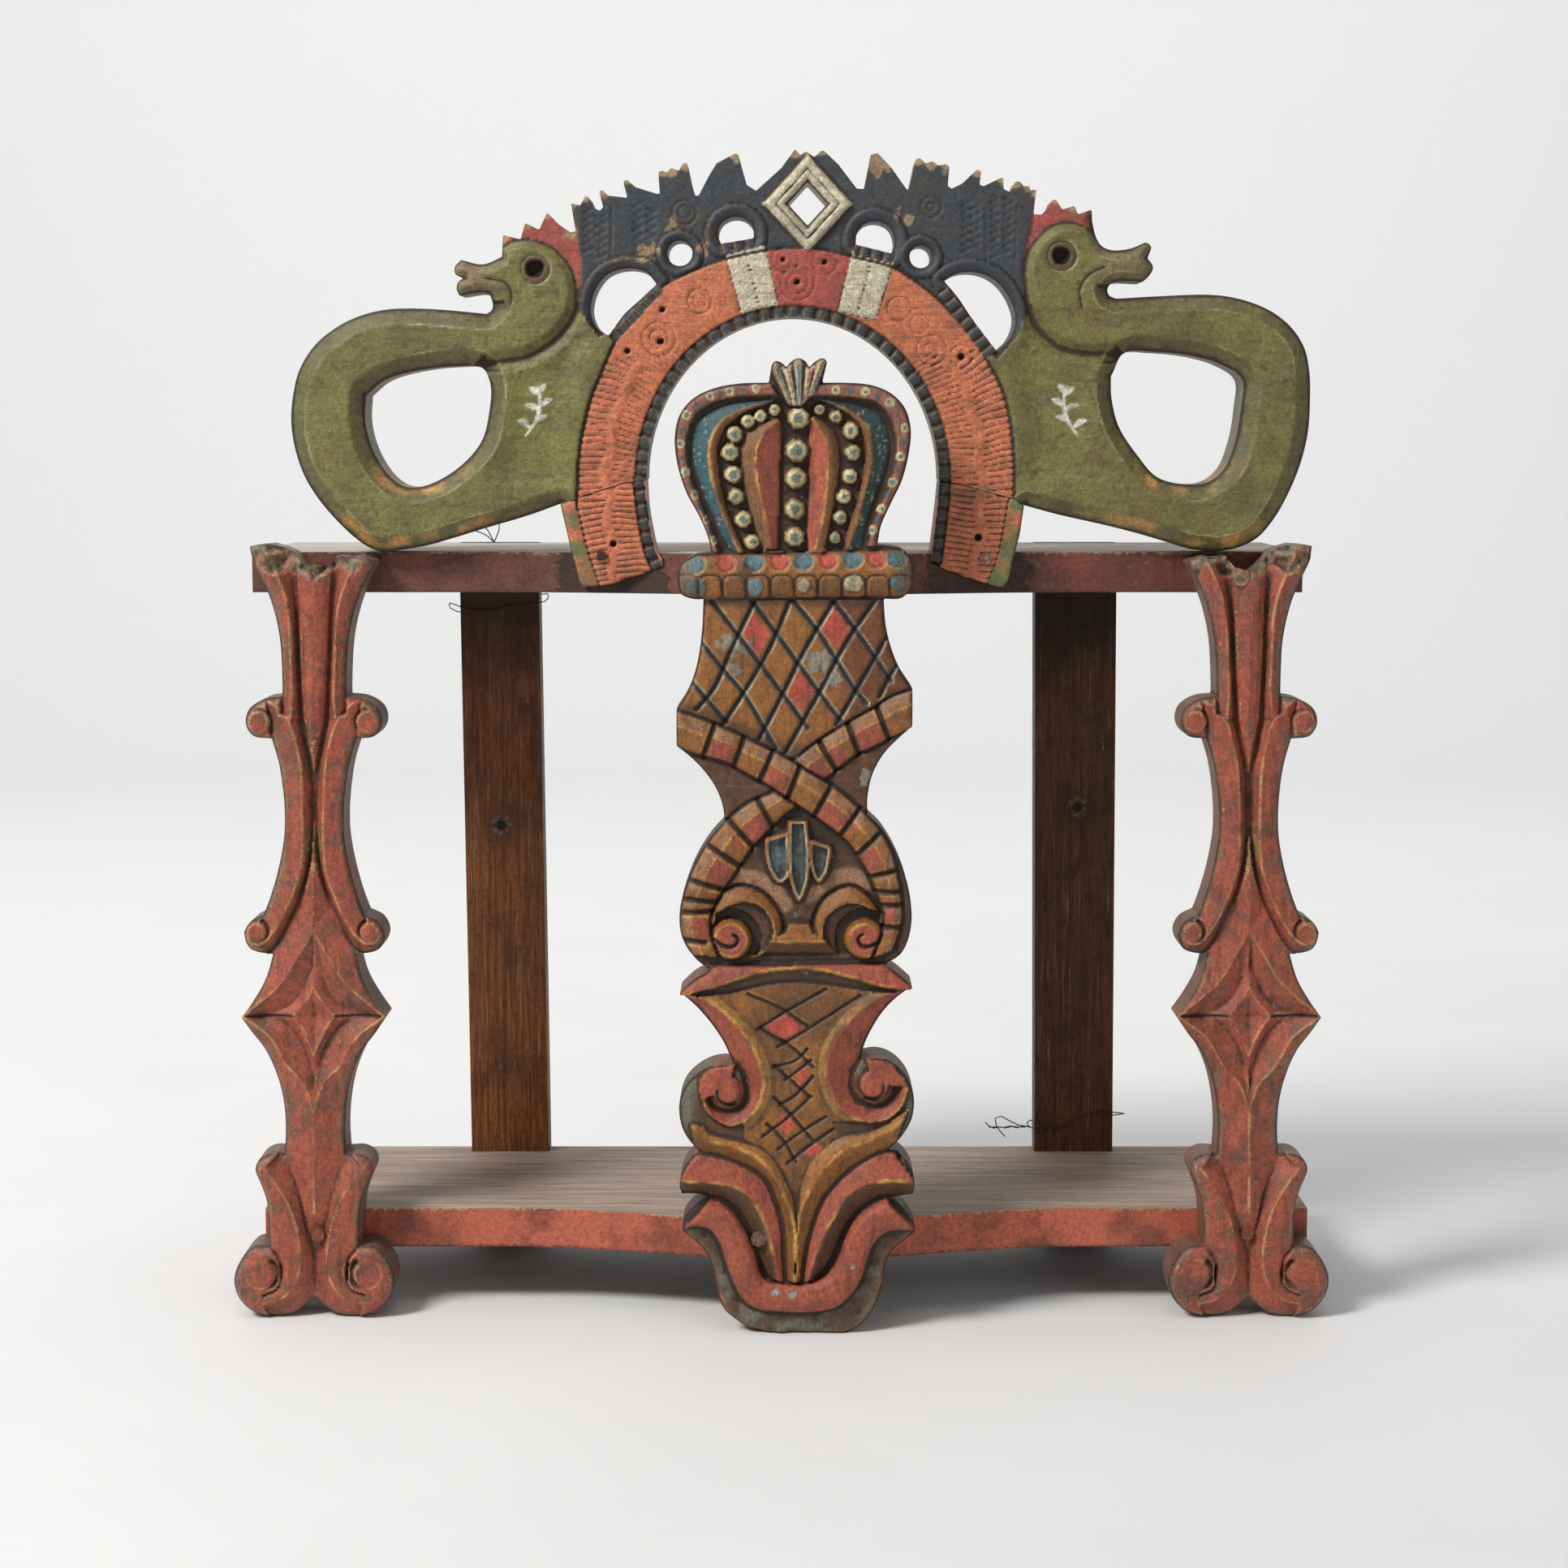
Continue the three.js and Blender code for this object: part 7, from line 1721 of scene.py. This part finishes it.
def lattice(board):
    """The crossed teal grooves between the ribbons and the band, with red and ochre lozenges."""
    zone = (board.z > 300) & (board.z < 402)
    board.colour[zone] = DARK_BROWN
    board.level(zone, -5.6)
    panel = board.within(np.vstack([[(-60, 399), (-60, 341)], smooth_line(FALLING_TOP[:5]),
                                    smooth_line(RISING_TOP)[::-1], [(72, 399)]]))
    board.colour[panel] = OCHRE_BROWN
    board.level(panel, -3.4 - 1.6 * unit(1 - board.edge / 2.2))
    board.tint((board.x - 18) / 26 + 0.3 * board.noise(12, 14), RED_BROWN, panel, 0.85)
    for ring in (((-21.4, 381), (-14.6, 392), (-6, 381.6), (-12, 370)),
                 ((19.6, 384), (28, 395), (36.8, 384), (29.6, 372)),
                 ((2.6, 350), (9.8, 362.6), (17.6, 351.4), (10.6, 339.6))):
        board.colour[board.within(ring)] = LOZENGE_RED
    falling = (((-39, 401), (-12, 366), (14, 331)), ((-16, 399), (4, 372), (20, 350), (32, 334)),
               ((4, 401), (18, 384), (40, 350), (45, 344)), ((27, 399), (40, 382), (58, 356)),
               ((-44, 378.5), (-30, 361), (-20, 349), (-3, 320)), ((-48, 356), (-36, 342), (-29, 334)))
    rising = (((-45, 341), (-36, 352), (-26, 374), (-14, 399)),
              ((-31, 333), (-20, 350), (-6, 374), (5, 400)), ((-12, 325), (0, 348), (12, 372), (28, 399)),
              ((2, 318), (20, 350), (34, 376), (51, 401)), ((29, 333), (40, 352), (52, 373), (57, 383)),
              ((52, 348), (57, 358), (63, 368)))
    for group, tone in ((rising, 0.55), (falling, 0.95)):
        for line in group:
            at = board.near(smooth_line(line), 5)
            board.h -= np.where(panel, 2.6 * unit(1 - at.dist / 1.7), 0)
            board.tint(unit((1.55 - at.dist) / 0.4) * 0.95, TEAL * tone, panel)
            pale = unit(1 - np.abs(at.dist - 1.8) / 0.45) * (at.side > 0 if tone > 0.9 else at.side < 0)
            board.tint(pale * unit(0.75 + board.noise(8, 15)), CREAM * 0.9, panel)
    for x, z, radius in ((-25, 375, 5), (20, 367, 6), (-26, 363, 3), (26, 358, 3), (44, 304, 4)):
        gap = np.hypot((board.x - x) * 0.7, board.z - z) + 3.4 * board.noise(2.6, 16)
        board.tint((radius - gap) / 0.6, BARE_PATCH, zone, 0.85)
    shade = board.near(smooth_line(FALLING_TOP[:6]), 9).dist
    board.tint((9 - shade) / 9, UMBER, panel, 0.65)
    board.tint((board.z - 394) / 5, UMBER, panel, 0.7)


def jewelled_band(board):
    """The rolled band under the crown: blue and red ovals above, brown scallops with stones below."""
    ring = ring_of([[(-36, 423.6), (-46, 422.6), (-52.4, 418), (-55.8, 410), (-53, 402), (-46, 398.8)],
                    [(-46, 398.8), (0, 399.8), (56, 399.4), (64, 400), (70, 407), (70.2, 418), (65, 425),
                     (56, 427.6), (30, 425), (0, 423.5), (-36, 423.6)]])
    mask = board.within(ring)
    board.colour[mask] = OCHRE_BROWN
    middle = 411.6 + 0.022 * (board.x + 10)
    height = unit(np.abs(board.z - middle) / 12.4)
    level = -5.4 + 6.6 * np.sqrt(1 - height ** 2.2)
    ends = unit((np.abs(board.x - 7) - 50) / 13)
    board.level(mask, level - 6.5 * ends ** 2.2)
    board.tint((board.z - 415) / 3, DARK_BROWN, mask, 0.5)
    ovals = [(-45.5, 0), (-29.5, 1), (-14.6, 0), (-1, 1), (11.5, 0), (24.5, 1), (37.5, 0), (50.2, 1),
             (61, 0)]
    for x, red in ovals:
        z = 418.6 + 0.03 * (x + 10)
        reach = np.hypot((board.x - x) / 5.6, (board.z - z) / 4.9) + 0.06 * board.noise(3, 17)
        board.h -= np.where(mask & (reach < 1.1), 1.5 * np.clip(1.1 - reach, 0, 0.35) / 0.35, 0)
        shade = LOZENGE_RED * 1.02 if red else TEAL
        board.tint((1 - reach) / 0.1, shade, mask)
        board.tint(unit(1 - np.abs(reach - 1.06) / 0.1) * 0.7, GOLD, mask & (board.z < z + 3))
    for i, x in enumerate(np.arange(-50, 66, 12.6)):
        reach = (np.abs((board.x - x) / 6.2) ** 3 + np.abs((board.z - 405.5) / 7) ** 3) ** (1 / 3)
        board.h -= np.where(mask & (board.z < 413), 1.0 * unit(1 - np.abs(reach - 1) / 0.22), 0)
        board.tint(unit(1 - np.abs(reach - 1) / 0.16) * 0.75, UMBER, mask & (board.z < 413))
        board.tint((0.8 - reach) / 0.2, DARK_BROWN, mask & (board.z < 413) & (i % 2 == 0), 0.6)
    for x, z, radius, shade in ((-14.4, 406, 4.6, TEAL * 1.4), (12, 407, 3.4, CREAM * 0.7),
                                (38, 408, 4.8, CREAM * 0.8), (61, 409, 4, TEAL),
                                (-20, 413, 3.6, DARK_BROWN), (-45, 406, 5, TEAL * 0.7)):
        gap = board.gap_to(x, z) + 0.9 * board.noise(2.4, 18)
        board.tint((radius - gap) / 0.7, shade, mask, 0.9)
        board.h += np.where(mask & (gap < radius + 1), 0.7 * unit(1 - gap / (radius + 1)) ** 0.5, 0)
        board.tint(1 - np.abs(gap - radius - 0.5) / 0.6, UMBER, mask, 0.8)
    rings = np.abs(np.sin((np.abs(board.x - 7) + 0.02 * (board.z - 412) ** 2) * math.pi / 2.4))
    board.h -= np.where(mask & (ends > 0.25), 0.5 * rings, 0)
    board.tint(0.5 * rings, UMBER, mask & (ends > 0.3))
    board.tint(0.4, GREY_GREEN, mask & (ends > 0.3))


def crown(board):
    """The crown: a studded rim, blue and red panels, three rows of pearls and a finial."""
    zone = (board.z > 424) & (board.z < 513.4)
    board.colour[zone] = PINK_BROWN
    board.level(zone, -5.6)
    rim_left = [(-34, 424), (-37, 431), (-40, 440), (-45, 452), (-49.5, 466), (-50.6, 480), (-48.6, 491),
                (-43, 499), (-34, 504), (-20, 506.4), (-2, 507)]
    rim_right = [(46, 426), (48.4, 437), (53, 449), (58.4, 461), (61, 475), (60.4, 487), (57, 496),
                 (50.6, 502.6), (40, 505.6), (28, 506.4), (16, 506.4)]
    rims = [smooth_line(rim_left), smooth_line(rim_right)]
    inner = board.within(np.vstack([rims[0], rims[1][::-1]]))
    gap = board.near(rims, 12).dist
    board.level(zone & ~inner, -1.6 - 2.0 * unit(1 - board.edge / 2.2))
    board.level(zone & inner, np.maximum(-1.6 - 5.5 * unit(gap / 3.4), -7))
    board.tint((3.6 - gap) / 2, UMBER, zone & inner, 0.85)
    for line in (rim_left, rim_right):
        board.edging(line, 0.5, GOLD, 0.5, 0.6)
    left_ribs = ([(-27, 424), (-33, 435), (-40, 450), (-46, 465), (-49, 480), (-45.6, 494), (-30, 502.4),
                  (-5, 505.4)],
                 [(-22, 424), (-26, 432), (-33.6, 450), (-37.6, 468), (-37.6, 482), (-31, 493.6),
                  (-20, 499.6), (-3, 502.4)],
                 [(-19, 424), (-22.6, 432), (-29.6, 450), (-33, 468), (-33, 481), (-28, 490), (-18, 496),
                  (-3, 501)])
    right_ribs = ([(43.6, 426), (48, 448), (53, 462), (57, 475), (57, 487), (52, 496.6), (40, 502.4),
                   (18, 506)],
                  [(36, 426), (38.4, 435), (43, 450), (47, 466), (48, 478), (45.6, 489), (38, 497.6),
                   (20, 503)],
                  [(33, 426), (34.6, 435), (39.6, 450), (43, 466), (43.8, 478), (41.6, 488), (35, 494.6),
                   (18, 501)])
    for ribs in (left_ribs, right_ribs):
        board.strip(ribs[0], ribs[1], [(0, -6.4), (0.3, -5.0), (1, -2.4)],
                    CROWN_BLUE if ribs is left_ribs else CROWN_GREEN)
        board.strip(ribs[1], ribs[2], [(0, -1.4), (0.4, -1.2), (1, -4.6)], RIB_BROWN)
        board.edging(ribs[1], 0.6, GOLD, 0.9, 0.4)
    specks = (board.noise(1.1, 19) > 0.62) & (np.abs(board.noise(9, 20)) < 0.55)
    blue = board.has_colour(CROWN_BLUE) | board.has_colour(CROWN_GREEN)
    board.tint(0.5, CREAM, blue & specks)
    left_inner = ([(-14, 424), (-17.4, 436), (-20.6, 452), (-22.6, 468), (-22, 480), (-16, 489), (-4, 496)],
                  [(-4.6, 426), (-8, 440), (-11.6, 456), (-13.4, 470), (-12.6, 480), (-8, 487.6),
                   (-1, 493)],
                  [(-2, 426), (-1, 450), (0, 493)])
    right_inner = ([(26, 426), (28.6, 444), (30.4, 462), (30.6, 478), (27.6, 488), (17, 496.6)],
                   [(18, 426), (21.4, 440), (23.6, 456), (24.4, 470), (23.6, 482), (16, 494.6)],
                   [(13.6, 426), (14, 450), (14.6, 494)])
    for outer, ridge, foot in (left_inner, right_inner):
        board.strip(outer, ridge, [(0, -6.2), (0.5, -3.0), (1, -1.6)], RIB_BROWN)
        board.strip(ridge, foot, [(0, -1.6), (0.2, -2.4), (1, -4.4)],
                    POST_RED * (0.72 if ridge[0][0] < 0 else 1.1))
        board.edging(ridge, 0.6, GOLD, 1.0, 0.2)
    pearls = [(9, 494.5, 6), (8, 477.5, 6.2), (7.6, 463, 5.8), (7, 446.8, 5.6), (7, 432.2, 5.4),
              (-3.5, 498.6, 3.2), (-11, 495.6, 3.4), (-17.6, 492.8, 3.8), (-24.6, 486.2, 4.4),
              (-27, 476.6, 4.8), (-25.6, 465, 4.6), (-24, 453.4, 4.4), (-20, 441.4, 4.6),
              (-15.6, 429.6, 4.2), (20, 499, 3), (28.6, 495, 3.6), (36.4, 488, 4.6), (37.6, 476.4, 4.4),
              (36, 464, 4.2), (33, 453.4, 4), (31, 442.4, 3.8), (28.4, 431.6, 3.2)]
    channels = [[(9, 502), (8, 478), (7, 426)],
                [(-3, 499), (-18, 493), (-25, 486), (-27, 476), (-25.6, 465),
                                                (-20, 441), (-14, 425)],
                [(19, 499.6), (29, 495), (36.6, 488), (37.6, 476), (36, 464), (31, 442), (28, 427)]]
    for channel, reach in zip(channels, (6.6, 4.9, 4.9)):
        at = board.near(smooth_line(channel), 9)
        sunk = unit((reach - at.dist) / 1.2)
        board.h = board.h * (1 - sunk) + (-6.8 + 0.5 * board.noise(2.6, 21)) * sunk
        board.tint(sunk * 0.9, PINK_BROWN * 0.42)
    for x, z, radius in pearls:
        dx, dz = np.abs(board.x - x), np.abs(board.z - z)
        gap = np.maximum(np.maximum(dx, dz), (dx + dz) * 0.72) + 0.25 * board.noise(2, 22)
        face = gap < radius
        board.level(face, -5.6 + 0.95 * radius * np.sqrt(unit(1 - (gap / radius) ** 2.4)) + 0.6)
        board.colour[face] = PEARL
        board.tint((gap - 0.74 * radius) / 0.8, OCHRE_BROWN * 0.7, face, 0.75)
        centre = gap + 0.9 * board.noise(1.7, 23) < 0.42 * radius
        board.tint(0.85, TEAL * 0.85, face & centre)
    studs = [(-35.5, 430.5), (-39.5, 441.4), (-45.5, 454), (-50.6, 466), (-53.3, 481), (-50, 496),
             (-37.5, 506), (-27, 508.2), (-13.5, 510), (28.6, 509), (44, 508), (57, 502.6), (64.6, 489.6),
             (62.5, 474.6), (58.5, 460.8), (52.6, 447), (48.2, 436)]
    for x, z in studs:
        gap = board.gap_to(x, z) + 0.5 * board.noise(1.8, 24)
        board.tint((2.7 - gap) / 0.5, PEARL, most=0.9)
        board.tint((1.4 - gap) / 0.4, TEAL * 0.8, most=0.9)
    for (x, z), (u, v) in zip(studs, studs[1:]):
        if np.hypot(u - x, v - z) < 20:
            gap = board.gap_to((x + u) / 2, (z + v) / 2) + 0.7 * board.noise(2, 25)
            board.tint((1.7 - gap) / 0.5, CROWN_BLUE, most=0.85)
            gap = board.gap_to(x * 0.25 + u * 0.75, z * 0.25 + v * 0.75) + 0.9 * board.noise(2, 26)
            board.tint((1.3 - gap) / 0.5, POST_RED, most=0.7)
    finial(board)


def finial(board):
    """Three lobes with teal, red and cream stripes that fan out of the crown's top."""
    ring = np.array([(4, 501), (0, 504), (-6.8, 514), (-7, 527), (25, 527), (22, 514), (15, 505),
                     (11, 501)], float)
    mask = board.within(ring)
    board.colour[mask] = DARK_BROWN
    board.level(mask, -5)
    lobes = (([(5.6, 500), (-4.4, 524)], 3.0, TEAL * 0.5, TAN * 0.7),
             ([(12.6, 500), (22, 525)], 3.4, TEAL * 0.8, TAN),
             ([(7.6, 500), (1.6, 526)], 3.6, POST_RED, CREAM * 0.8),
             ([(11.4, 500), (15.8, 526)], 3.2, POST_RED * 0.9, TAN),
             ([(9.6, 500), (8.8, 527)], 3.6, TEAL * 0.7, TEAL))
    for points, width, first, second in lobes:
        at = board.near(smooth_line(points), 8)
        reach = width * (0.5 + 0.6 * at.share)
        across = unit(at.dist / reach)
        body = mask & (across < 1)
        board.level(body, np.maximum(board.h, -4.6 + 5.0 * np.sqrt(1 - across ** 2)))
        board.tint(1, second, body & (at.side > 0))
        board.tint(1, first, body & (at.side <= 0))
        board.tint(0.6, CREAM, body & (np.abs(at.dist - 0.35 * reach) < 0.5))
        board.tint((across - 0.75) / 0.15, DARK_BROWN, body, 0.8)
    board.tint((board.z - 520) / 3 + 0.4 * board.noise(3, 27), TAN, mask, 0.8)
    board.h -= np.where(mask, 2.2 * unit(1 - board.edge / 2.6), 0)


def centre_post(material):
    """The centre post, from the worn foot up to the crown."""
    board = Relief([ring_of(CENTER_POST_OUTLINE)], 0.8, -111, -76.3, DARK_BROWN, 500)
    board.h -= 5
    cup_ground(board)
    vase(board)
    cup_and_leaves(board)
    lattice(board)
    volutes_and_drops(board)
    ribbons(board)
    crown(board)
    jewelled_band(board)
    board.h -= 1.6 * unit(1 - board.edge / 1.6)
    board.relax(0.4)
    board.hand_work(0.16)
    board.wall_colour = board.colour * 0.35 + DARK_BROWN * 0.65
    piece = board.mesh("center_post_carved", material, wall_bare=0.15)
    stand_for(piece, "center_post")


make_camera()
make_stage()
post_paint = painted_wood("post_paint", (1, 1, 0.12), worn=POST_WORN, wear=0.6, dirt_and_shade=0.5)
bow_paint = painted_wood("bow_paint", (0.12, 1, 1), wear=0.35, chips=0.8, dirt_and_shade=0.85, glaze=BOW_GLAZE)
centre_paint = painted_wood("centre_paint", (1, 1, 0.12), worn=CENTRE_WORN, wear=0.34, dirt_and_shade=1.1)
side_post("side_post_left", -1, post_paint)
side_post("side_post_right", 1, post_paint)
bow(bow_paint)
centre_post(centre_paint)
dress_plain_pieces()
bow_foot("bow_foot_left", LEFT_FOOT, [(-107.5, 403.4), (-113.7, 422.4), (-119.5, 448.2)], bow_paint)
bow_foot("bow_foot_right", RIGHT_FOOT, [(131, 447.2), (125.8, 419.2), (120.2, 403.4)], bow_paint)
